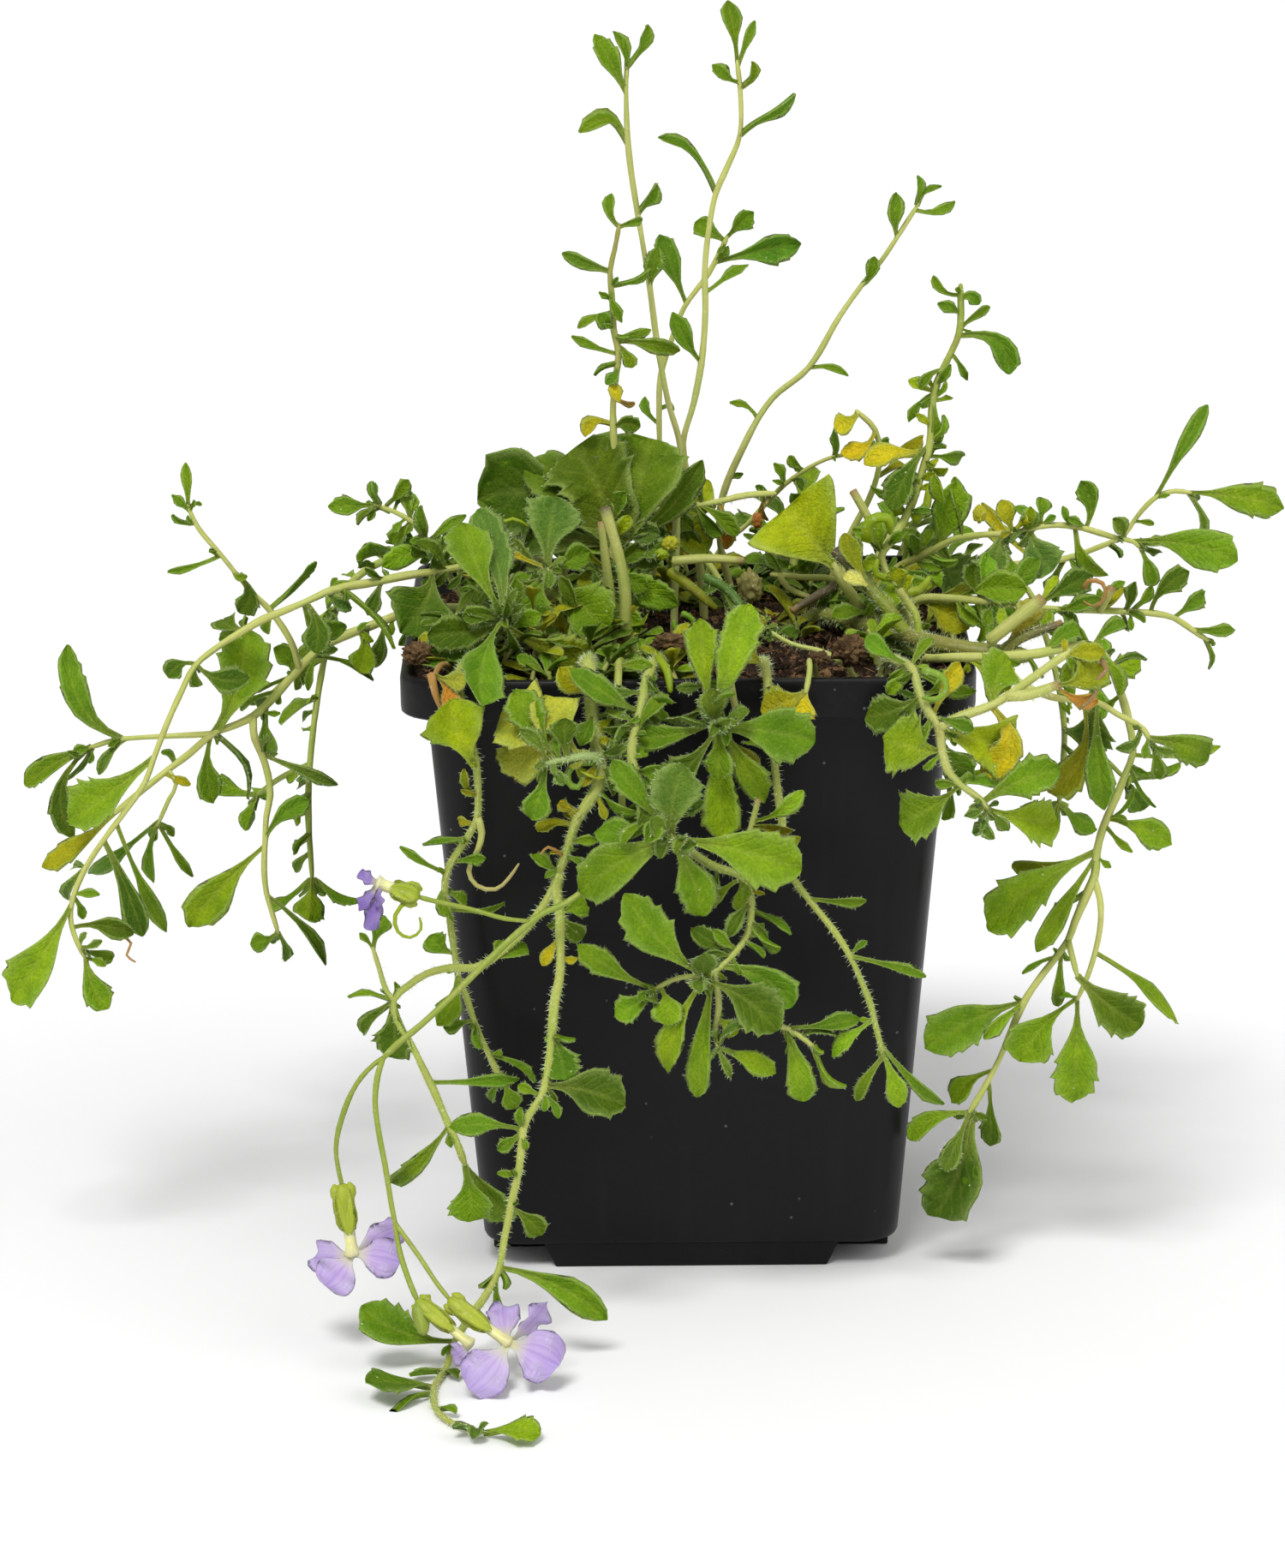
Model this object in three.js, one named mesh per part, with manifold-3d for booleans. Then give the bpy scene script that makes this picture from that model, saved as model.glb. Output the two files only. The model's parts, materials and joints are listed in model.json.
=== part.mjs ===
// Potted aubrieta: a square nursery pot full of peat, and the trailing plant that grows in it.
// Millimetres, +Z up. The origin is under the middle of the pot, on the surface that it stands on,
// and the plant is looked at along +Y.
import * as THREE from "three";
import { mergeVertices } from "three/addons/utils/BufferGeometryUtils.js";
import Module from "manifold-3d";

const wasm = await Module();
wasm.setup();

// Pot
const potHeight = 100;
const rimHalf = 45;
const lipHeight = 6.4;
const wallTopHalf = 41;
const wallBottomHalf = 33.3;
const wall = 1.2;
const lipTaper = 2.4;
const lipWall = 1.4;
const lipEdge = 0.4;
const footHeight = 4;
const footTopHalf = 24;
const footBottomHalf = 21.8;
const footLength = 32;
const rimCorner = 8;
const baseCorner = 6.5;
const drainCentre = 27.4;
const drainReach = 7.4;
const drainWidth = 4.6;

// Soil
const soilHeight = 95.6;
const soilRise = 2.6;
const soilRoughness = 0.9;
const soilCells = 6;
const seat = 0.3;
const rootDepth = 8;
const clodCount = 6;
const clodRadius = 1.9;
const clodMargin = 7;
const soilSeed = 11;

// Leaves and stems
const stemSides = 4;
const thinStemSides = 3;
const thinStem = 0.7;
const bladeThickness = 0.7;
const bladeKeel = 0.22;
const bladeSwell = 0.07;
const toothedWidth = 6.2;
const fanWidth = 14;
const narrowWidth = 4;
const petioleWidth = 0.95;
const rootHalf = 0.2;
const routeSlack = 0.34;

// The routes below are sighted from one eye: X and Z are read where the line of sight meets the
// plane through the pot's middle, and the third number is the real distance behind that plane.
const eye = new THREE.Vector3(-7.26, -968.4, 321.3);

// Behind the plant and at its sides, stems droop over the rim by rule
const drapeSeed = 20;
const drapes = [
  { name: "drape_right", foot: [32, 18], over: [51, 20], fall: 42, swing: 6 },
  { name: "drape_back_right", foot: [31, 28], over: [40, 51], fall: 66, swing: 8 },
  { name: "drape_back_middle", foot: [15, 30], over: [14, 51], fall: 38, swing: -2 },
  { name: "drape_back_left", foot: [-4, 29], over: [-5, 51], fall: 60, swing: 5 },
  { name: "drape_back_corner", foot: [-16, 32], over: [-28, 51], fall: 44, swing: -5 },
  { name: "drape_left", foot: [-29, 24], over: [-51, 30], fall: 52, swing: 9 },
];
const shootLength = 11;
const shootLeaves = 3;
const endLeaves = 4;
const cushionSeed = 7;
const cushions = [
  { name: "tuft_back_left", foot: [-20, 21], height: 19, leaves: 10, reach: 12, level: [0.1, 0.9] },
  { name: "tuft_back_right", foot: [18, 21], height: 16, leaves: 9, reach: 11, level: [0.15, 0.95] },
  { name: "tuft_back_middle", foot: [-5, 22], height: 15, leaves: 6, reach: 11, level: [0.6, 1.1] },
];

// A spray is a stem with its leaves: its name, its node, where it starts, its radii at the root and
// the tip, its route, and its leaves. A leaf has the place on the route that it grows from, the
// sighted X and Z of its tip, how far behind its root the tip lies, its width, its turn about its
// own length in degrees, and the sideways bow of its middle.
const foot = (x, y) => ({ foot: [x, y] });
const branch = (parent, at) => ({ parent, at });
const spray = (name, node, start, radii, route, leaves) => ({ name, node, start, radii, route, leaves });
// A laid spray lies on the surface, so its route has real X and Y, and its leaves' tips real X, Y and Z.
const laid = (name, node, start, radii, route, leaves) => (
  { name, node, start, radii, route, leaves, lies: true });

const sprays = [
  spray("upright_left", "stem_upright_left", foot(-2, -4), [0.8, 0.45],
    [[-1.5, 112, -3], [-1.2, 122, -2], [-0.8, 128, -2], [-2.6, 135, -3], [-4.4, 145, -4],
      [-5.4, 153.5, -4], [-6.4, 160, -5], [-7.3, 165.5, -5], [-8.7, 176.5, -6], [-9, 185, -7],
      [-8.9, 189, -7]],
    [[9, -13.7, 194.3, -1, 3.6, 10, 0], [9.9, -5, 195.6, 0, 3.4, 62, 0],
      [8.05, -15, 180.5, -2, 3.2, 55, -2.5], [7, -3.8, 170.3, 0, 3, 45, 0.5],
      [5, -4, 159.8, -2, 3.2, 10, 0.4]]),
  spray("crown_stem", "crown_left", foot(-16, -5), [1.4, 0.9],
    [[-14, 102, -8], [-12, 109, -8], [-11.5, 117, -8]],
    [[1.2, -5.8, 129.2, 1, 11.5, 5, -0.6], [1.3, 2.6, 127.2, 2, 7.6, 20, -1.6],
      [1.9, -31.2, 122.4, 1, 12, 8, -2.2], [1.95, -19.8, 130.6, -2, 11, 6, -1.2],
      [1.8, -13.4, 130, 5, 8, 15, 0], [1.7, -34, 120.4, 4, 7, 10, 0.6],
      [0.7, -1.2, 101.6, -2, 5.4, 10, 0.5], [1, -5.6, 104.4, -3, 4, 15, -0.4],
      [1.6, -4, 113.4, -1, 4.8, 15, 0.4], [1.2, -1.4, 111, -1, 3.8, 15, 0.4],
      [0.4, -7.4, 97.4, -2, 4, 15, 0.2], [0.6, -17.2, 106.6, 1, 4.6, 15, 0.6],
      [0.4, -16.8, 101.4, 1, 4.4, 15, 0.4], [1.3, -20.6, 113.6, 3, 5.6, 10, 0.5]]),
  spray("upright_curly", "crown_left", branch("crown_stem", 2), [0.8, 0.5],
    [[-11.5, 124, -8], [-11.5, 130, -9], [-11.5, 135, -9], [-10.9, 140, -9], [-10.5, 143, -9],
      [-11.3, 147, -9], [-11.4, 150, -9], [-11.6, 153, -9], [-11.8, 156.5, -9], [-11, 160, -9],
      [-10.2, 164, -9]],
    [[5.2, -13.2, 149.3, -2, 3.2, 0, 0.4], [4.5, -1.3, 142.5, -2, 3, 20, 1.2],
      [1.3, -16, 129.7, -2, 2.8, 30, -1.5], [1.2, -7.2, 131, -2, 3.4, 20, 0.8]]),
  spray("upright_tall", "stem_upright_tall", foot(3, 9), [0.8, 0.45],
    [[0.5, 122, 7], [-0.3, 128.5, 6], [1.5, 135, 6], [2.7, 141.5, 6], [3.4, 150, 6], [3.4, 157, 6],
      [4.3, 165, 6], [5.2, 169, 6], [7, 173, 6], [9, 178, 5], [9.1, 185, 5], [8.6, 190, 5]],
    [[3, -1.5, 149.5, -2, 3.5, 10, 0.6], [7, -3.2, 178.7, 1, 2.8, 55, -1.2],
      [9, 18.7, 183.2, 0, 2.8, 50, 2], [10.3, 4.9, 189.5, -2, 3.2, 25, 0.8],
      [10.9, 7.3, 199.5, 0, 3.8, 15, 0]]),
  spray("upright_leaning", "stem_upright_leaning", foot(-6, 13), [0.8, 0.45],
    [[-4, 118, 12], [-4.1, 128, 12], [-4.1, 134, 12], [-3.8, 139.5, 12], [-1.8, 146, 12],
      [0, 150.5, 12], [4, 156, 12], [6.3, 160.5, 12], [7, 162, 12]],
    [[5.1, -3.6, 162.5, 3, 4, 10, 0.3], [6.4, 18.7, 160.8, 2, 5, 15, 0.5],
      [7.4, 1.7, 164, 1, 3.8, 20, 0], [7.9, 11.2, 166, -1, 3.4, 20, 0.2]]),
  spray("upright_arching", "stem_arching", foot(8, 12), [0.75, 0.45],
    [[5.5, 113, 9], [6, 119.5, 7], [9, 127, 5], [14, 135.5, 4], [19.8, 140.5, 3], [25, 149, 2],
      [28.5, 154, 2], [31.3, 157.5, 1], [34, 161.5, 0], [37.5, 167, 0]],
    [[8, 34.3, 168.5, -1, 3, 20, 0.7]]),
  spray("upright_right", "stem_curly_right", foot(36, -13), [1, 0.6],
    [[36.5, 99.5, -13], [33.2, 106, -12], [31.6, 109.3, -11], [33.5, 112.5, -10], [36, 117, -8],
      [38, 123, -7], [39.4, 128, -6], [39.8, 135, -5], [40.5, 138, -5], [42.3, 142, -5], [44, 146, -5],
      [44.2, 153.8, -5]],
    [[9.9, 52, 139.3, 0, 4, 20, 3.5], [6, 33.2, 116.9, -4, 5.4, 10, -0.7],
      [5.4, 41, 118, -4, 3.2, 20, 0.7], [5.6, 45.3, 125.3, 2, 2.8, 20, 0.4],
      [2.3, 31, 116, -2, 2.8, 10, 0.5], [1.6, 28.8, 107.5, -3, 2.8, 10, -1],
      [1, 33.2, 101.6, -6, 4.2, 0, 0], [0.8, 38.5, 104.4, -5, 3, 10, 0.5]]),
  spray("yellow_leaf_right", "yellow_leaf_right", foot(22, 6), [0.7, 0.5],
    [[26, 112, 5], [30, 120, 4], [31.3, 125.5, 3], [30.6, 130.3, 2], [27.5, 133.5, 1]],
    [[3, 25, 126.7, -3, 3.6, 15, 1.5], [3.9, 23.9, 131, -2, 4, 30, 0.8]]),
  spray("low_twig", "stem_low_twig", foot(2, 18), [0.6, 0.4],
    [[6, 111.5, 17], [10, 115, 16], [13.5, 119, 15], [16, 121.5, 14], [20, 124.3, 13], [24, 126, 12],
      [30, 126.5, 12]],
    []),
  spray("hairy_twig", "stem_hairy_twig", foot(-12, 7), [0.75, 0.6],
    [[-11, 112, 6], [-7.5, 116.6, 4], [0, 118, 3], [5, 118.7, 3], [10, 119.8, 3], [14.5, 120, 3]],
    [[0.6, -5.4, 124.5, 3, 6, 15, -0.4], [0.9, 3.9, 122.2, 0, 7.6, 8, -0.6],
      [1.45, 4.7, 113, -1, 7, 10, -1.2]]),
  spray("rosette_left", "rosette_left", foot(-21, -15), [1, 0.7],
    [[-21.5, 100, -19], [-22.3, 108, -22]],
    [[1, -20.8, 119.8, 3, 8.8, 0, 0.4], [0.9, -18.2, 101.8, -5, 4, 20, 1.2],
      [0.9, -24.8, 98.2, -5, 6.8, 0, -1.2], [0.6, -12.8, 97.6, -7, 9.6, 5, 0.8],
      [0.9, -15.4, 110.8, 2, 5, 15, 0.3], [0.9, -28.2, 103, -1, 4, 15, 0.5]]),
  spray("rosette_rim", "rosette_rim", foot(-27, -20), [1.1, 0.8],
    [[-29, 97, -27], [-29.5, 99.6, -34]],
    [[1, -36.2, 116, 11, 7.4, 5, 0.6], [1, -33.7, 82.4, -23, 8, 0, -1.6],
      [0.8, -33.6, 117.8, 14, 6.4, 15, -0.8], [0.7, -42.2, 96.9, -5, 6, 12, 0.6],
      [0.3, -43.5, 93.4, -8, 5.6, 15, 0.8], [0.6, -14.4, 93, 3, 6.4, 8, -1]]),
  spray("left_cluster", "left_cluster", foot(-32, -4), [0.9, 0.45],
    [[-37, 105, -6], [-40.5, 110.5, -7], [-42, 113, -7], [-44.3, 116, -7], [-47, 117.6, -7],
      [-50.2, 118.8, -7]],
    [[1, -48.9, 108.6, -3, 4, 10, -0.8]]),
  spray("left_upper", "trail_left_upper", foot(-17, 3), [1, 0.45],
    [[-24, 109.5, 0], [-32, 109, -5], [-40, 107.7, -10], [-45, 107, -11], [-50, 106, -12],
      [-57, 104.8, -14], [-61.5, 102.8, -15], [-65, 101.3, -16], [-68.5, 99.9, -17], [-72.5, 97.6, -18],
      [-76, 95.4, -19], [-79.8, 92.2, -20], [-82, 88, -21], [-84.7, 82.2, -22], [-87, 76.5, -23],
      [-88.3, 73, -24], [-91.5, 68.3, -24], [-95, 63.7, -25], [-98.5, 58.5, -26], [-100.5, 54, -27],
      [-101.2, 50, -27], [-100.3, 46, -28], [-98.8, 42.8, -28]],
    [[0.3, -30.8, 102.6, -2, 5.2, 10, 0.4], [0.15, -25, 102.6, -3, 5, 10, -0.4],
      [0.2, -28.8, 117.4, -2, 5.8, 12, 0.5], [2.2, -46.4, 97.6, -7, 10.5, 5, 1.4],
      [6, -60.3, 94.3, -3, 5, 5, 1.2], [6.1, -54.8, 98.5, 2, 4.6, 15, -2.4],
      [8.8, -75.2, 100.6, 4, 4.6, 20, 0.8], [10.9, -71, 90.3, -3, 5, 5, -1.4],
      [10.9, -84.2, 90.4, -1, 3.8, 10, -1], [13.9, -101.2, 66.6, 2, 7.4, 0, 0.4],
      [17.1, -89.4, 46.8, -2, 4, 10, 0.6], [19.4, -111.6, 35.8, -2, 7.4, 0, 0.4],
      [20.4, -91.1, 47, -2, 3.6, 5, 1], [21.9, -95.4, 34.4, -2, 4.8, 0, -0.8]]),
  spray("left_lower", "trail_left_lower", foot(-25, 5), [1.1, 0.6],
    [[-31, 101, 1], [-38, 101.5, -1], [-44, 101.2, -2], [-51, 98.8, -4], [-56, 96.8, -5],
      [-60, 94.5, -6], [-63.5, 91, -7], [-68, 86, -9], [-70.5, 83.8, -10], [-73, 82.5, -11],
      [-77, 80.9, -12], [-81, 77.6, -13], [-84.5, 75, -14], [-88.5, 71.8, -15], [-91.5, 69.3, -15],
      [-93.5, 67.6, -15]],
    [[3.4, -53.4, 91, -2, 4.8, 10, 1.2], [6.1, -66.8, 95, -1, 3.6, 5, -1],
      [10, -71.2, 98, 1, 8.6, 0, -1.4], [10.1, -77.2, 69.2, -1, 4.4, 5, -0.8],
      [14.9, -105.5, 58.6, -1, 4.4, 10, 0.6]]),
  spray("left_branch", "trail_left_lower", branch("left_lower", 10), [0.6, 0.45],
    [[-82, 80.7, -12], [-90, 80.3, -12], [-93, 80, -12], [-97.6, 78.6, -12]],
    [[1.6, -99.6, 95.7, -1, 4.4, 5, 3.4], [2.9, -108, 72.5, 1, 4.6, 5, -0.6],
      [2.9, -100.2, 63.2, -2, 4.2, 10, -3.4]]),
  spray("left_thin", "trail_left_lower", branch("left_lower", 5.8), [0.6, 0.4],
    [[-64, 96, -10], [-67, 101, -11], [-70, 104.3, -12], [-73, 108, -13], [-75, 110.6, -14],
      [-78.7, 115.3, -15], [-80.3, 119, -15]],
    [[2.9, -72.4, 101.4, 2, 4, 15, 2.2]]),
  spray("left_drop", "trail_left_lower", branch("left_lower", 12), [0.45, 0.35],
    [[-83.3, 72.5, -15], [-84.5, 70, -15], [-86.6, 65.5, -16]],
    []),
  spray("left_hanging", "trail_left_lower", branch("left_lower", 8), [0.7, 0.45],
    [[-70.3, 80, -12], [-69.3, 77.5, -13], [-68.3, 74, -14], [-68, 70.5, -15], [-68.7, 67, -16],
      [-69, 63, -17], [-69.3, 58, -18], [-69, 54, -18], [-68, 50, -18], [-67.2, 47, -18]],
    [[5, -61.8, 69.4, -1, 3.6, 5, 1.2], [5.2, -81.8, 48.2, 0, 6.4, 0, -0.6],
      [8.9, -71.9, 45.4, -1, 3.6, 5, 0.5]]),
  spray("woody_stem", "stem_woody", foot(19, 0), [1.3, 1.45],
    [[21, 99.8, -2], [25, 99.4, -7], [30, 98, -14], [36, 96.2, -23], [41, 95, -31], [46, 94, -34],
      [51, 93.4, -35], [55.5, 92.8, -36]],
    [[6, 56.8, 102.2, 1, 4.4, 20, 0]]),
  spray("woody_diagonal", "stem_woody", branch("woody_stem", 3), [1.4, 1.1],
    [[33, 100.6, -20], [30, 104, -17], [27, 107.6, -15], [24.2, 110.6, -13]],
    [[1, 25.6, 113.5, 3, 3.8, 20, 0.6]]),
  spray("woody_pale_stub", "stem_woody", branch("woody_stem", 3.4), [0.75, 0.65],
    [[37.2, 100, -25], [35.8, 102, -24], [34.6, 104.2, -24]],
    [[1.9, 33.9, 107.6, -1, 3.6, 0, 0]]),
  spray("brown_stub", "stem_woody", branch("woody_stem", 6), [1, 0.9],
    [[54, 95.6, -36], [61, 98.2, -36]],
    []),
  spray("right_upper", "trail_right_upper", foot(30, 1), [0.9, 0.5],
    [[31, 104, 2], [34, 107.5, 0], [38, 109.5, -3], [43, 112.2, -6], [48, 113, -9], [53, 113.2, -11],
      [57, 114.2, -12], [60, 114.5, -12], [64, 114, -12], [69.5, 112.3, -12], [72.4, 111.6, -12],
      [73.6, 110.4, -12]],
    [[2.4, 43.6, 121.8, -3, 6, 0, -0.6], [2, 46.5, 107, 4, 8.4, 15, -1],
      [1.6, 43.4, 116.4, 5, 5, 20, 0.6], [4.6, 48.2, 104.6, -4, 6, 0, 0.4],
      [5.2, 55.9, 116.9, -2, 3.6, 10, -0.6], [5.6, 59.4, 106.8, -3, 6.8, 0, -0.6],
      [8.1, 63.6, 121.8, 1, 3.6, 5, -1.2], [9.9, 89.2, 108.4, -1, 6.8, 5, 1.2]]),
  spray("right_high", "trail_right_high", foot(28, 9), [0.8, 0.45],
    [[33, 104, 9], [42, 107, 8], [52, 108, 6], [60, 108.6, 4], [66.5, 110.7, 2], [71, 113, 1],
      [72.3, 115, 1], [74.5, 117.7, 0], [76.5, 119.3, 0], [79, 119.9, 0], [81.5, 119.6, -1]],
    [[9.9, 96.6, 116.7, -2, 5.6, 5, 0.8], [1.2, 39, 114.8, 3, 4.6, 10, 0.6],
      [2.1, 50.4, 115, 3, 4, 15, 0.5], [3.2, 59, 102, 2, 4, 10, -0.5]]),
  spray("right_middle", "right_middle", foot(33, -6), [1, 0.5],
    [[37, 102, -9], [44, 102.4, -14], [52, 101.6, -18], [60, 100.6, -20], [67, 100.3, -21],
      [72, 100, -21], [76, 99.7, -21], [79, 99, -21], [82, 97, -21], [84.6, 95.2, -21]],
    [[0.5, 46.6, 103.4, 3, 4, 10, 0.5], [1, 55, 103.6, -5, 6, 5, 1.2], [1.5, 47, 108, 2, 5.4, 15, 0.6],
      [2, 57, 109, 3, 4, 20, 0.6], [2.6, 66.2, 105.8, 2, 4.8, 10, 0.8],
      [5.8, 81.4, 106.2, -2, 3.8, 10, 1.4]]),
  spray("right_stubs", "right_middle", branch("right_middle", 4), [0.8, 0.8],
    [[68, 102.4, -23], [68.9, 104, -24]],
    []),
  spray("right_hanging", "trail_right_hanging", foot(37, -30.5), [1, 0.6],
    [[41.5, 92.6, -40], [50, 92.7, -42], [57, 93.2, -40], [62, 94.2, -38], [66, 94.4, -37],
      [68.6, 91.5, -36], [70.2, 87.5, -36], [72, 81.5, -36], [72.7, 76.5, -36], [71.5, 73, -36],
      [70, 69, -36], [68, 64, -36], [67, 60, -36], [66.7, 56, -36], [65.5, 53, -36], [63.5, 48, -36],
      [62.4, 44.8, -36], [60.5, 42, -36], [57.5, 38, -36], [55.3, 34.5, -36], [53, 29, -35],
      [51.2, 24.4, -34], [49, 20, -34], [46.4, 15.4, -34]],
    [[4.9, 63.2, 93.1, -3, 4.2, 20, 1], [10.7, 79.3, 61, -1, 5, 5, 0.6], [12, 48.9, 47, -2, 8, 0, -1],
      [19, 38.9, 26.4, -1, 7.6, 0, -0.8], [21.4, 43.6, 17, 3, 4.4, 25, -0.8],
      [21.8, 49.6, 9.2, 2, 3.6, 25, 0.8], [23, 36.2, 10.6, 1, 3.8, 5, -1.4],
      [22.9, 40.4, -3, -2, 10, 0, 1.4], [23, 42.2, 5, -4, 4, 0, 0]]),
  spray("right_twin", "trail_right_hanging", branch("right_hanging", 13.2), [0.6, 0.45],
    [[67.5, 52, -36], [67.7, 48, -36], [66.9, 42.8, -36], [65.6, 38.4, -36], [64, 34.6, -36]],
    [[3.9, 54.6, 24, -1, 7.4, 5, -1], [4, 63.6, 16.6, 2, 7, 0, 0.2]]),
  spray("right_fork", "trail_right_hanging", branch("right_hanging", 16), [0.6, 0.5],
    [[63.4, 41, -39], [64, 38.6, -40]],
    [[0.9, 74.6, 30, -1, 7, 0, -0.6]]),
  spray("right_front", "right_front", foot(31, -29), [1.1, 0.7],
    [[35, 91.6, -40], [36.8, 90.6, -46.5], [38, 86.5, -50], [39.6, 83.2, -51], [41, 81, -51.5],
      [41.6, 76.6, -52], [43, 73, -52], [45, 71, -52], [47.6, 69, -52], [49, 67.2, -52]],
    [[2.1, 28.9, 83, 1.5, 6, 10, 0.8], [4.9, 31.8, 79.2, -3, 9.4, 0, 0.4],
      [4.1, 46.6, 72.9, 2, 6, 5, -1], [3.2, 44.6, 91.8, 2, 3.6, 15, 0.4],
      [6.8, 34.5, 64.9, -1, 8, 0, 0.6], [8.4, 60.7, 73.7, -3, 6, 0, 0.8],
      [8.9, 61.2, 65, 2, 7, 0, -0.6]]),
  spray("right_front_branch", "right_front", branch("right_front", 4), [0.9, 0.7],
    [[45, 82.9, -51], [50, 84.8, -50], [55, 88.3, -50], [59.5, 91.6, -50], [62.4, 93.6, -50]],
    [[0.9, 47.6, 73.2, -1, 5.4, 5, 4], [1, 52.6, 92.4, 2, 7.4, 10, 1]]),
  spray("right_front_stub", "right_front", branch("right_front_branch", 1.4), [1, 0.9],
    [[56, 86.4, -51], [60.5, 88, -51]],
    []),
  spray("right_lower_twig", "trail_right_hanging", branch("right_hanging", 1.2), [0.7, 0.45],
    [[54, 88.6, -45], [58, 86.4, -45], [61, 85.6, -44], [66.8, 85, -43], [70, 83, -42],
      [74.4, 80.3, -42], [75.3, 78.6, -42]],
    [[3, 68.2, 66.8, -2, 5, 0, -0.6], [2.9, 64.6, 77.2, 3, 6.8, 0, 0.6],
      [2.6, 59.4, 70.6, 5, 5.6, 10, 3], [5.8, 85.6, 75.4, 1, 5.4, 5, 0.6]]),
  spray("front_hub", "rosette_front", foot(2, -29), [1.2, 0.9],
    [[2, 92, -41], [2.5, 90.4, -46.5], [4, 85, -51], [5, 81.4, -54]],
    [[2.6, 2.4, 99.6, 4, 5.4, 0, 0.6], [2.7, 10.6, 101.8, 3, 6.4, 0, 0.4],
      [2.9, 4.4, 87.2, -4, 5, 15, 0.4], [3, 21, 78.9, -1, 8.6, 0, 0.4], [2.9, 5, 72.6, -4, 4.8, 0, 0.3],
      [3, -5.8, 70.2, -1, 6, 15, 1.4], [2.8, -10, 79.8, 3, 5, 10, 1],
      [2.6, 5.6, 62.6, 0.5, 5.8, 5, 0.4], [2.8, 12.8, 68.4, 2, 5, 15, 0.6],
      [2.5, 12.4, 73.4, 4, 3.6, 20, -0.6]]),
  spray("front_stub", "stem_stub_front", foot(-5.5, -24), [1.3, 1.1],
    [[-6, 92.5, -25], [-9.6, 97, -25], [-9.8, 103, -25], [-10.6, 109, -25], [-13, 118, -24]],
    []),
  spray("front_stub_back", "stem_stub_back", foot(-12, -14), [1.1, 1],
    [[-12, 97, -14], [-12.3, 104, -14], [-13, 110, -14], [-13.6, 115.6, -14]],
    []),
  spray("pale_stub", "stem_stub_pale", foot(7, -6), [0.8, 0.7],
    [[6.8, 101, -7], [5.3, 106, -7], [3, 109.6, -7]],
    []),
  spray("petiole_big", "leaf_triangular", foot(27, -4), [1.2, 0.9],
    [[28.6, 100, -5], [27, 103, -6], [25, 106, -7], [24, 108.4, -7]],
    [[2.8, 16.2, 117.6, 2, 17.2, 5, 0]]),
  spray("cross_twig", "leaf_triangular", branch("petiole_big", 0.3), [0.65, 0.55],
    [[26.4, 104.4, -3], [24, 105.8, -2], [18.5, 106.2, -1], [13.8, 106.7, 0]],
    []),
  spray("cross_stub", "leaf_triangular", branch("cross_twig", 2.7), [0.6, 0.55],
    [[16.6, 104.4, -3], [20.2, 102.8, -5]],
    []),
  spray("fuzzy_twig", "stem_fuzzy", foot(26, -36), [0.5, 0.45],
    [[23, 93.4, -34], [17, 95.2, -32], [12.8, 97.7, -30]],
    []),
  spray("front_middle", "rosettes_hanging", foot(-3, -31), [1.3, 0.8],
    [[-5, 92.4, -41], [-6, 90.6, -46.6], [-7.5, 84, -51], [-9, 76, -55], [-6, 70, -58], [-3.4, 65, -60],
      [-2.4, 62.4, -61]],
    [[5.9, -0.4, 75.4, -2, 7.8, 0, 0.8], [5.9, -6.4, 66.4, -3, 3.6, 10, 0.3],
      [5.8, -18.2, 53.6, 1, 7.6, 0, -0.6], [6, 2.6, 49.2, 1, 6.4, 0, 0.6],
      [5.9, 18.8, 57.2, 0, 8.8, 0, 0.6], [5.4, -12.2, 76, 3, 4.8, 10, 0.4],
      [5, -15.4, 64, 2, 5, 5, 0.6], [2, -18.6, 91.4, -3, 4.6, 5, 0.6]]),
  spray("front_drop", "rosettes_hanging", branch("front_middle", 5.8), [0.8, 0.6],
    [[4, 58, -57], [9.6, 55.4, -56], [10.4, 50, -57], [9.6, 46, -58], [6.6, 42, -60], [2.6, 38.6, -62]],
    [[4.9, -10.6, 53.8, -3, 7, 0, 1.2], [5, 2.6, 43.2, -3, 4.8, 0, 0], [5, -3.8, 22.4, 1, 4.8, 10, -1],
      [4.6, 1.2, 18, 4, 4.4, 10, 0], [4.3, 16.8, 34, 2, 5.6, 0, 1.6], [5, 14.6, 29.6, -3, 7.8, 0, 1.2],
      [3.6, 0.6, 47.6, 0, 3.8, 10, 0.6], [2.1, 12.6, 46.8, 1, 3.6, 10, -1],
      [0.8, 8.8, 50.3, 2, 4, 0, 0.4]]),
  spray("front_left_bud", "rosettes_hanging", branch("front_drop", 4.9), [0.6, 0.5],
    [[-1.5, 39, -60], [-6, 36.8, -60]],
    [[0.7, -3.6, 30.8, -3, 5.2, 0, 0.6], [0.9, -12.2, 32.6, -1, 4.2, 0, 0.4],
      [0.9, -18.2, 44.9, 2, 4.4, 5, 0.8]]),
  spray("front_low_bud", "rosettes_hanging", branch("front_drop", 4.6), [0.6, 0.5],
    [[5, 34, -60], [4.4, 30, -60], [4.8, 26.8, -61]],
    [[2, 14.4, 22.4, -1, 3.8, 5, 0.4]]),
  spray("front_right_leaves", "rosettes_hanging", branch("front_low_bud", 0.6), [0.5, 0.45],
    [[10, 30.4, -57], [15.5, 30.4, -57], [18.4, 28.8, -57], [20.6, 26.9, -57]],
    [[1.1, 18.9, 17.4, -1, 5, 0, 0.5]]),
  spray("front_stub_low", "rosettes_hanging", branch("front_drop", 1), [0.7, 0.6],
    [[9.6, 60.4, -56], [10.6, 65, -55], [11.6, 69.2, -55]],
    []),
  spray("front_long", "stem_front_long", foot(12.5, -33), [0.9, 0.5],
    [[12.5, 92.2, -41], [13, 90.2, -46.6], [13.6, 84, -50], [14.4, 74, -51], [15.4, 66, -51.5],
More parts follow.
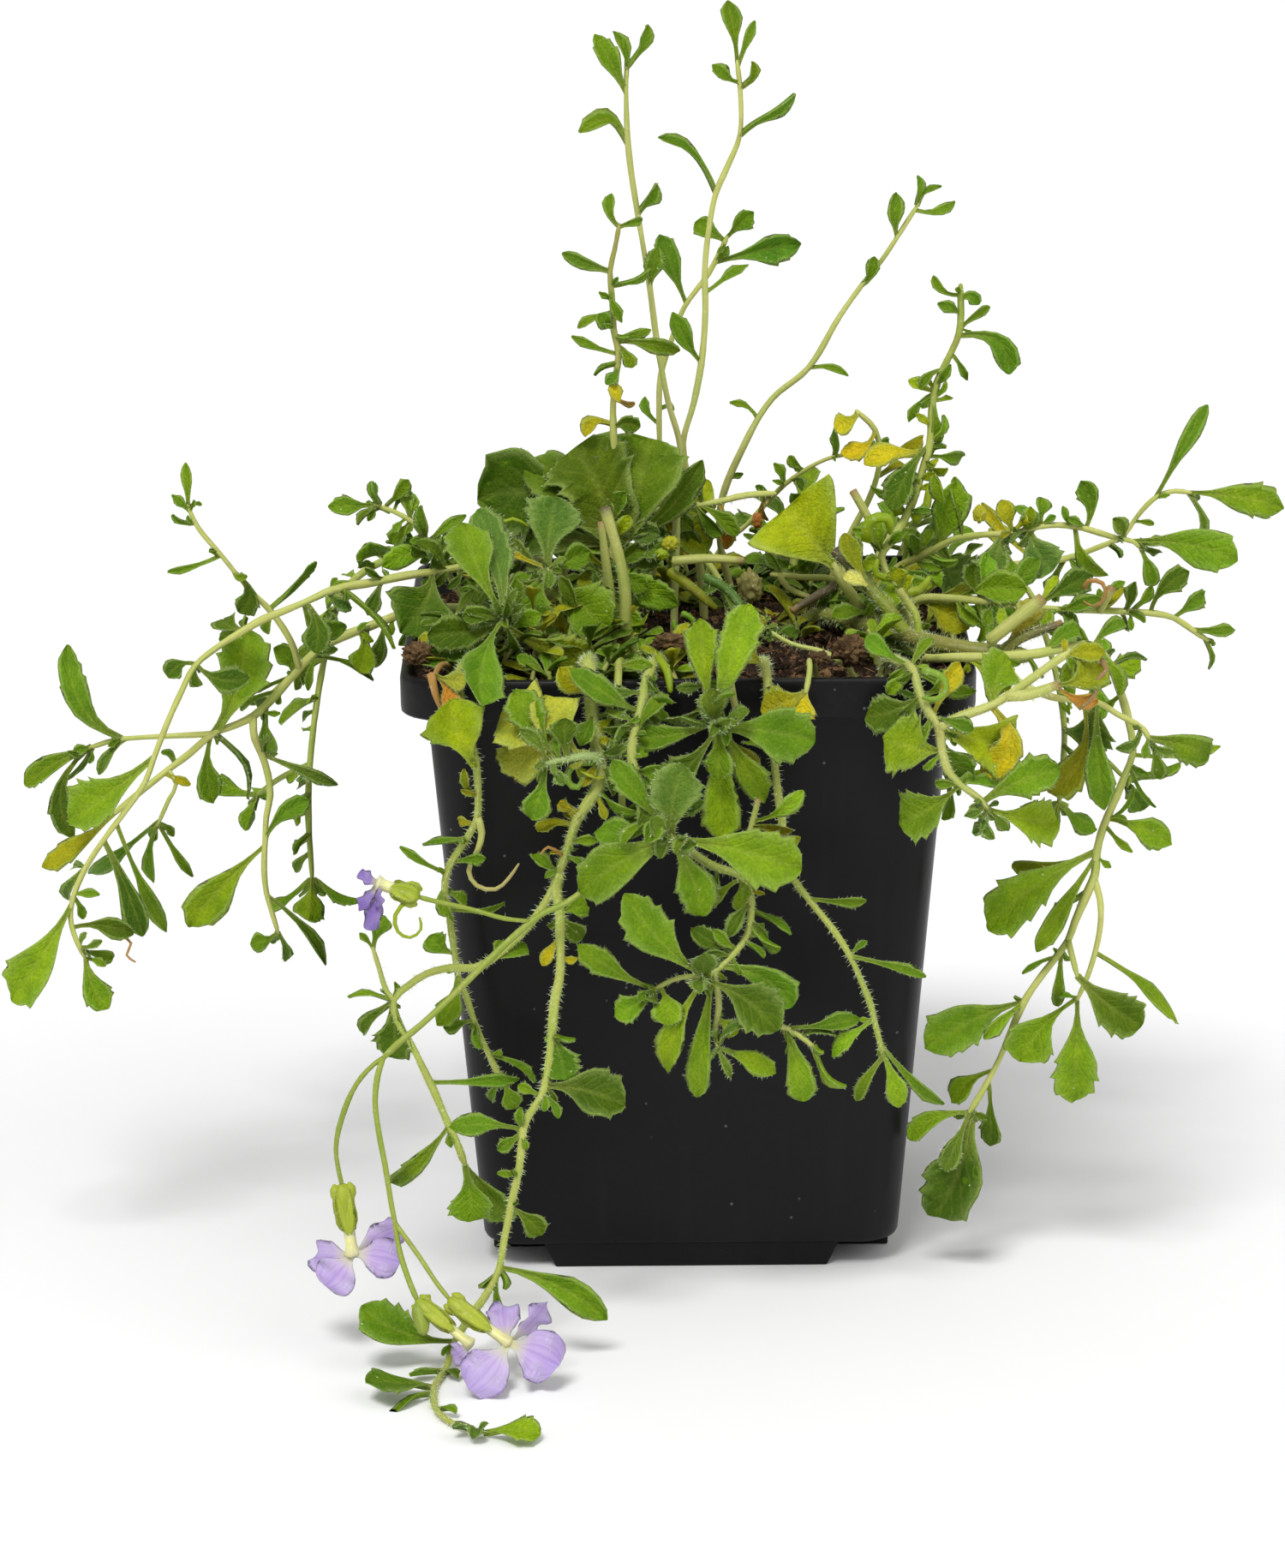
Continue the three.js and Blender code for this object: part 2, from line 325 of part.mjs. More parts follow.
      [16.6, 57, -52], [19.5, 52.6, -53], [22, 49.4, -54], [24.5, 46, -55], [26.6, 42.4, -56],
      [28.5, 38, -56], [30, 34, -56], [30.7, 31, -56], [31.6, 27.4, -56], [32.2, 25, -56]],
    [[0.4, 8.6, 95.4, 1, 4.2, 15, 0.6], [13.6, 34.9, 16.1, -1, 3.6, 5, 0.4]]),
  spray("front_yellow", "leaf_front_yellow", foot(20, -34), [0.7, 0.55],
    [[20, 92.4, -41], [20, 90.3, -46.6], [19.4, 87, -49.5]],
    [[1.9, 12.2, 84.4, -3, 6.4, 5, 0.6], [1.8, 18.4, 82.2, -3, 4.4, 5, 0]]),
  spray("front_left_main", "trail_front_left", foot(-15, -31), [1.4, 1],
    [[-16, 92.4, -41], [-15.8, 90.5, -46.8], [-15.2, 82, -51], [-14, 75, -53], [-14.4, 71.6, -53.5],
      [-16, 69, -54], [-18, 66, -54], [-19, 63, -54], [-20, 60, -53.5], [-21, 57, -53]],
    [[1.4, -20.6, 91.6, -2, 5, 5, 0.8]]),
  spray("front_left_woolly", "trail_front_left", branch("front_left_main", 3), [0.9, 0.6],
    [[-15, 76.6, -55], [-18.5, 76.4, -56], [-23, 75.4, -57]],
    [[2, -25.7, 66, -1, 4.8, 5, 0.5], [1.5, -27.7, 88, 4, 6, 5, 0.6], [1, -30, 84.4, 6, 7.4, 0, -0.8],
      [0.7, -22.2, 86.8, 3, 6.2, 5, 0.6], [1.2, -19.8, 83.2, -1, 4.8, 5, 0.3]]),
  spray("front_left_long", "trail_front_left", branch("front_left_main", 9), [0.9, 0.65],
    [[-21.5, 55, -53], [-21, 50, -54], [-21, 45, -55.5], [-21, 40, -57], [-22, 35, -59],
      [-22.5, 30, -61], [-23, 25, -63], [-23.5, 22, -64], [-24.5, 18.5, -66], [-26.5, 15.5, -67],
      [-27.5, 13, -68], [-27.8, 10, -69], [-28.3, 6, -69.5], [-29.2, 2, -70], [-30, -2, -71],
      [-31, -7, -72.5], [-31.7, -11, -73.5], [-34.5, -16.5, -75], [-36, -18.5, -75.5],
      [-39.8, -24.5, -78]],
    [[1, -16.2, 51.2, 1, 4.2, 10, 0.5], [1.1, -17.3, 45.8, -1, 3.6, 10, 0],
      [5.1, -20.4, 21.4, -3, 6.2, 5, 0.3], [7.4, -10.6, 17.2, -2, 8.2, 0, 0.8],
      [10, -39.9, 13.5, -1, 4, 5, -0.6], [13.6, -24.6, -5.4, -2, 4, 5, 0.4],
      [16, -13.8, -20.4, -3, 5, 0, 1.4], [18.9, -55, -17.5, 0, 7.4, 5, 1.6]]),
  laid("front_left_laid", "trail_front_left", branch("front_left_long", 19), [0.65, 0.5],
    [[-38, -81.6], [-38.8, -85], [-39.6, -89.5], [-39.6, -94], [-39, -99.5], [-37.3, -104],
      [-34.6, -107.4], [-31.9, -109.4]],
    [[2, -50, -94.4, 3.4, 9, 0.8], [7, -23.2, -111.8, 2, 5.8, -0.6]]),
  spray("front_left_side", "trail_front_left", branch("front_left_main", 9), [0.8, 0.6],
    [[-22.5, 53.4, -52.5], [-25, 49.5, -52], [-28, 46, -52], [-32, 42.5, -53], [-35, 41, -53.5],
      [-39, 41, -54.5], [-43, 40, -56], [-46, 38, -57], [-48.5, 35.5, -58], [-48, 32, -58],
      [-46, 28.5, -59], [-44, 24, -60], [-42, 19.5, -61], [-40, 14.5, -62], [-38.5, 11, -63],
      [-37.2, 7, -63]],
    [[8.1, -49, 25.4, 1, 6, 5, 0.4], [15, -36.4, -3, -1, 6.6, 0, 0.3], [15, -30, -3.4, 2, 5.4, 10, 0.3]]),
  spray("front_left_sprig", "trail_front_left", branch("front_left_side", 8), [0.55, 0.45],
    [[-49.6, 37, -57.5], [-50.8, 41, -57], [-51.8, 44.6, -56.5]],
    [[1.9, -49.6, 50, 2, 3.8, 5, 0.4]]),
  spray("left_front_main", "trail_left_front", foot(-31, -27), [0.9, 0.55],
    [[-35.6, 92.4, -41], [-37, 90.4, -46.8], [-36.4, 84, -50.5], [-34.4, 76, -51], [-34.1, 70, -50],
      [-34.3, 66.5, -49.5], [-36, 63, -49], [-38, 60, -48.5], [-39.3, 57.5, -48], [-39.8, 54, -47.5],
      [-39.3, 51, -47], [-38.8, 47, -46.5], [-38.3, 43, -46], [-37.8, 39.5, -46], [-36.5, 36, -46],
      [-35.3, 32, -46], [-34, 28.5, -46], [-32.5, 25, -46], [-31.2, 22, -46]],
    [[3.2, -38.6, 86.4, -3, 9.4, 0, 0.6], [11.9, -42.4, 46.6, 0, 4.2, 10, 0.6],
      [12.6, -41.2, 31.2, -1, 4.2, 10, 1.2], [18, -28.8, 16.4, 0, 3.6, 5, 0.3]]),
  spray("left_front_dry", "trail_left_front", branch("left_front_main", 5), [0.8, 0.5],
    [[-33.6, 64, -49], [-34.3, 61, -48.5], [-35.8, 57.4, -48], [-34.6, 55, -48], [-31.5, 54.3, -48],
      [-29.4, 56, -48], [-27.6, 58.6, -48]],
    []),
  spray("flower_stalk", "flower_stalk", foot(-9.4, -33), [0.75, 0.55],
    [[-10.8, 92.4, -41], [-11, 90.5, -46.6], [-11.2, 84, -50], [-11, 76, -50.5], [-10.6, 68, -52],
      [-11.6, 60.5, -54], [-14, 56, -56], [-17, 54, -57.5], [-20, 51.8, -58.5], [-24, 50, -59.5],
      [-28, 46.8, -60.5], [-32, 43, -61.5], [-36, 39, -62.5], [-40, 35, -64], [-44, 31.3, -65.5],
      [-48, 28, -67], [-50.5, 25.5, -68]],
    []),
  spray("pedicel_low", "flower_stalk", branch("flower_stalk", 16), [0.48, 0.42],
    [[-52, 24.5, -68.5], [-55, 21, -69], [-57.5, 15, -69.5], [-58.5, 10, -70], [-58, 5.4, -70],
      [-57.6, 3.4, -70]],
    []),
  spray("pedicel_buds", "flower_stalk", branch("flower_stalk", 16), [0.5, 0.45],
    [[-51.4, 22.5, -69.5], [-51.9, 18, -70.5], [-51.4, 13, -71.5], [-50.4, 7, -73], [-49.5, 0, -74.5],
      [-49, -3, -75.5], [-48.3, -8, -77.5], [-46.5, -14, -80], [-45.3, -17, -81.5]],
    []),
  spray("pedicel_bloom", "flower_stalk", branch("pedicel_buds", 5), [0.45, 0.42],
    [[-45, -9, -79], [-42, -14, -81.5], [-39.9, -16.8, -83]],
    []),
  spray("pedicel_faded", "flower_stalk", branch("flower_stalk", 9.4), [0.45, 0.42],
    [[-30, 49.3, -61], [-35, 50.8, -61.5], [-39, 51.8, -62], [-42, 52.5, -62], [-44.4, 53.2, -62]],
    []),
  spray("rim_leaf_dry", "leaf_dry_rim", foot(-36, -34), [0.6, 0.5],
    [[-39.6, 92.2, -41], [-41, 90.3, -46.6]],
    []),
];

// A bloom hangs at the end of its pedicel. Its throat and the tips of its petals are sighted as on
// the sprays: a petal has its tip's X and Z, how far behind the throat it lies, its width and turn.
const blooms = [
  { node: "petals_low", pedicel: "pedicel_low", throat: [-56.1, -8.4, -71], bulge: 2.4,
    petals: [[-60.9, -13.9, -2, 7, 0], [-48.2, -10, -3, 6.4, 0], [-47.9, -3.9, 2, 5.4, 20],
      [-62.6, -9, 4, 5.6, 20]] },
  { node: "petals_floor", pedicel: "pedicel_bloom", throat: [-30.4, -24.3, -86.5], bulge: 2.2,
    petals: [[-22, -28.4, -4, 8.4, 0], [-37.2, -32.4, -7, 7.8, 0], [-23.8, -17.2, 2, 5, 50],
      [-31.2, -17.6, 7, 5.4, 10]] },
  { node: "petals_faded", pedicel: "pedicel_faded", throat: [-50.6, 55.4, -62.6], bulge: 2.5,
    petals: [[-53.8, 57.4, -1, 2.4, 30], [-54, 51, -1, 2.6, 40], [-52.2, 47.4, -2, 3, 20],
      [-50.4, 51.4, -3, 2.4, 60]] },
];
const budCluster = {
  pedicel: "pedicel_buds", bud: [-43.6, -20.2, -82.5], radius: 2.2, sepalTip: [-36.4, -24.2, -84],
};

// Colours
const leafGreen = 0x5c8a2e;
const stemGreen = 0x8a9c4c;
const leafYellow = 0xc2b032;
const dryBrown = 0xa9763a;
const petalLilac = 0xa48bd6;
const potBlack = 0x0b0b0d;
const peatBrown = 0x3b2416;

const potted = new THREE.Group();

function addPiece(name, solid, colour, roughness) {
  const mesh = solid.getMesh();
  const geometry = new THREE.BufferGeometry();
  geometry.setAttribute("position", new THREE.BufferAttribute(mesh.vertProperties, 3));
  geometry.setIndex(new THREE.BufferAttribute(mesh.triVerts, 1));
  const material = new THREE.MeshStandardMaterial({ color: colour, roughness, metalness: 0 });
  const piece = new THREE.Mesh(geometry, material);
  piece.name = name;
  potted.add(piece);
}

// A small generator of repeatable draws between 0 and 1
function makeDraw(seed) {
  let state = seed;
  return () => {
    state = (Math.imul(state, 1664525) + 1013904223) >>> 0;
    return state / 4294967296;
  };
}

function solidFrom(points, faces) {
  const vertProperties = new Float32Array(points.flatMap((p) => [p.x, p.y, p.z]));
  const triVerts = new Uint32Array(faces.flat());
  return new wasm.Manifold(new wasm.Mesh({ numProp: 3, vertProperties, triVerts }));
}

function solidFromGeometry(geometry) {
  const bare = geometry.clone();
  bare.deleteAttribute("normal");
  bare.deleteAttribute("uv");
  const merged = mergeVertices(bare, 1e-4);
  const vertProperties = new Float32Array(merged.attributes.position.array);
  const triVerts = new Uint32Array(merged.index.array);
  return new wasm.Manifold(new wasm.Mesh({ numProp: 3, vertProperties, triVerts }));
}

// Rings of equal count are skinned into a closed solid, and a ring of one point is a tip.
// Rings run anticlockwise seen from the last ring back towards the first.
function skin(rings) {
  const points = rings.flat();
  const faces = [];
  const starts = [];
  rings.reduce((start, ring) => {
    starts.push(start);
    return start + ring.length;
  }, 0);
  for (let r = 0; r < rings.length - 1; r++) {
    const a = starts[r];
    const b = starts[r + 1];
    const n = rings[r].length;
    const m = rings[r + 1].length;
    for (let i = 0; i < Math.max(n, m); i++) {
      const next = (i + 1) % Math.max(n, m);
      if (m === 1) {
        faces.push([a + i, a + next, b]);
      } else {
        faces.push([a + i, a + next, b + next], [a + i, b + next, b + i]);
      }
    }
  }
  capRing(faces, starts[0], rings[0].length, true);
  const last = rings.length - 1;
  if (rings[last].length > 1) {
    capRing(faces, starts[last], rings[last].length, false);
  }
  return solidFrom(points, faces);
}

function capRing(faces, start, count, first) {
  for (let i = 1; i < count - 1; i++) {
    faces.push(first ? [start, start + i + 1, start + i] : [start, start + i, start + i + 1]);
  }
}

function unionAll(solids) {
  return solids.reduce((whole, solid) => whole.add(solid));
}

// Pot: rounded squares skinned from the bottom up
function roundedSquare(half, corner, z, steps = 3) {
  const ring = [];
  for (let quarter = 0; quarter < 4; quarter++) {
    const cx = [1, -1, -1, 1][quarter] * (half - corner);
    const cy = [1, 1, -1, -1][quarter] * (half - corner);
    for (let i = 0; i <= steps; i++) {
      const angle = (quarter + i / steps) * (Math.PI / 2);
      ring.push(new THREE.Vector3(cx + corner * Math.cos(angle), cy + corner * Math.sin(angle), z));
    }
  }
  return ring;
}

function rectangle(halfX, halfY, z) {
  return [[1, 1], [-1, 1], [-1, -1], [1, -1]].map(([sx, sy]) => new THREE.Vector3(sx * halfX, sy * halfY, z));
}

const lipBottom = potHeight - lipHeight;
const wallSlope = (wallTopHalf - wallBottomHalf) / (lipBottom - footHeight);
const wallHalfAt = (z) => wallBottomHalf + wallSlope * (z - footHeight);
const ledgeTop = footHeight + wall;

function footBars(shrink, bottom, top, length) {
  const levels = [[footBottomHalf - shrink, bottom], [footTopHalf - shrink, top]];
  const alongX = skin(levels.map(([width, z]) => rectangle(length, width, z)));
  const alongY = skin(levels.map(([width, z]) => rectangle(width, length, z)));
  return alongX.add(alongY);
}

// The levels of the pot's inner side from the floor up, moved inwards by a gap: half width, corner
// radius and height
const innerLevels = (gap, top) => [
  [wallHalfAt(ledgeTop) - wall - gap, baseCorner - wall, ledgeTop + gap],
  [wallTopHalf - wall - gap, rimCorner - 2 * wall, lipBottom + gap],
  [rimHalf - lipWall - gap, rimCorner - lipWall, lipBottom + lipTaper + gap],
  [rimHalf - lipWall - gap, rimCorner - lipWall, top],
];

const trayLength = footLength - wall;

// What fills the pot: its inside less the gap, down into the hollow feet
function potFilling(gap, top) {
  const above = skin(innerLevels(gap, top).map(([half, corner, z]) => roundedSquare(half, corner, z)));
  return above.add(footBars(wall + gap, wall + gap, ledgeTop + gap + 1, trayLength - gap));
}

// A lens-shaped drain opening in one corner of the floor
function drain(quarter) {
  const outline = [];
  const sides = 6;
  for (const side of [1, -1]) {
    for (let i = 0; i < sides; i++) {
      const along = side * (drainReach / 2) * (1 - (2 * i) / sides);
      const across = side * (drainWidth / 2) * Math.sin((Math.PI * i) / sides);
      outline.push([along, across]);
    }
  }
  const turn = Math.PI / 4 + (quarter * Math.PI) / 2;
  const ringAt = (z) => outline.map(([along, across]) => {
    const point = new THREE.Vector3(across, -along, z);
    point.x += Math.SQRT2 * drainCentre;
    return point.applyAxisAngle(new THREE.Vector3(0, 0, 1), turn);
  });
  return skin([ringAt(footHeight - 1).reverse(), ringAt(ledgeTop + 1).reverse()]);
}

function makePot() {
  const levels = [
    [wallBottomHalf - 1, baseCorner - 1, footHeight],
    [wallHalfAt(footHeight + 1), baseCorner, footHeight + 1],
    [wallTopHalf, rimCorner - wall, lipBottom],
    [rimHalf - lipEdge, rimCorner, lipBottom],
    [rimHalf, rimCorner, potHeight - lipEdge],
    [rimHalf - lipEdge, rimCorner - lipEdge, potHeight],
    ...innerLevels(0, potHeight).reverse(),
  ];
  let pot = skin(levels.map(([half, corner, z]) => roundedSquare(half, corner, z)));
  pot = pot.add(footBars(0, 0, footHeight + wall / 2, footLength));
  pot = pot.subtract(footBars(wall, wall, ledgeTop + 1, trayLength));
  for (let quarter = 0; quarter < 4; quarter++) {
    pot = pot.subtract(drain(quarter));
  }
  addPiece("pot", pot, potBlack, 0.42);
}

// From a sighted point to the real one
function sighted([x, z, y]) {
  const scale = 1 + y / -eye.y;
  return new THREE.Vector3(eye.x + (x - eye.x) * scale, y, eye.z + (z - eye.z) * scale);
}

// A tube of few sides along a route, each ring turned as little as possible from the last
function stemSolid(line, radii) {
  const up = new THREE.Vector3(0.3, 1, 0.1).normalize();
  const rings = [];
  let side = null;
  const route = thinned(line);
  const sides = radii[0] < thinStem ? thinStemSides : stemSides;
  route.forEach((point, i) => {
    const before = route[Math.max(i - 1, 0)];
    const after = route[Math.min(i + 1, route.length - 1)];
    const along = after.clone().sub(before).normalize();
    side = (side ?? up).clone().addScaledVector(along, -along.dot(side ?? up)).normalize();
    const across = along.clone().cross(side);
    const radius = THREE.MathUtils.lerp(radii[0], radii[1], i / (route.length - 1));
    rings.push(Array.from({ length: sides }, (_, k) => {
      const angle = (2 * Math.PI * k) / sides;
      return point.clone()
        .addScaledVector(side, radius * Math.cos(angle))
        .addScaledVector(across, radius * Math.sin(angle));
    }));
  });
  return skin(rings);
}

// A route without the points that lie on the straight line between their neighbours, or nearly
function thinned(line) {
  const kept = [line[0]];
  for (let i = 1; i < line.length - 1; i++) {
    const chord = new THREE.Line3(kept.at(-1), line[i + 1]);
    const nearest = chord.closestPointToPoint(line[i], true, new THREE.Vector3());
    if (nearest.distanceTo(line[i]) > routeSlack) {
      kept.push(line[i]);
    }
  }
  kept.push(line.at(-1));
  return kept;
}

const pointAt = (line, at) => {
  const i = Math.min(Math.floor(at), line.length - 2);
  return line[i].clone().lerp(line[i + 1], Math.min(at - i, 1));
};

// Where a blade is how wide, as shares of its length and width: large blades have one tooth a side
const toothedOutline = [[0, 0], [0.36, 0.3], [0.66, 1], [0.76, 0.76], [1, null]];
const plainOutline = [[0, 0], [0.36, 0.34], [0.68, 1], [1, null]];
const narrowOutline = [[0, 0], [0.6, 1], [1, null]];
const fanOutline = [[0, 0], [0.34, 0.32], [0.72, 1], [0.92, 0.5], [1, null]];
const petalOutline = [[0, 0], [0.3, 0.3], [0.55, 0.9], [0.82, 0.95], [1, 0.42]];

// A thin blade from its root to its tip, keeled along the middle and bowed sideways
function bladeSolid(root, tip, width, facing, bow, outline, petiole = petioleWidth) {
  const chord = tip.clone().sub(root);
  const length = chord.length();
  const along = chord.clone().normalize();
  const front = facing.clone().addScaledVector(along, -along.dot(facing)).normalize();
  const side = front.clone().cross(along).normalize();
  const middle = root.clone().add(tip).multiplyScalar(0.5)
    .addScaledVector(side, 2 * bow)
    .addScaledVector(front, 2 * bladeSwell * length);
  const curve = new THREE.QuadraticBezierCurve3(root, middle, tip);
  const rings = outline.map(([share, spread]) => {
    const centre = curve.getPoint(share);
    if (spread === null) {
      return [centre];
    }
    const heading = curve.getTangent(share);
    const face = front.clone().addScaledVector(heading, -heading.dot(front)).normalize();
    const across = face.clone().cross(heading).normalize();
    const half = share === 0 ? rootHalf : Math.max(petiole, width * spread) / 2;
    const thick = share === 0 ? rootHalf : bladeThickness / 2;
    const keel = share === 0 ? 0 : bladeKeel * half;
    const edge = centre.clone().addScaledVector(face, keel);
    return [
      edge.clone().addScaledVector(across, half),
      edge.clone().addScaledVector(across, -half),
      centre.clone().addScaledVector(face, -thick),
    ];
  });
  return skin(rings);
}

function outlineFor(width) {
  if (width > fanWidth) {
    return fanOutline;
  }
  if (width > toothedWidth) {
    return toothedOutline;
  }
  return width > narrowWidth ? plainOutline : narrowOutline;
}

// A leaf that faces the eye, turned about its own length
function leafSolid(line, [at, x, z, out, width, turn, bow]) {
  const root = pointAt(line, at);
  const tip = sighted([x, z, root.y + out]);
  const along = tip.clone().sub(root).normalize();
  const facing = eye.clone().sub(root).normalize();
  facing.applyAxisAngle(along, THREE.MathUtils.degToRad(turn));
  return bladeSolid(root, tip, width, facing, bow, outlineFor(width));
}

// A leaf of a laid spray looks up
function laidLeafSolid(line, [at, x, y, z, width, bow]) {
  const facing = new THREE.Vector3(0, -0.2, 1);
  return bladeSolid(pointAt(line, at), new THREE.Vector3(x, y, z), width, facing, bow, outlineFor(width));
}

const solidsOfNode = new Map();
const lineOf = new Map();
const stemHoles = [];

function addToNode(node, solids) {
  solidsOfNode.set(node, [...(solidsOfNode.get(node) ?? []), ...solids]);
}

// A stem that has its own foot stands in a plain hole in the soil
function rootPoints(x, y, radius) {
  stemHoles.push({ x, y, radius: (radius + seat) * Math.SQRT2 });
  return [soilHeight - rootDepth, soilHeight + soilRise].map((z) => new THREE.Vector3(x, y, z));
}

function placeSpray({ name, node, start, radii, route, leaves, lies }) {
  const own = lies
    ? route.map(([x, y]) => new THREE.Vector3(x, y, radii[0] + 0.15))
    : route.map(sighted);
  const before = start.foot
    ? rootPoints(start.foot[0], start.foot[1], radii[0])
    : [pointAt(lineOf.get(start.parent), start.at)];
  lineOf.set(name, own);
  const blades = leaves.map((leaf) => (lies ? laidLeafSolid(own, leaf) : leafSolid(own, leaf)));
  addToNode(node, [stemSolid([...before, ...own], radii), ...blades]);
}

const upward = new THREE.Vector3(0, 0, 1);

// Leaves all round the end of a shoot, leaning forward along it
function rosetteBlades(end, axis, count, draw) {
  const side = new THREE.Vector3(-axis.y, axis.x, 0.2).addScaledVector(axis, -0.2 * axis.z).normalize();
  return Array.from({ length: count }, (_, k) => {
    const radial = side.clone().applyAxisAngle(axis, (2 * Math.PI * (k + 0.5 * draw())) / count);
    const length = 6 + 4 * draw();
    const tip = end.clone().addScaledVector(axis, 0.5 * length).addScaledVector(radial, 0.85 * length);
    const width = length * (0.44 + 0.14 * draw());
    return bladeSolid(end, tip, width, axis, 0.5 * (draw() - 0.5), outlineFor(width));
  });
}

// A drape rises from its foot, bends over the rim and hangs, with single leaves on both sides, two
// side shoots and a rosette at its end
function placeDrape({ name, foot: [fx, fy], over: [ox, oy], fall, swing }, draw) {
  const points = [...rootPoints(fx, fy, 0.9)];
  const outward = new THREE.Vector3(Math.abs(ox) > Math.abs(oy) ? Math.sign(ox) : 0,
    Math.abs(oy) >= Math.abs(ox) ? 1 : 0, 0);
  const sideways = new THREE.Vector3(-outward.y, outward.x, 0);
  points.push(new THREE.Vector3((fx * 2 + ox) / 3, (fy * 2 + oy) / 3, potHeight + 4.5));
  points.push(new THREE.Vector3((fx + ox * 5) / 6, (fy + oy * 5) / 6, potHeight + 4));
  const steps = 6;
  for (let i = 1; i <= steps; i++) {
    const share = i / steps;
    const spread = 3 + 9 * Math.sin(1.9 * share);
    const sway = swing * share * share + 3.5 * Math.sin(6 * share + fx);
    points.push(new THREE.Vector3(ox, oy, potHeight + 3 - fall * Math.pow(share, 1.25))
      .addScaledVector(outward, spread)
      .addScaledVector(sideways, sway));
  }
  const solids = [stemSolid(points, [0.9, 0.5])];
  const last = points.length - 1;
  const headingAt = (at) => pointAt(points, Math.min(at + 0.3, last)).sub(pointAt(points, at - 0.3)).normalize();
  const leafCount = Math.round(fall / 11);
  for (let i = 0; i < leafCount; i++) {
    const at = 2.2 + ((last - 3) * (i + 0.8 * draw())) / leafCount;
    const hang = THREE.MathUtils.clamp((at - 2.8) / 2, 0, 1);
    const facing = upward.clone().lerp(outward, hang);
    const turn = (i % 2 === 0 ? 1 : -1) * (0.4 + 0.8 * draw());
    const length = 7 + 7 * draw();
    const root = pointAt(points, at);
    const tip = root.clone()
      .addScaledVector(headingAt(at), length * (0.3 + 0.4 * draw()))
      .addScaledVector(sideways, length * 0.75 * turn)
      .addScaledVector(facing, 1 + 4 * draw());
    const width = length * (0.34 + 0.24 * draw());
    solids.push(bladeSolid(root, tip, width, facing, 0.6 * turn, outlineFor(width)));
  }
  for (const [k, place] of [[0, 0.42], [1, 0.72]]) {
    const at = 2.6 + (last - 2.6) * place;
    const root = pointAt(points, at);
    const axis = headingAt(at).multiplyScalar(0.5)
      .addScaledVector(sideways, (k === 0 ? 1 : -1) * (0.5 + 0.3 * draw()))
      .addScaledVector(outward, 0.35 + 0.3 * draw())
      .normalize();
    const middle = root.clone().addScaledVector(axis, 0.5 * shootLength).addScaledVector(outward, 1);
    const end = root.clone().addScaledVector(axis, shootLength * (0.8 + 0.5 * draw()));
    solids.push(stemSolid([root, middle, end], [0.5, 0.42]));
    solids.push(...rosetteBlades(end, end.clone().sub(middle).normalize(), shootLeaves, draw));
  }
  solids.push(...rosetteBlades(points[last], headingAt(last), endLeaves, draw));
  addToNode(name, solids);
}

// A tuft fills the crown behind: a short stem with leaves all round it, longest below
function placeCushion({ name, foot: [fx, fy], height, leaves, reach, level: [low, high] }, draw) {
  const points = [...rootPoints(fx, fy, 1)];
  points.push(new THREE.Vector3(fx, fy, soilHeight + height * 0.55));
  points.push(new THREE.Vector3(fx + 1, fy + 0.5, soilHeight + height));
  const solids = [stemSolid(points, [1, 0.7])];
  for (let i = 0; i < leaves; i++) {
    const share = i / (leaves - 1);
    const angle = i * 2.4 + draw();
    const length = reach * (1 - 0.25 * share) * (0.8 + 0.4 * draw());
    const root = pointAt(points, 1.35 + 1.6 * share);
    const tilt = low + (high - low) * share;
    const flat = length * Math.cos(tilt);
    const step = new THREE.Vector3(flat * Math.cos(angle), flat * Math.sin(angle), length * Math.sin(tilt));
    const tip = root.clone().add(step);
    const width = length * (0.42 + 0.14 * draw());
    const bow = 0.8 * (draw() - 0.5);
    solids.push(bladeSolid(root, tip, width, upward, bow, outlineFor(width)));
  }
  addToNode(name, solids);
}

// A round body along an axis, as rings of six from radii along it
function turnedSolid(start, end, profile, sides = 6) {
  const along = end.clone().sub(start);
  const axis = along.clone().normalize();
  const back = new THREE.Vector3(0, 1, 0.2);
  const side = back.clone().addScaledVector(axis, -axis.dot(back)).normalize();
  const across = axis.clone().cross(side);
  return skin(profile.map(([share, radius]) => Array.from({ length: sides }, (_, k) => {
    const angle = (2 * Math.PI * k) / sides;
    return start.clone().addScaledVector(along, share)
      .addScaledVector(side, radius * Math.cos(angle))
      .addScaledVector(across, radius * Math.sin(angle));
  })));
}

// Calyx on the stalk's end, and the petals on their tube just past it
function placeBloom({ node, pedicel, throat, bulge, petals }) {
  const stalkEnd = lineOf.get(pedicel).at(-1);
  const mouth = sighted(throat);
  const along = mouth.clone().sub(stalkEnd);
  const axis = along.clone().normalize();
  const calyxEnd = stalkEnd.clone().addScaledVector(along, 0.66);
  const calyx = turnedSolid(stalkEnd.clone().addScaledVector(axis, -0.4), calyxEnd,
    [[0, 0.7], [0.12, bulge], [0.45, bulge * 0.8], [0.8, bulge * 0.7], [1, bulge * 0.5]]);
  addToNode("flower_stalk", [calyx]);
  const tubeStart = calyxEnd.clone().addScaledVector(axis, seat);
  const tube = turnedSolid(tubeStart, mouth.clone().addScaledVector(axis, 0.6), [[0, bulge * 0.42], [1, 1]]);
  const facing = eye.clone().sub(mouth).normalize();
  const blades = petals.map(([x, z, out, width, turn]) => {
    const tip = sighted([x, z, mouth.y + out]);
    const heading = tip.clone().sub(mouth).normalize();
    const turned = facing.clone().applyAxisAngle(heading, THREE.MathUtils.degToRad(turn));
    return bladeSolid(mouth, tip, width, turned, 0.3, petalOutline, 1.2);
  });
  addToNode(node, [tube, ...blades]);
}

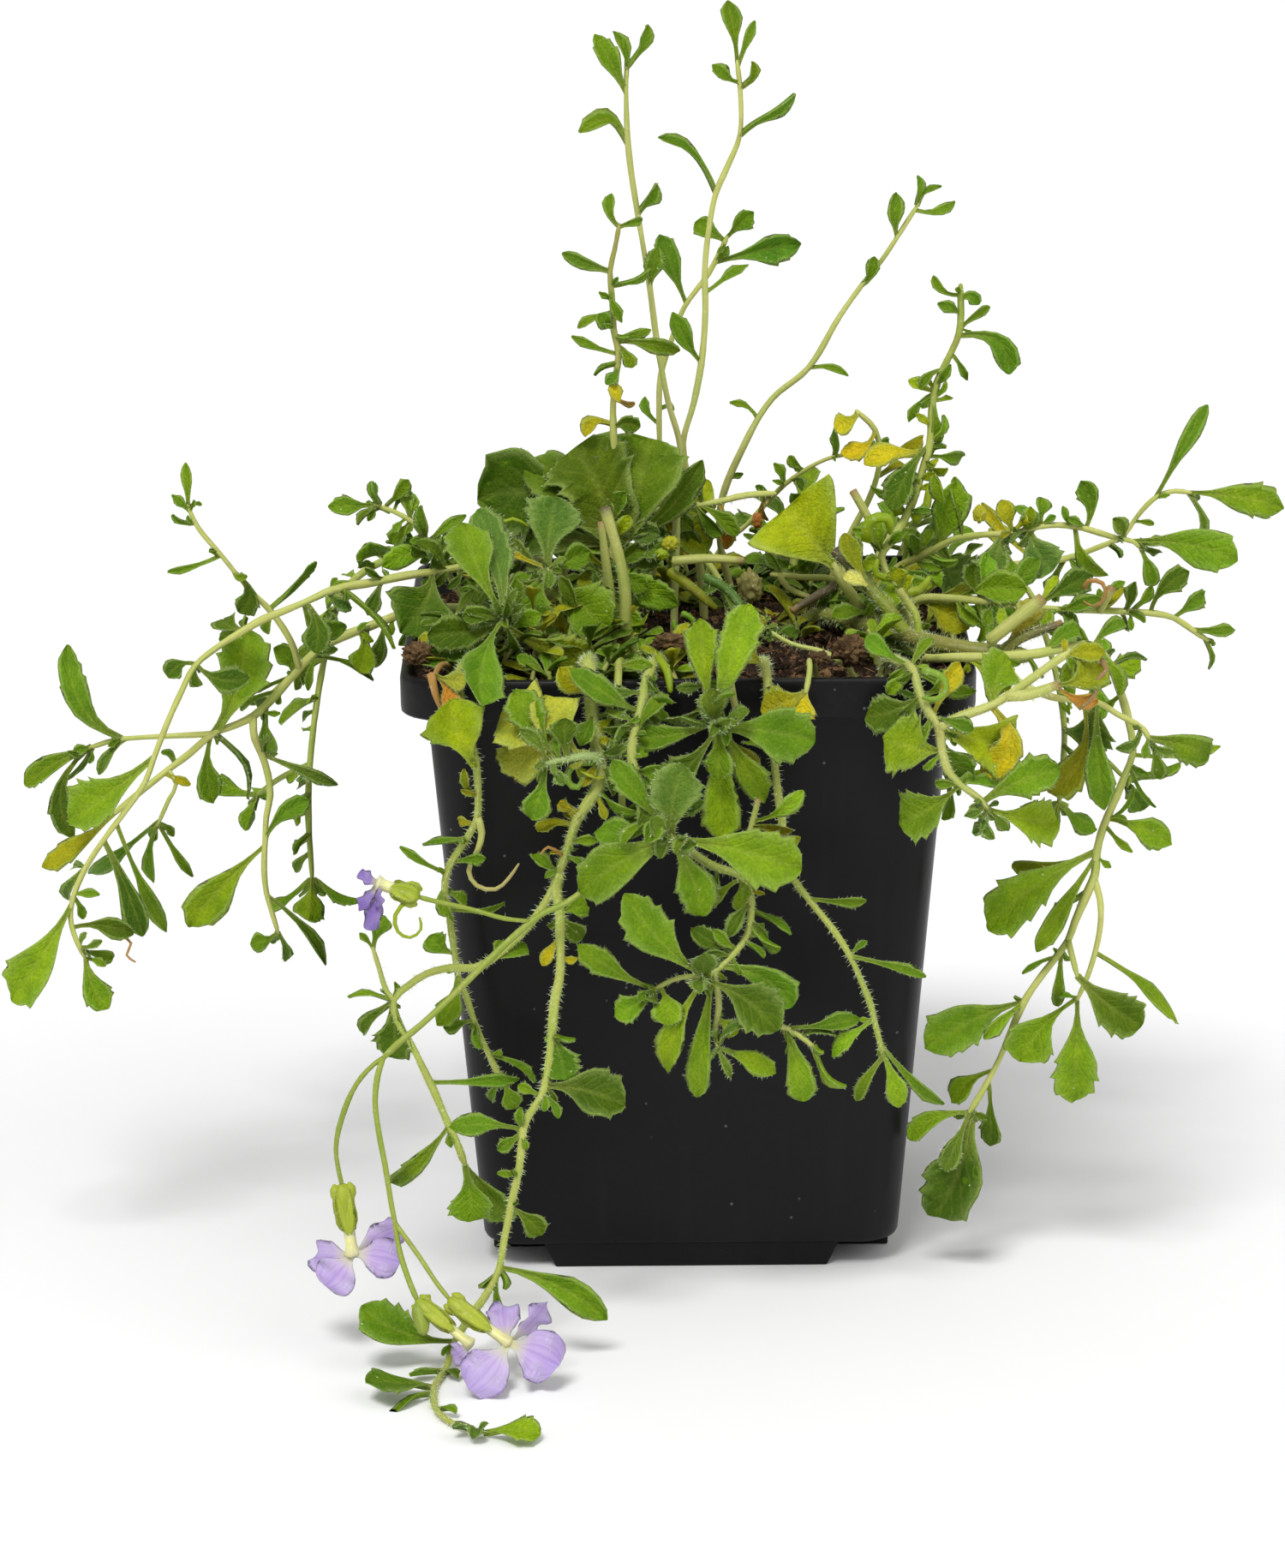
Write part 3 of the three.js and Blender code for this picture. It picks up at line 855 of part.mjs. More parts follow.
function placeBuds({ pedicel, bud, radius, sepalTip }) {
  const stalkEnd = lineOf.get(pedicel).at(-1);
  const centre = sighted(bud);
  const axis = centre.clone().sub(stalkEnd).normalize();
  const round = turnedSolid(stalkEnd, centre.clone().addScaledVector(axis, radius),
    [[0, 0.6], [0.3, radius * 0.9], [0.65, radius], [1, radius * 0.4]]);
  const facing = eye.clone().sub(centre).normalize();
  const sepal = bladeSolid(centre, sighted(sepalTip), 3, facing, 0.4, plainOutline);
  addToNode("flower_stalk", [round, sepal]);
}

const moundAt = (x, y) => soilHeight + soilRise * (1 - (x * x + y * y) / (2 * rimHalf * rimHalf));

// A block with an uneven top, a grid of cells over the whole pot
function moundSolid(draw) {
  const count = soilCells + 1;
  const top = [];
  const bottom = [];
  for (let j = 0; j < count; j++) {
    for (let i = 0; i < count; i++) {
      const x = rimHalf * ((2 * i) / soilCells - 1);
      const y = rimHalf * ((2 * j) / soilCells - 1);
      top.push(new THREE.Vector3(x, y, moundAt(x, y) - 1 + soilRoughness * (2 * draw() - 1)));
      bottom.push(new THREE.Vector3(x, y, -1));
    }
  }
  const faces = [];
  const base = count * count;
  for (let j = 0; j < soilCells; j++) {
    for (let i = 0; i < soilCells; i++) {
      const a = j * count + i;
      faces.push([a, a + 1, a + count + 1], [a, a + count + 1, a + count]);
      faces.push([base + a, base + a + count + 1, base + a + 1]);
      faces.push([base + a, base + a + count, base + a + count + 1]);
    }
  }
  const far = soilCells * count;
  for (let i = 0; i < soilCells; i++) {
    const edges = [
      [i, i + 1],
      [far + i + 1, far + i],
      [(i + 1) * count, i * count],
      [i * count + soilCells, (i + 1) * count + soilCells],
    ];
    for (const [a, b] of edges) {
      faces.push([a, base + a, base + b], [a, base + b, b]);
    }
  }
  return solidFrom([...top, ...bottom], faces);
}

function addClods(soil, draw) {
  const reach = rimHalf - clodMargin;
  let whole = soil;
  for (let i = 0; i < clodCount; i++) {
    const x = reach * (2 * draw() - 1);
    const y = reach * (2 * draw() - 1);
    const radius = clodRadius * (0.7 + 0.7 * draw());
    const turn = 6 * draw();
    const isClear = (hole) => Math.hypot(hole.x - x, hole.y - y) > hole.radius + radius + 2 * seat;
    if (stemHoles.every(isClear)) {
      const clod = new THREE.IcosahedronGeometry(radius, 0);
      clod.rotateX(turn);
      clod.translate(x, y, moundAt(x, y) - radius / 3);
      whole = whole.add(solidFromGeometry(clod));
    }
  }
  return whole;
}

function makeSoil() {
  const draw = makeDraw(soilSeed);
  const clear = potHeight + 4;
  let soil = addClods(moundSolid(draw), draw).intersect(potFilling(seat, clear));
  for (const { x, y, radius } of stemHoles) {
    const ringAt = (z) => [[1, 0], [0, 1], [-1, 0], [0, -1]].map(([alongX, alongY]) => (
      new THREE.Vector3(x + radius * alongX, y + radius * alongY, z)));
    soil = soil.subtract(skin([ringAt(soilHeight - rootDepth - seat), ringAt(clear)]));
  }
  addPiece("soil", soil, peatBrown, 0.95);
}

makePot();
sprays.forEach(placeSpray);
const drapeDraw = makeDraw(drapeSeed);
drapes.forEach((drape) => placeDrape(drape, drapeDraw));
const cushionDraw = makeDraw(cushionSeed);
cushions.forEach((cushion) => placeCushion(cushion, cushionDraw));
blooms.forEach(placeBloom);
placeBuds(budCluster);
makeSoil();

function colourOf(node) {
  if (node.startsWith("petals")) {
    return petalLilac;
  }
  if (node.includes("yellow")) {
    return leafYellow;
  }
  if (node.includes("dry")) {
    return dryBrown;
  }
  return node.startsWith("stem") ? stemGreen : leafGreen;
}

for (const [node, solids] of solidsOfNode) {
  addPiece(node, unionAll(solids), colourOf(node), 0.7);
}

export default potted;
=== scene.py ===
import json
import math
import bmesh
import bpy
import numpy as np
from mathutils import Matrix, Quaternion, Vector, noise

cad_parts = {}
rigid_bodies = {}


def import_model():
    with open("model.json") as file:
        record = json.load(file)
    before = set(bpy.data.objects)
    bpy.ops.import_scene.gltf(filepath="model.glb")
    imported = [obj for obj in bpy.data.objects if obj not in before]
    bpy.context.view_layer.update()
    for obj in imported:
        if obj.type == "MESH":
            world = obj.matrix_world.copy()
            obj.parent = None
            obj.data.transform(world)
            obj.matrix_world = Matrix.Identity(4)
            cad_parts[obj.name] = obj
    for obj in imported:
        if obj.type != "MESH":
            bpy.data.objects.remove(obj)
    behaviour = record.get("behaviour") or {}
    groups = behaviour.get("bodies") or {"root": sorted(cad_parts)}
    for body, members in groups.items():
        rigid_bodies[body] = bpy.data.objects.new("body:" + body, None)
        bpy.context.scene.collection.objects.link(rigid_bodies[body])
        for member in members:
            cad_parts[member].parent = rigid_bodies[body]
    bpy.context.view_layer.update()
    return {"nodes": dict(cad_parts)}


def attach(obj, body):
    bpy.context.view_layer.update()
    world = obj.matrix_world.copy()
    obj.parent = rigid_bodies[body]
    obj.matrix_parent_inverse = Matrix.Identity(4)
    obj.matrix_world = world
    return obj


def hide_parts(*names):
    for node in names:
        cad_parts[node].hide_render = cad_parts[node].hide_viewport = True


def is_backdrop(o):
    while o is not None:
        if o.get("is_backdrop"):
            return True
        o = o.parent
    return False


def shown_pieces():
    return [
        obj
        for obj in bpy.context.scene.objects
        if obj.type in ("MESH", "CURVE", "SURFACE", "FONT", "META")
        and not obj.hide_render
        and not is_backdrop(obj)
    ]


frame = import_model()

# Potted aubrieta. Lengths are millimetres here and metres in the meshes.
mm = 0.001

# Where the photograph was taken from. Routes and leaf tips are sighted from this eye.
view = {"eye": (-7.26, -968.41, 321.27), "target": (-7.26, 0, 71.9), "roll": -0.46, "focalPixels": 7158,
        "imageHeight": 1830, "sensor": 36}
eye = np.array(view["eye"])


def foot(x, y):
    return {"foot": (x, y)}


def branch(parent, at):
    return {"parent": parent, "at": at}


def spray(name, node, start, radii, route, leaves, lies=False):
    return {"name": name, "node": node, "start": start, "radii": radii, "route": route, "leaves": leaves,
            "lies": lies}


def laid(*parts):
    return spray(*parts, lies=True)


# A spray: its name, its node, where it starts, its radii, its route (sighted x and z, and the depth y),
# and its leaves: place on the route, sighted tip x and z, tip's depth past the root, width, turn about
# its length, sideways bow, and tone. A small leaf may leave its turn and bow to a draw. A laid spray has
# real x and y, and its leaves' tips real x, y, z.
sprays = [
    spray("upright_left", "stem_upright_left", foot(-2, -4), (0.8, 0.45),
     [(-1.5, 112, -3), (-1.2, 122, -2), (-0.8, 128, -2), (-2.6, 135, -3), (-4.4, 145, -4), (-5.4, 153.5, -4),
      (-6.4, 160, -5), (-7.3, 165.5, -5), (-8.7, 176.5, -6), (-9, 185, -7), (-8.9, 189, -7)],
     [(9, -13.7, 194.3, -1, 3.6, 10, 0), (9.6, -9.9, 195, 1, 2.2), (9.9, -5, 195.6, 0, 3.4, 62, 0),
      (8.05, -15, 180.5, -2, 3.2, 55, -2.5), (7, -3.8, 170.3, 0, 3, 45, 0.5), (5, -4, 159.8, -2, 3.2, 10, 0.4)]),
    spray("crown_stem", "crown_left", foot(-16, -5), (1.4, 0.9),
     [(-14, 102, -8), (-12, 109, -8), (-11.5, 117, -8)],
     [(1.2, -5.8, 129.2, 1, 11.5, 5, -0.6, "g"), (1.3, 2.8, 125.8, 2, 5, 20, -1.6, "d"),
      (1.9, -33.6, 119.8, 1, 13, 8, -2.2, "d"), (1.2, -17.4, 127.6, -2, 12.5, 6, -1.2, "g"),
      (1.8, -11, 127.6, 5, 8, 15, 0, "d"), (1.4, -32, 114.6, 4, 8, 10, 0.6, "d"),
      (1.6, -26, 124.8, -1, 9.6, 10, -1, "g"), (0.7, -1.2, 101.6, -2, 5.4, 10, 0.5, "l"),
      (1, -5.6, 104.4, -3, 4, 15, -0.4), (1.6, -4, 113.4, -1, 4.8, 15, 0.4, "w"),
      (1.2, -1.4, 111, -1, 3.8, 15, 0.4, "w"), (0.4, -7.4, 97.4, -2, 4, 15, 0.2),
      (0.6, -17.2, 106.6, 1, 4.6, 15, 0.6, "o"), (0.4, -16.8, 101.4, 1, 4.4, 15, 0.4, "d"),
      (1.3, -20.6, 113.6, 3, 5.6, 10, 0.5, "d"), (1.5, -9.4, 120.6, -2, 3.4)]),
    spray("upright_curly", "crown_left", branch("crown_stem", 2), (0.8, 0.5),
     [(-11.5, 124, -8), (-11.5, 130, -9), (-11.5, 135, -9), (-10.9, 140, -9), (-10.5, 143, -9), (-11.3, 147, -9),
      (-11.4, 150, -9), (-11.6, 153, -9), (-11.8, 156.5, -9), (-11, 160, -9), (-10.2, 164, -9)],
     [(9.9, -11.7, 168.7, 0, 2.2), (9.9, -6.5, 164.5, 0, 1.5), (8, -19.3, 159.2, -1, 2.4), (7.3, -5, 156, 1, 1.8),
      (6.5, -13.6, 152.8, -1.5, 1.4), (6, -17.5, 148, 1, 1.8), (7.2, -9.8, 148.5, -2, 2),
      (5.2, -13.2, 149.3, -2, 3.2, 0, 0.4), (4.7, -5.3, 147, 0, 2), (4.5, -1.3, 142.5, -2, 3, 20, 1.2),
      (4.3, -8.5, 140.8, -1.5, 2.6), (4, -18.2, 146, 1, 1.8), (3.6, -14.8, 140.3, -1, 1.6),
      (3.4, -12.7, 138.4, -2, 2.5), (3, -10.3, 135.3, -3, 2.6, "y"), (2.2, -7.9, 134.8, 1, 1.5, "b"),
      (1.3, -16, 129.7, -2, 2.8, 30, -1.5, "y"), (1.2, -7.2, 131, -2, 3.4, 20, 0.8, "d")]),
    spray("upright_tall", "stem_upright_tall", foot(3, 9), (0.8, 0.45),
     [(0.5, 122, 7), (-0.3, 128.5, 6), (1.5, 135, 6), (2.7, 141.5, 6), (3.4, 150, 6), (3.4, 157, 6), (4.3, 165, 6),
      (5.2, 169, 6), (7, 173, 6), (9, 178, 5), (9.1, 185, 5), (8.6, 190, 5)],
     [(3, -1.5, 149.5, -2, 3.5, 10, 0.6), (4.4, 10, 158, 1, 2.4), (7, -3.2, 178.7, 1, 2.8, 55, -1.2),
      (9, 18.7, 183.2, 0, 2.8, 50, 2), (10.3, 4.9, 189.5, -2, 3.2, 25, 0.8), (10.9, 7.3, 199.5, 0, 3.8, 15, 0),
      (10.8, 11.4, 196.4, 1, 1.8), (10.1, 11.3, 189.5, -2, 2.2)]),
    spray("upright_leaning", "stem_upright_leaning", foot(-6, 13), (0.8, 0.45),
     [(-4, 118, 12), (-4.1, 128, 12), (-4.1, 134, 12), (-3.8, 139.5, 12), (-1.8, 146, 12), (0, 150.5, 12),
      (4, 156, 12), (6.3, 160.5, 12), (7, 162, 12)],
     [(5.1, -3.6, 162.5, 3, 4, 10, 0.3), (6.4, 18.7, 160.8, 2, 5, 15, 0.5), (7.4, 1.7, 164, 1, 3.8, 20, 0),
      (7.9, 11.2, 166, -1, 3.4, 20, 0.2), (2, -1.5, 134.2, 1, 1.6), (1.6, -7, 136, 2, 1.8)]),
    spray("upright_arching", "stem_arching", foot(8, 12), (0.75, 0.45),
     [(5.5, 113, 9), (6, 119.5, 7), (9, 127, 5), (14, 135.5, 4), (19.8, 140.5, 3), (25, 149, 2), (28.5, 154, 2),
      (31.3, 157.5, 1), (34, 161.5, 0), (37.5, 167, 0)],
     [(2.6, 7.3, 135.3, 1, 1.5), (4, 26.3, 139.7, -1, 1.5), (6, 30.3, 158.4, -2, 2.6),
      (8, 34.3, 168.5, -1, 3, 20, 0.7), (8.9, 37.8, 171.4, 0, 2.2), (8.9, 40.4, 170, -1, 1.4),
      (8.8, 43.4, 167.4, 1, 2), (1.4, 9.4, 123.2, 0, 1.3)]),
    spray("upright_right", "stem_curly_right", foot(36, -13), (1, 0.6),
     [(36.5, 99.5, -13), (33.2, 106, -12), (31.6, 109.3, -11), (33.5, 112.5, -10), (36, 117, -8), (38, 123, -7),
      (39.4, 128, -6), (39.8, 135, -5), (40.5, 138, -5), (42.3, 142, -5), (44, 146, -5), (44.2, 153.8, -5)],
     [(10.8, 39.7, 154.9, 0, 1.6), (10.7, 47, 150.5, -1, 2.5), (10.4, 41.2, 150.7, -2, 2.4),
      (10.1, 49.3, 150, 1, 1.8), (9.9, 52, 139.3, 0, 4, 20, 3.5), (9.2, 45.2, 138.2, -1, 1.4),
      (8.5, 37.8, 137.2, -2, 1.9), (7.4, 36, 131.5, -1, 2), (7.3, 41.4, 127, -1, 2),
      (6, 33.2, 116.9, -4, 5.4, 10, -0.7, "d"), (5.4, 41, 118, -4, 3.2, 20, 0.7, "l"),
      (5.6, 45.3, 125.3, 2, 2.8, 20, 0.4), (4.4, 29.5, 120.2, 1, 1.8), (2.6, 34.8, 113.2, -3, 2.2),
      (2.2, 27, 114.2, 2, 2.6), (2.3, 31, 116, -2, 2.8, 10, 0.5, "l"), (1.6, 28.8, 107.5, -3, 2.8, 10, -1, "l"),
      (1, 33.2, 101.6, -6, 4.2, 0, 0, "l"), (0.8, 38.5, 104.4, -5, 3, 10, 0.5, "l"), (1.3, 39.6, 105.4, 1, 2),
      (5.6, 28.8, 124.6, 1, 4.4, 30, -1.2, "y")]),
    spray("yellow_leaf_right", "yellow_leaf_right", foot(22, 6), (0.7, 0.5),
     [(26, 112, 5), (30, 120, 4), (31.3, 125.5, 3), (30.6, 130.3, 2), (27.5, 133.5, 1)],
     [(3, 25, 126.7, -3, 3.6, 15, 1.5, "y"), (3.9, 23.9, 131, -2, 4, 30, 0.8, "y"), (1.8, 38.4, 129.2, 3, 3.2, "y"),
      (1.5, 35.5, 124.7, 4, 2.6, "o")]),
    spray("low_twig", "stem_low_twig", foot(2, 18), (0.6, 0.4),
     [(6, 111.5, 17), (10, 115, 16), (13.5, 119, 15), (16, 121.5, 14), (20, 124.3, 13), (24, 126, 12),
      (30, 126.5, 12)],
     [(3, 14.6, 125, -1, 2.2), (3.8, 16.6, 126.2, 1, 2), (5, 23.6, 130.6, -1, 2.6), (3.3, 18.6, 121, -3, 2.3, "d"),
      (2.1, 11.5, 121.3, -1, 1.4), (5.8, 33, 128.5, 1, 2.4)]),
    spray("hairy_twig", "stem_hairy_twig", foot(-12, 7), (0.75, 0.6),
     [(-11, 112, 6), (-7.5, 116.6, 4), (0, 118, 3), (5, 118.7, 3), (10, 119.8, 3), (14.5, 120, 3)],
     [(0.6, -5.4, 124.5, 3, 6, 15, -0.4, "o"), (0.9, 3.9, 122.2, 0, 7.6, 8, -0.6, "c"),
      (1.45, 4.7, 113, -1, 7, 10, -1.2, "c"), (3.1, 6.6, 110.8, -1, 3.2, "b"), (4.8, 13.2, 115.3, 1, 1.6, "b")]),
    spray("rosette_left", "rosette_left", foot(-21, -15), (1, 0.7),
     [(-21.5, 100, -19), (-22.3, 108, -22)],
     [(1, -20.8, 119.8, 3, 8.8, 0, 0.4, "w"), (0.9, -18.2, 101.8, -5, 4, 20, 1.2, "d"),
      (0.9, -24.8, 98.2, -5, 6.8, 0, -1.2), (0.6, -12.8, 97.6, -7, 9.6, 5, 0.8), (0.9, -15.4, 110.8, 2, 5, 15, 0.3),
      (1, -31.4, 112.2, 1, 1.8, "y"), (0.95, -28.4, 113.4, 2, 3, "w"), (1, -22.4, 105.2, -3, 2.8, "w"),
      (0.9, -28.2, 103, -1, 4, 15, 0.5, "d"), (0.5, -20, 96.2, -4, 3.2, "y")]),
    spray("rosette_rim", "rosette_rim", foot(-27, -20), (1.1, 0.8),
     [(-29, 97, -27), (-29.5, 99.6, -34)],
     [(1, -36.2, 116, 11, 7.4, 5, 0.6), (1, -33.7, 82.4, -23, 8, 0, -1.6),
      (0.8, -33.6, 117.8, 14, 6.4, 15, -0.8, "w"), (0.7, -42.2, 96.9, -5, 6, 12, 0.6, "d"),
      (0.3, -43.5, 93.4, -8, 5.6, 15, 0.8, "d"), (0.6, -14.4, 93, 3, 6.4, 8, -1, "o"), (0.85, -27.4, 106, -2, 3.4)]),
    spray("left_cluster", "left_cluster", foot(-32, -4), (0.9, 0.45),
     [(-37, 105, -6), (-40.5, 110.5, -7), (-42, 113, -7), (-44.3, 116, -7), (-47, 117.6, -7), (-50.2, 118.8, -7)],
     [(4.9, -57.6, 118.4, -1, 3.4), (4.9, -50, 122.4, 1, 2.2), (3, -47.7, 112.7, -1, 3.2), (3, -43.7, 112, 2, 1.4),
      (1.9, -43.2, 117.6, -3, 3), (1.8, -35.8, 117, -1, 2.2), (1.4, -44, 111.2, -3, 2.4),
      (1, -48.9, 108.6, -3, 4, 10, -0.8, "l"), (0.9, -36.8, 116, 1, 2), (0.7, -34.5, 112.8, 2, 3.4)]),
    spray("left_upper", "trail_left_upper", foot(-17, 3), (1, 0.45),
     [(-24, 109.5, 0), (-32, 109, -5), (-40, 107.7, -10), (-45, 107, -11), (-50, 106, -12), (-57, 104.8, -14),
      (-61.5, 102.8, -15), (-65, 101.3, -16), (-68.5, 99.9, -17), (-72.5, 97.6, -18), (-76, 95.4, -19),
      (-79.8, 92.2, -20), (-82, 88, -21), (-84.7, 82.2, -22), (-87, 76.5, -23), (-88.3, 73, -24), (-91.5, 68.3, -24),
      (-95, 63.7, -25), (-98.5, 58.5, -26), (-100.5, 54, -27), (-101.2, 50, -27), (-100.3, 46, -28),
      (-98.8, 42.8, -28)],
     # the first three leaves fill the shaded gap at the crown's left; their dark tone is partly their own and partly
     # painted shade
     [(0.3, -30.8, 102.6, -2, 5.2, 10, 0.4, "d"), (0.15, -25, 102.6, -3, 5, 10, -0.4, "d"),
      (0.2, -28.8, 117.4, -2, 5.8, 12, 0.5, "d"), (0.5, -25.8, 127.5, 1, 1.4),
      (2.2, -46.4, 97.6, -7, 10.5, 5, 1.4, "d"), (4.8, -46.4, 95.6, -3, 2), (5, -56.3, 106.6, 0, 1),
      (5.2, -54.2, 102, 2, 2.6, "w"), (6, -60.3, 94.3, -3, 5, 5, 1.2, "d"), (6.1, -54.8, 98.5, 2, 4.6, 15, -2.4),
      (8.6, -75.9, 96.6, 2, 2.2), (8.8, -75.2, 100.6, 4, 4.6, 20, 0.8, "d"), (10.9, -71, 90.3, -3, 5, 5, -1.4, "d"),
      (10.9, -84.2, 90.4, -1, 3.8, 10, -1, "d"), (11, -79.4, 88.4, 2, 2.2), (13.9, -101.2, 66.6, 2, 7.4, 0, 0.4, "l"),
      (17.1, -89.4, 46.8, -2, 4, 10, 0.6, "d"), (16.5, -85.1, 46.6, 2, 3), (18, -103, 52.6, 3, 2.4, "w"),
      (19, -96.4, 54, -2, 1.8), (19.1, -99.3, 49.8, 1, 1.8), (19.4, -111.6, 35.8, -2, 7.4, 0, 0.4, "l"),
      (20.4, -91.1, 47, -2, 3.6, 5, 1, "d"), (21.3, -96.3, 46.2, -1, 1.6, "w"), (21.5, -94.3, 42.9, 2, 2.6),
      (21.9, -95.4, 34.4, -2, 4.8, 0, -0.8)]),
    spray("left_lower", "trail_left_lower", foot(-25, 5), (1.1, 0.6),
     [(-31, 101, 1), (-38, 101.5, -1), (-44, 101.2, -2), (-51, 98.8, -4), (-56, 96.8, -5), (-60, 94.5, -6),
      (-63.5, 91, -7), (-68, 86, -9), (-70.5, 83.8, -10), (-73, 82.5, -11), (-77, 80.9, -12), (-81, 77.6, -13),
      (-84.5, 75, -14), (-88.5, 71.8, -15), (-91.5, 69.3, -15), (-93.5, 67.6, -15)],
     [(3.4, -53.4, 91, -2, 4.8, 10, 1.2, "l"), (3.1, -52, 92, 2, 3.4), (5.2, -57, 95, -2, 2.2, "d"),
      (5.2, -50.3, 90.3, 1, 1.8), (4.8, -61.4, 88, -2, 1.6), (5.9, -61.2, 89.6, 2, 2.4),
      (6.1, -66.8, 95, -1, 3.6, 5, -1), (6.1, -71.4, 87.5, 2, 1.2), (6.6, -73.2, 84.4, 3, 1.4),
      (7.4, -66.2, 84.2, -1, 1.2), (10, -71.2, 98, 1, 8.6, 0, -1.4, "l"), (10.1, -77.2, 69.2, -1, 4.4, 5, -0.8),
      (9.9, -69.4, 71, 1, 1.8, "w"), (11.6, -85.3, 78.4, 1, 2.2, "d"), (14.9, -105.5, 58.6, -1, 4.4, 10, 0.6, "o"),
      (12.2, -81, 72.4, -1, 1.6, "y")]),
    spray("left_branch", "trail_left_lower", branch("left_lower", 10), (0.6, 0.45),
     [(-82, 80.7, -12), (-90, 80.3, -12), (-93, 80, -12), (-97.6, 78.6, -12)],
     [(1.6, -99.6, 95.7, -1, 4.4, 5, 3.4), (2.9, -108, 72.5, 1, 4.6, 5, -0.6), (1.4, -95.9, 74.2, -2, 2.2, "w"),
      (2.9, -100.2, 63.2, -2, 4.2, 10, -3.4, "d"), (2.9, -99.4, 78.4, -2, 2), (2.8, -101.4, 73.4, 3, 1.4)]),
    spray("left_thin", "trail_left_lower", branch("left_lower", 5.8), (0.6, 0.4),
     [(-64, 96, -10), (-67, 101, -11), (-70, 104.3, -12), (-73, 108, -13), (-75, 110.6, -14), (-78.7, 115.3, -15),
      (-80.3, 119, -15)],
     [(5.9, -80.4, 125.8, 0, 2), (5.7, -82.6, 120.6, -1, 1.8), (5.2, -82.8, 117.4, 1, 1.4), (4, -84.1, 107.9, 0, 1.4),
      (2.9, -72.4, 101.4, 2, 4, 15, 2.2, "d"), (3, -70.9, 107.2, -1, 1.8), (1.1, -60.2, 110, 1, 3.4),
      (1, -68.4, 97.4, 1, 2.2)]),
    spray("left_drop", "trail_left_lower", branch("left_lower", 12), (0.45, 0.35),
     [(-83.3, 72.5, -15), (-84.5, 70, -15), (-86.6, 65.5, -16)],
     [(1.8, -99.5, 55.4, 5, 3), (1.9, -84, 63.8, -1, 1.6, "d"), (1.9, -87.9, 55.5, -1, 2.5),
      (1.9, -80.9, 56.5, 1, 1.6)]),
    spray("left_hanging", "trail_left_lower", branch("left_lower", 8), (0.7, 0.45),
     [(-70.3, 80, -12), (-69.3, 77.5, -13), (-68.3, 74, -14), (-68, 70.5, -15), (-68.7, 67, -16), (-69, 63, -17),
      (-69.3, 58, -18), (-69, 54, -18), (-68, 50, -18), (-67.2, 47, -18)],
     [(1, -56.9, 72.2, -1, 2.4, "w"), (5, -61.8, 69.4, -1, 3.6, 5, 1.2), (5.2, -81.8, 48.2, 0, 6.4, 0, -0.6, "l"),
      (7.1, -58.2, 41.7, 1, 2.4, "d"), (8.9, -71.9, 45.4, -1, 3.6, 5, 0.5), (8.9, -65.8, 42, 1, 2.2, "w")]),
    spray("woody_stem", "stem_woody", foot(19, 0), (1.3, 1.45),
     [(21, 99.8, -2), (25, 99.4, -7), (30, 98, -14), (36, 96.2, -23), (41, 95, -31), (46, 94, -34), (51, 93.4, -35),
      (55.5, 92.8, -36)],
     [(6, 56.8, 102.2, 1, 4.4, 20, 0, "s"), (1.2, 31, 93.4, -13, 3.4, "o")]),
    spray("woody_diagonal", "stem_woody", branch("woody_stem", 3), (1.4, 1.1),
     [(33, 100.6, -20), (30, 104, -17), (27, 107.6, -15), (24.2, 110.6, -13)],
     [(1, 25.6, 113.5, 3, 3.8, 20, 0.6, "o"), (0.9, 26.2, 106.8, -1, 3.2, "s")]),
    spray("woody_pale_stub", "stem_woody", branch("woody_stem", 3.4), (0.75, 0.65),
     [(37.2, 100, -25), (35.8, 102, -24), (34.6, 104.2, -24)],
     [(1.9, 33.9, 107.6, -1, 3.6, 0, 0, "c"), (1.4, 36.8, 106.2, -1, 2.8, "c")]),
    spray("brown_stub", "stem_woody", branch("woody_stem", 6), (1, 0.9),
     [(54, 95.6, -36), (61, 98.2, -36)],
     []),
    spray("right_upper", "trail_right_upper", foot(30, 1), (0.9, 0.5),
     [(31, 104, 2), (34, 107.5, 0), (38, 109.5, -3), (43, 112.2, -6), (48, 113, -9), (53, 113.2, -11),
      (57, 114.2, -12), (60, 114.5, -12), (64, 114, -12), (69.5, 112.3, -12), (72.4, 111.6, -12), (73.6, 110.4, -12)],
     [(2.4, 43.6, 121.8, -3, 6, 0, -0.6, "l"), (3.4, 43.2, 122.6, 2, 3), (2, 46.5, 107, 4, 8.4, 15, -1, "d"),
      (1.6, 43.4, 116.4, 5, 5, 20, 0.6, "d"), (4.6, 48.2, 104.6, -4, 6, 0, 0.4, "w"), (5, 51.4, 118.8, 1, 3.4, "o"),
      (5.2, 55.9, 116.9, -2, 3.6, 10, -0.6), (6, 53, 117.6, 1, 1.8), (6.1, 57.8, 119, 1, 3),
      (5.6, 59.4, 106.8, -3, 6.8, 0, -0.6, "w"), (7.6, 61.1, 117.4, -1, 1.5), (8.1, 63.6, 121.8, 1, 3.6, 5, -1.2),
      (7.7, 66.7, 105.2, -2, 3.2, "l"), (9.9, 89.2, 108.4, -1, 6.8, 5, 1.2, "l"), (10.6, 77.2, 112.2, -1, 2.4, "w"),
      (10.7, 77, 109.6, 1, 1.8, "d"), (10.9, 75.6, 104.2, -1, 3), (9.4, 69.3, 115.2, -2, 3, "w")]),
    spray("right_high", "trail_right_high", foot(28, 9), (0.8, 0.45),
     [(33, 104, 9), (42, 107, 8), (52, 108, 6), (60, 108.6, 4), (66.5, 110.7, 2), (71, 113, 1), (72.3, 115, 1),
      (74.5, 117.7, 0), (76.5, 119.3, 0), (79, 119.9, 0), (81.5, 119.6, -1)],
     [(7.7, 83.5, 134.2, 1, 3), (9.9, 96.6, 116.7, -2, 5.6, 5, 0.8, "l"), (9.8, 84.2, 110.9, -1, 2.4, "w"),
      (1.2, 39, 114.8, 3, 4.6, 10, 0.6, "d"), (2.1, 50.4, 115, 3, 4, 15, 0.5, "o"),
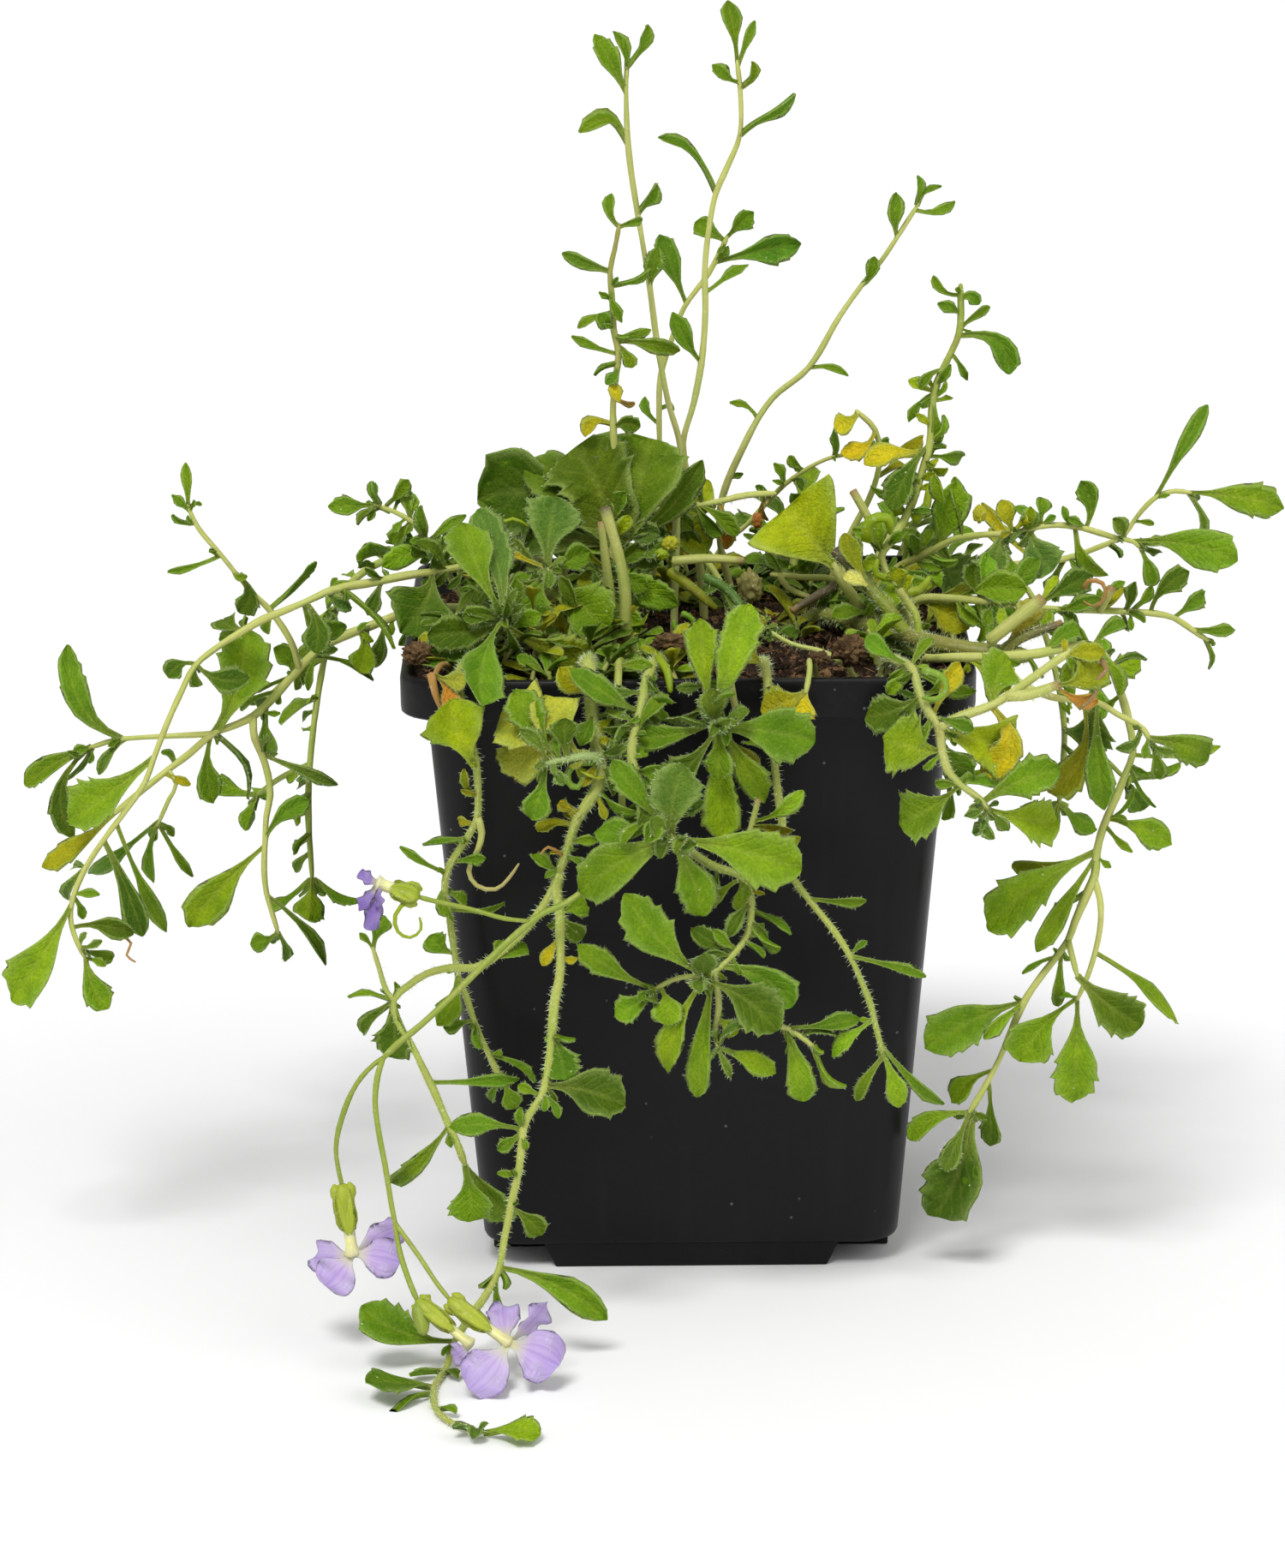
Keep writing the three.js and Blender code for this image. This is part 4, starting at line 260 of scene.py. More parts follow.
      (3.2, 59, 102, 2, 4, 10, -0.5, "d"), (2.6, 47, 118.6, 5, 2.6, "y")]),
    spray("right_middle", "right_middle", foot(33, -6), (1, 0.5),
     [(37, 102, -9), (44, 102.4, -14), (52, 101.6, -18), (60, 100.6, -20), (67, 100.3, -21), (72, 100, -21),
      (76, 99.7, -21), (79, 99, -21), (82, 97, -21), (84.6, 95.2, -21)],
     [(0.5, 46.6, 103.4, 3, 4, 10, 0.5, "o"), (1, 55, 103.6, -5, 6, 5, 1.2, "l"),
      (1.5, 47, 108, 2, 5.4, 15, 0.6, "d"), (2, 57, 109, 3, 4, 20, 0.6), (2.6, 66.2, 105.8, 2, 4.8, 10, 0.8, "d"),
      (3, 66.2, 102.6, -4, 3), (2.9, 58.4, 98, -3, 3, "l"), (3.1, 63, 97.2, -2, 2.4), (3.9, 70.8, 104.4, 1, 2.8, "o"),
      (4.8, 72.4, 104.9, -2, 2.6, "d"), (4, 71.2, 105.2, 2, 1.8), (4.7, 70.4, 96.6, 3, 2.2, "d"),
      (5.8, 81.4, 106.2, -2, 3.8, 10, 1.4, "d"), (7, 84.2, 103.1, 1, 3.2), (8, 88.9, 96.9, -1, 2.4),
      (8.8, 85.6, 90.2, 0, 1.2), (0.5, 54.6, 98.2, -2, 5.4, 10, -0.6, "l"), (0.1, 46, 97.4, -4, 6.4, 10, 0.5, "o")]),
    spray("right_stubs", "right_middle", branch("right_middle", 4), (0.8, 0.8),
     [(68, 102.4, -23), (68.9, 104, -24)],
     []),
    spray("right_hanging", "trail_right_hanging", foot(37, -30.5), (1, 0.6),
     [(41.5, 92.6, -40), (50, 92.7, -42), (57, 93.2, -40), (62, 94.2, -38), (66, 94.4, -37), (68.6, 91.5, -36),
      (70.2, 87.5, -36), (72, 81.5, -36), (72.7, 76.5, -36), (71.5, 73, -36), (70, 69, -36), (68, 64, -36),
      (67, 60, -36), (66.7, 56, -36), (65.5, 53, -36), (63.5, 48, -36), (62.4, 44.8, -36), (60.5, 42, -36),
      (57.5, 38, -36), (55.3, 34.5, -36), (53, 29, -35), (51.2, 24.4, -34), (49, 20, -34), (46.4, 15.4, -34)],
     [(4.4, 63, 97.6, 1, 2), (4.9, 63.2, 93.1, -3, 4.2, 20, 1, "d"), (5.1, 74.5, 93.6, 1, 1.8, "d"),
      (4.2, 70.9, 86.6, -3, 3.2), (3.6, 61.2, 87.8, -2, 2.8, "l"), (6.2, 67.9, 84, 1, 1.6),
      (8.1, 87, 77.5, 0, 2.4, "l"), (8.6, 75.8, 66.8, -2, 1), (10.8, 73.4, 70.4, 2, 1),
      (10.7, 79.3, 61, -1, 5, 5, 0.6, "l"), (10.9, 72.7, 59.6, -2, 1.6, "l"), (12, 48.9, 47, -2, 8, 0, -1, "l"),
      (12.1, 52.5, 57.2, 4, 3, "o"), (12.2, 57.2, 42.8, -4, 3.4, "l"), (14, 60.2, 50.4, 0, 1.2),
      (13.9, 63.9, 50, 2, 0.9, "b"), (17, 55, 39, -1, 1.2), (16.6, 61, 32.8, 2, 2.4),
      (19, 38.9, 26.4, -1, 7.6, 0, -0.8), (19.1, 49, 28, -3, 2.6, "l"), (21.4, 43.6, 17, 3, 4.4, 25, -0.8, "l"),
      (21.8, 49.6, 9.2, 2, 3.6, 25, 0.8, "d"), (23, 36.2, 10.6, 1, 3.8, 5, -1.4, "l"),
      (22.9, 40.4, -3, -2, 10, 0, 1.4, "d"), (23, 42.2, 5, -4, 4, 0, 0, "w"),
      (0.5, 53, 87.4, -3, 6.8, 10, 0.3, "c")]),
    spray("right_twin", "trail_right_hanging", branch("right_hanging", 13.2), (0.6, 0.45),
     [(67.5, 52, -36), (67.7, 48, -36), (66.9, 42.8, -36), (65.6, 38.4, -36), (64, 34.6, -36)],
     [(2, 80.8, 30.3, 1, 3.4, "l"), (3.9, 54.6, 24, -1, 7.4, 5, -1), (4, 63.6, 16.6, 2, 7, 0, 0.2, "l")]),
    spray("right_fork", "trail_right_hanging", branch("right_hanging", 16), (0.6, 0.5),
     [(63.4, 41, -39), (64, 38.6, -40)],
     [(0.9, 74.6, 30, -1, 7, 0, -0.6, "d")]),
    spray("right_front", "right_front", foot(31, -29), (1.1, 0.7),
     [(35, 91.6, -40), (36.8, 90.6, -46.5), (38, 86.5, -50), (39.6, 83.2, -51), (41, 81, -51.5), (41.6, 76.6, -52),
      (43, 73, -52), (45, 71, -52), (47.6, 69, -52), (49, 67.2, -52)],
     [(0.8, 39.8, 96.4, 2, 2.2, "l"), (0.6, 29.2, 96.5, 1, 3.4), (1, 46.8, 86.4, -2, 3, "l"),
      (2.1, 28.9, 83, 1.5, 6, 10, 0.8, "d"), (4.9, 31.8, 79.2, -3, 9.4, 0, 0.4, "l"),
      (4.1, 46.6, 72.9, 2, 6, 5, -1, "d"), (4.2, 52.8, 77.4, 3, 9.6, 10, 0.3, "c"),
      (3.2, 44.6, 91.8, 2, 3.6, 15, 0.4, "y"), (6.8, 34.5, 64.9, -1, 8, 0, 0.6), (6.6, 52, 71.8, 3, 2.6),
      (8.4, 60.7, 73.7, -3, 6, 0, 0.8), (8.9, 61.2, 65, 2, 7, 0, -0.6, "l"), (9, 46.3, 63.4, -1, 2.4, "w"),
      (9, 49.9, 62.2, -2, 2.2, "w"), (9, 52.4, 63.4, -1, 2.6, "w"), (8.7, 45.2, 66, -3, 2, "w")]),
    spray("right_front_branch", "right_front", branch("right_front", 4), (0.9, 0.7),
     [(45, 82.9, -51), (50, 84.8, -50), (55, 88.3, -50), (59.5, 91.6, -50), (62.4, 93.6, -50)],
     [(0.9, 47.6, 73.2, -1, 5.4, 5, 4, "y"), (1, 52.6, 92.4, 2, 7.4, 10, 1, "l"), (3.6, 67.6, 93.4, -2, 3.4, "o")]),
    spray("right_front_stub", "right_front", branch("right_front_branch", 1.4), (1, 0.9),
     [(56, 86.4, -51), (60.5, 88, -51)],
     [(0.9, 67, 85, 1, 3.4, "b"), (1, 67.4, 91.6, 0, 6.2, 15, -0.8, "o")]),
    spray("right_lower_twig", "trail_right_hanging", branch("right_hanging", 1.2), (0.7, 0.45),
     [(54, 88.6, -45), (58, 86.4, -45), (61, 85.6, -44), (66.8, 85, -43), (70, 83, -42), (74.4, 80.3, -42),
      (75.3, 78.6, -42)],
     [(3, 68.2, 66.8, -2, 5, 0, -0.6), (2.9, 64.6, 77.2, 3, 6.8, 0, 0.6, "d"), (2.6, 59.4, 70.6, 5, 5.6, 10, 3, "o"),
      (4.9, 70.6, 76.9, -2, 2.2, "w"), (5.8, 85.6, 75.4, 1, 5.4, 5, 0.6), (5.9, 79.3, 76.2, -2, 2, "w"),
      (5.9, 77, 71.8, -1, 3)]),
    spray("front_hub", "rosette_front", foot(2, -29), (1.2, 0.9),
     [(2, 92, -41), (2.5, 90.4, -46.5), (4, 85, -51), (5, 81.4, -54)],
     [(2.6, 2.4, 99.6, 4, 5.4, 0, 0.6, "l"), (2.7, 10.6, 101.8, 3, 6.4, 0, 0.4, "l"),
      (2.9, 4.4, 87.2, -4, 5, 15, 0.4, "w"), (2.9, 9.9, 84.2, -4, 3.4, "w"), (3, 21, 78.9, -1, 8.6, 0, 0.4),
      (2.9, 5, 72.6, -4, 4.8, 0, 0.3), (3, -5.8, 70.2, -1, 6, 15, 1.4, "d"), (2.8, -10, 79.8, 3, 5, 10, 1),
      (2.6, 5.6, 62.6, 0.5, 5.8, 5, 0.4, "l"), (2.8, 12.8, 68.4, 2, 5, 15, 0.6, "l"),
      (2.5, 12.4, 73.4, 4, 3.6, 20, -0.6, "o"), (3, 4.6, 80.4, -5, 2.4, "w")]),
    spray("front_stub", "stem_stub_front", foot(-5.5, -24), (1.3, 1.1),
     [(-6, 92.5, -25), (-9.6, 97, -25), (-9.8, 103, -25), (-10.6, 109, -25), (-13, 118, -24)],
     []),
    spray("front_stub_back", "stem_stub_back", foot(-12, -14), (1.1, 1),
     [(-12, 97, -14), (-12.3, 104, -14), (-13, 110, -14), (-13.6, 115.6, -14)],
     []),
    spray("pale_stub", "stem_stub_pale", foot(7, -6), (0.8, 0.7),
     [(6.8, 101, -7), (5.3, 106, -7), (3, 109.6, -7)],
     [(0.9, 2.6, 104.6, -2, 2.6, "w"), (0.7, 10.2, 99.2, -3, 2.6, "w")]),
    spray("petiole_big", "leaf_triangular", foot(27, -4), (1.2, 0.9),
     [(28.6, 100, -5), (27, 103, -6), (25, 106, -7), (24, 108.4, -7)],
     [(2.8, 16.2, 117.6, 2, 17.2, 5, 0, "c")]),
    spray("cross_twig", "leaf_triangular", branch("petiole_big", 0.3), (0.65, 0.55),
     [(26.4, 104.4, -3), (24, 105.8, -2), (18.5, 106.2, -1), (13.8, 106.7, 0)],
     [(1.2, 21.4, 100.6, -1, 2.2, "d"), (2.6, 12.8, 110.4, 1, 2.8, "d")]),
    spray("cross_stub", "leaf_triangular", branch("cross_twig", 2.7), (0.6, 0.55),
     [(16.6, 104.4, -3), (20.2, 102.8, -5)],
     []),
    spray("fuzzy_twig", "stem_fuzzy", foot(26, -36), (0.5, 0.45),
     [(23, 93.4, -34), (17, 95.2, -32), (12.8, 97.7, -30)],
     [(1.9, 11.4, 99.6, -1, 2.2, "y"), (2, 13.6, 96, -1, 2.2, "w"), (2, 12.6, 99.8, 1, 1.8, "w")]),
    spray("front_middle", "rosettes_hanging", foot(-3, -31), (1.3, 0.8),
     [(-5, 92.4, -41), (-6, 90.6, -46.6), (-7.5, 84, -51), (-9, 76, -55), (-6, 70, -58), (-3.4, 65, -60),
      (-2.4, 62.4, -61)],
     [(5.9, -0.4, 75.4, -2, 7.8, 0, 0.8, "w"), (5.9, -6.4, 66.4, -3, 3.6, 10, 0.3, "w"), (6, 0.7, 61.4, -4, 3.2, "w"),
      (5.8, -18.2, 53.6, 1, 7.6, 0, -0.6), (6, 2.6, 49.2, 1, 6.4, 0, 0.6), (5.9, 18.8, 57.2, 0, 8.8, 0, 0.6, "l"),
      (5.4, -12.2, 76, 3, 4.8, 10, 0.4), (5, -15.4, 64, 2, 5, 5, 0.6), (4.7, -15, 68.2, 3, 3.2),
      (2, -18.6, 91.4, -3, 4.6, 5, 0.6), (2.6, -3, 87, 2, 3.4), (6, -2.2, 61, -5, 2.6, "w")]),
    spray("front_drop", "rosettes_hanging", branch("front_middle", 5.8), (0.8, 0.6),
     [(4, 58, -57), (9.6, 55.4, -56), (10.4, 50, -57), (9.6, 46, -58), (6.6, 42, -60), (2.6, 38.6, -62)],
     [(0.9, 4.2, 51, -1, 1.8, "l"), (1.2, 18.6, 62.8, -2, 3.4, "o"), (4.9, -10.6, 53.8, -3, 7, 0, 1.2),
      (5, 2.6, 43.2, -3, 4.8, 0, 0, "w"), (5, -3.8, 22.4, 1, 4.8, 10, -1, "l"), (4.6, 1.2, 18, 4, 4.4, 10, 0, "l"),
      (4.3, 16.8, 34, 2, 5.6, 0, 1.6), (5, 14.6, 29.6, -3, 7.8, 0, 1.2, "d"), (3.6, 0.6, 47.6, 0, 3.8, 10, 0.6, "d"),
      (2.1, 12.6, 46.8, 1, 3.6, 10, -1, "l"), (0.8, 8.8, 50.3, 2, 4, 0, 0.4, "l"), (5, 1.8, 36.6, -5, 3, "w")]),
    spray("front_left_bud", "rosettes_hanging", branch("front_drop", 4.9), (0.6, 0.5),
     [(-1.5, 39, -60), (-6, 36.8, -60)],
     [(0.7, -3.6, 30.8, -3, 5.2, 0, 0.6, "l"), (0.9, -12.2, 32.6, -1, 4.2, 0, 0.4),
      (0.9, -18.2, 44.9, 2, 4.4, 5, 0.8), (0.9, -4.6, 31, 1, 2.2), (1, -6.4, 36, -3, 2.2, "w")]),
    spray("front_low_bud", "rosettes_hanging", branch("front_drop", 4.6), (0.6, 0.5),
     [(5, 34, -60), (4.4, 30, -60), (4.8, 26.8, -61)],
     [(0.5, 8.2, 29.4, -1, 3.4, "l"), (1.8, 8.4, 31, -4, 3, "w"), (2, 14.4, 22.4, -1, 3.8, 5, 0.4, "l"),
      (1.9, 7.4, 21.8, -1, 1.9, "w"), (1, 2.8, 30, 1, 1.2)]),
    spray("front_right_leaves", "rosettes_hanging", branch("front_low_bud", 0.6), (0.5, 0.45),
     [(10, 30.4, -57), (15.5, 30.4, -57), (18.4, 28.8, -57), (20.6, 26.9, -57)],
     [(1.1, 18.9, 17.4, -1, 5, 0, 0.5, "l"), (2.9, 24.8, 18.6, 1, 3, "l"), (2, 24.3, 29, -1, 2.4, "w"),
      (1.2, 28.3, 32, 1, 3.4)]),
    spray("front_stub_low", "rosettes_hanging", branch("front_drop", 1), (0.7, 0.6),
     [(9.6, 60.4, -56), (10.6, 65, -55), (11.6, 69.2, -55)],
     [(1.1, 18.9, 69.9, -1, 3, "l"), (0.9, 17.2, 63.3, -2, 2.8, "o"), (0.9, 7.3, 62.5, 2, 1.8)]),
    spray("front_long", "stem_front_long", foot(12.5, -33), (0.9, 0.5),
     [(12.5, 92.2, -41), (13, 90.2, -46.6), (13.6, 84, -50), (14.4, 74, -51), (15.4, 66, -51.5), (16.6, 57, -52),
      (19.5, 52.6, -53), (22, 49.4, -54), (24.5, 46, -55), (26.6, 42.4, -56), (28.5, 38, -56), (30, 34, -56),
      (30.7, 31, -56), (31.6, 27.4, -56), (32.2, 25, -56)],
     [(0.4, 8.6, 95.4, 1, 4.2, 15, 0.6, "o"), (2.6, 10, 80, 3, 3, "l"), (6.1, 29.2, 51, -1, 2.2),
      (9, 39.2, 38.8, -1, 2.2), (13.6, 34.9, 16.1, -1, 3.6, 5, 0.4, "l"), (13.9, 27.4, 17.2, 1, 2.4),
      (13, 42.2, 15.7, 0, 2.4), (11.8, 23.6, 25.3, -2, 3.2, "l")]),
    spray("front_yellow", "leaf_front_yellow", foot(20, -34), (0.7, 0.55),
     [(20, 92.4, -41), (20, 90.3, -46.6), (19.4, 87, -49.5)],
     [(1.9, 12.2, 84.4, -3, 6.4, 5, 0.6, "o"), (1.8, 18.4, 82.2, -3, 4.4, 5, 0, "y")]),
    spray("front_left_main", "trail_front_left", foot(-15, -31), (1.4, 1),
     [(-16, 92.4, -41), (-15.8, 90.5, -46.8), (-15.2, 82, -51), (-14, 75, -53), (-14.4, 71.6, -53.5), (-16, 69, -54),
      (-18, 66, -54), (-19, 63, -54), (-20, 60, -53.5), (-21, 57, -53)],
     [(6.3, -24.6, 64.2, -1, 3.4, "o"), (5.6, -21, 69.2, 1, 2.2, "y"), (9, -25.2, 60.4, 1, 2.8),
      (7.3, -14.8, 62, -2, 2), (8, -15.8, 58.2, -2, 1.9), (1.4, -20.6, 91.6, -2, 5, 5, 0.8, "o")]),
    spray("front_left_woolly", "trail_front_left", branch("front_left_main", 3), (0.9, 0.6),
     [(-15, 76.6, -55), (-18.5, 76.4, -56), (-23, 75.4, -57)],
     [(2, -26.9, 81.2, -2, 3, "w"), (2, -25.7, 66, -1, 4.8, 5, 0.5), (1.8, -20.1, 71.9, -2, 2.4, "w"),
      (1.5, -27.7, 88, 4, 6, 5, 0.6), (1, -30.4, 84.8, 6, 11, 0, -0.8, "p"), (0.7, -22.6, 87, 3, 8, 5, 0.6, "p"),
      (0.3, -30.8, 78.6, 7, 10.5, 0, 0, "p"), (1.2, -19.8, 83.2, -1, 4.8, 5, 0.3, "d")]),
    spray("front_left_long", "trail_front_left", branch("front_left_main", 9), (0.9, 0.65),
     [(-21.5, 55, -53), (-21, 50, -54), (-21, 45, -55.5), (-21, 40, -57), (-22, 35, -59), (-22.5, 30, -61),
      (-23, 25, -63), (-23.5, 22, -64), (-24.5, 18.5, -66), (-26.5, 15.5, -67), (-27.5, 13, -68), (-27.8, 10, -69),
      (-28.3, 6, -69.5), (-29.2, 2, -70), (-30, -2, -71), (-31, -7, -72.5), (-31.7, -11, -73.5), (-34.5, -16.5, -75),
      (-36, -18.5, -75.5), (-39.8, -24.5, -78)],
     [(1, -16.2, 51.2, 1, 4.2, 10, 0.5, "l"), (1.1, -17.3, 45.8, -1, 3.6, 10, 0, "d"), (1.8, -24, 41.2, -1, 2.4, "y"),
      (2.4, -18.4, 42.2, -1, 1.5, "y"), (5.2, -18.9, 27.8, -1, 1.5), (5.1, -20.4, 21.4, -3, 6.2, 5, 0.3),
      (7.4, -10.6, 17.2, -2, 8.2, 0, 0.8, "d"), (7.8, -21.5, 15.1, -2, 1.9), (7.9, -28.4, 20.7, 1, 2.2),
      (10, -39.9, 13.5, -1, 4, 5, -0.6), (10.1, -31.7, 9.7, -2, 2.6), (13.6, -24.6, -5.4, -2, 4, 5, 0.4, "d"),
      (16, -13.8, -20.4, -3, 5, 0, 1.4), (16.2, -31, -19.8, -1, 1.4), (18.9, -55, -17.5, 0, 7.4, 5, 1.6),
      (12.2, -31.6, 5.4, -2, 1.4)]),
    laid("front_left_laid", "trail_front_left", branch("front_left_long", 19), (0.65, 0.5),
     [(-38, -81.6), (-38.8, -85), (-39.6, -89.5), (-39.6, -94), (-39, -99.5), (-37.3, -104), (-34.6, -107.4),
      (-31.9, -109.4)],
     [(0.1, -43.6, -86.6, 1.6, 3.4, 0.4), (0.2, -36.2, -86, 1.6, 2.2, 0, "d"), (2, -50, -94.4, 3.4, 9, 0.8, "d"),
      (2.6, -45.6, -98.4, 1.4, 2.2, 0.3), (4, -36, -102, 1.6, 1.8, 0.2), (7, -23.2, -111.8, 2, 5.8, -0.6, "l"),
      (6.8, -33.2, -113, 2, 3, 0.2, "w"), (6.7, -36.2, -110.8, 2.4, 2.6, 0, "w")]),
    spray("front_left_side", "trail_front_left", branch("front_left_main", 9), (0.8, 0.6),
     [(-22.5, 53.4, -52.5), (-25, 49.5, -52), (-28, 46, -52), (-32, 42.5, -53), (-35, 41, -53.5), (-39, 41, -54.5),
      (-43, 40, -56), (-46, 38, -57), (-48.5, 35.5, -58), (-48, 32, -58), (-46, 28.5, -59), (-44, 24, -60),
      (-42, 19.5, -61), (-40, 14.5, -62), (-38.5, 11, -63), (-37.2, 7, -63)],
     [(3, -26.4, 44.8, 2, 3.4), (8, -55.5, 37.5, -1, 1.6), (8.1, -49, 25.4, 1, 6, 5, 0.4, "d"),
      (8, -54.3, 30.2, 1, 3.2, "d"), (8.2, -51.2, 27.8, 2, 2), (11.6, -27.4, 21.6, 3, 2.5),
      (13.2, -49.5, 2.6, -1, 3.1), (15, -36.4, -3, -1, 6.6, 0, 0.3), (15, -30, -3.4, 2, 5.4, 10, 0.3)]),
    spray("front_left_sprig", "trail_front_left", branch("front_left_side", 8), (0.55, 0.45),
     [(-49.6, 37, -57.5), (-50.8, 41, -57), (-51.8, 44.6, -56.5)],
     [(1.9, -49.6, 50, 2, 3.8, 5, 0.4)]),
    spray("left_front_main", "trail_left_front", foot(-31, -27), (0.9, 0.55),
     [(-35.6, 92.4, -41), (-37, 90.4, -46.8), (-36.4, 84, -50.5), (-34.4, 76, -51), (-34.1, 70, -50),
      (-34.3, 66.5, -49.5), (-36, 63, -49), (-38, 60, -48.5), (-39.3, 57.5, -48), (-39.8, 54, -47.5),
      (-39.3, 51, -47), (-38.8, 47, -46.5), (-38.3, 43, -46), (-37.8, 39.5, -46), (-36.5, 36, -46), (-35.3, 32, -46),
      (-34, 28.5, -46), (-32.5, 25, -46), (-31.2, 22, -46)],
     [(3.2, -38.6, 86.4, -3, 9.4, 0, 0.6, "c"), (5.3, -37.6, 66, 1, 2, "o"), (6, -43.4, 62, 0, 1.9),
      (8.1, -46.8, 61.9, 0, 1.6), (7.4, -33, 59.4, -1, 2.3), (8.9, -38.8, 50, -2, 2.6), (9, -36, 52.2, 1, 2.8),
      (10, -29.8, 50.4, 1, 1.6), (11.9, -42.4, 46.6, 0, 4.2, 10, 0.6), (12.6, -41.2, 31.2, -1, 4.2, 10, 1.2),
      (15, -40.4, 30.8, -1, 3.2), (15.1, -34.2, 27, -2, 2.2), (16.7, -24.6, 21.8, 1, 2),
      (18, -28.8, 16.4, 0, 3.6, 5, 0.3), (18, -33, 17.6, 2, 2), (4, -36.6, 74, -2, 1.6, "o")]),
    spray("left_front_dry", "trail_left_front", branch("left_front_main", 5), (0.8, 0.24),
     [(-33.6, 64, -49), (-34.3, 61, -48.5), (-35.8, 57.4, -48), (-34.6, 55, -48), (-31.5, 54.3, -48),
      (-29.4, 56, -48), (-27.6, 58.6, -48)],
     []),
    spray("flower_stalk", "flower_stalk", foot(-9.4, -33), (0.75, 0.55),
     [(-10.8, 92.4, -41), (-11, 90.5, -46.6), (-11.2, 84, -50), (-11, 76, -50.5), (-10.6, 68, -52),
      (-11.6, 60.5, -54), (-14, 56, -56), (-17, 54, -57.5), (-20, 51.8, -58.5), (-24, 50, -59.5), (-28, 46.8, -60.5),
      (-32, 43, -61.5), (-36, 39, -62.5), (-40, 35, -64), (-44, 31.3, -65.5), (-48, 28, -67), (-50.5, 25.5, -68)],
     []),
    spray("pedicel_low", "flower_stalk", branch("flower_stalk", 16), (0.48, 0.42),
     [(-52, 24.5, -68.5), (-55, 21, -69), (-57.5, 15, -69.5), (-58.5, 10, -70), (-58, 5.4, -70), (-57.6, 3.4, -70)],
     []),
    spray("pedicel_buds", "flower_stalk", branch("flower_stalk", 16), (0.5, 0.45),
     [(-51.4, 22.5, -69.5), (-51.9, 18, -70.5), (-51.4, 13, -71.5), (-50.4, 7, -73), (-49.5, 0, -74.5),
      (-49, -3, -75.5), (-48.3, -8, -77.5), (-46.5, -14, -80), (-45.3, -17, -81.5)],
     []),
    spray("pedicel_bloom", "flower_stalk", branch("pedicel_buds", 5), (0.45, 0.42),
     [(-45, -9, -79), (-42, -14, -81.5), (-39.9, -16.8, -83)],
     []),
    spray("pedicel_faded", "flower_stalk", branch("flower_stalk", 9.4), (0.45, 0.42),
     [(-30, 49.3, -61), (-35, 50.8, -61.5), (-39, 51.8, -62), (-42, 52.5, -62), (-44.4, 53.2, -62)],
     []),
    spray("rim_leaf_dry", "leaf_dry_rim", foot(-36, -34), (0.6, 0.5),
     [(-39.6, 92.2, -41), (-41, 90.3, -46.6)],
     [(0.9, -38.4, 82.6, -4, 4, 25, 1.6, "b"), (0.9, -35.2, 89.8, -5, 3.6, 20, -0.5, "p")]),
]

# A bloom: its node, its pedicel, its throat (sighted), the calyx's half width, the petals (sighted tip,
# tip's depth past the throat, width, turn), and the tone
blooms = [
    {"node": "petals_low", "pedicel": "pedicel_low", "throat": (-56.1, -8.4, -71), "bulge": 2.4, "tone": "lilac",
     "petals": [(-60.9, -13.9, -2, 7, 0), (-48.2, -10, -3, 6.4, 0), (-47.9, -3.9, 2, 5.4, 20),
                (-62.6, -9, 4, 5.6, 20)]},
    {"node": "petals_floor", "pedicel": "pedicel_bloom", "throat": (-30.4, -24.3, -86.5), "bulge": 2.2,
     "tone": "lilac",
     "petals": [(-22, -28.4, -4, 8.4, 0), (-37.2, -32.4, -7, 7.8, 0), (-23.8, -17.2, 2, 5, 50),
                (-31.2, -17.6, 7, 5.4, 10)]},
    {"node": "petals_floor", "pedicel": "pedicel_buds", "throat": (-36.8, -24.4, -86), "bulge": 2, "tone": "lilac",
     "petals": [(-39.9, -26.4, 1, 3.8, 0)]},
    {"node": "petals_faded", "pedicel": "pedicel_faded", "throat": (-50.6, 55.4, -62.6), "bulge": 2.5,
     "tone": "violet",
     "petals": [(-53.8, 57.4, -1, 2.4, 30), (-54, 51, -1, 2.6, 40), (-52.2, 47.4, -2, 3, 20),
                (-50.4, 51.4, -3, 2.4, 60)]},
]
buds = {"pedicel": "pedicel_buds", "centre": (-44.8, -20.4, -83.5), "radius": 1.7, "sepalTip": (-43.4, -15.4, -81),
        "sepalWidth": 1.6}

# Of a pair of numbers for a size or a share, in the rules from here on, the first is the least value and
# the second is what a draw adds to it at most. Radii are those at the root and at the end.

# Behind and at the sides, stems droop over the rim by rule: name, foot, where it crosses the rim, fall
# and swing. Tufts fill the back of the crown: name, foot, height, leaves, reach and how level they lie.
drapes = {"seed": 20, "radii": (0.9, 0.5), "overRim": 4.5, "steps": 6, "leafEvery": 11, "length": (7, 7),
          "width": (0.34, 0.24), "shootRadii": (0.5, 0.42), "shootAt": (0.42, 0.72), "shootLength": 11,
          "shootLeaves": 3, "endLeaves": 4, "smallPerMm": 0.7, "smallLength": (2.5, 4), "smallWidth": (0.34, 0.2),
          "stems": [
              ("drape_right", (32, 18), (51, 20), 42, 6), ("drape_back_right", (31, 28), (40, 51), 66, 8),
              ("drape_back_middle", (15, 30), (14, 51), 38, -2), ("drape_back_left", (-4, 29), (-5, 51), 60, 5),
              ("drape_back_corner", (-16, 32), (-28, 51), 44, -5), ("drape_left", (-29, 24), (-51, 30), 52, 9)]}
tufts = {"seed": 7, "radii": (1, 0.7), "length": (0.8, 0.4), "width": (0.42, 0.14), "stems": [
    ("tuft_back_left", (-20, 21), 19, 10, 12, (0.1, 0.9)), ("tuft_back_right", (18, 21), 16, 9, 11, (0.15, 0.95)),
    ("tuft_back_middle", (-5, 22), 15, 6, 11, (0.6, 1.1))]}

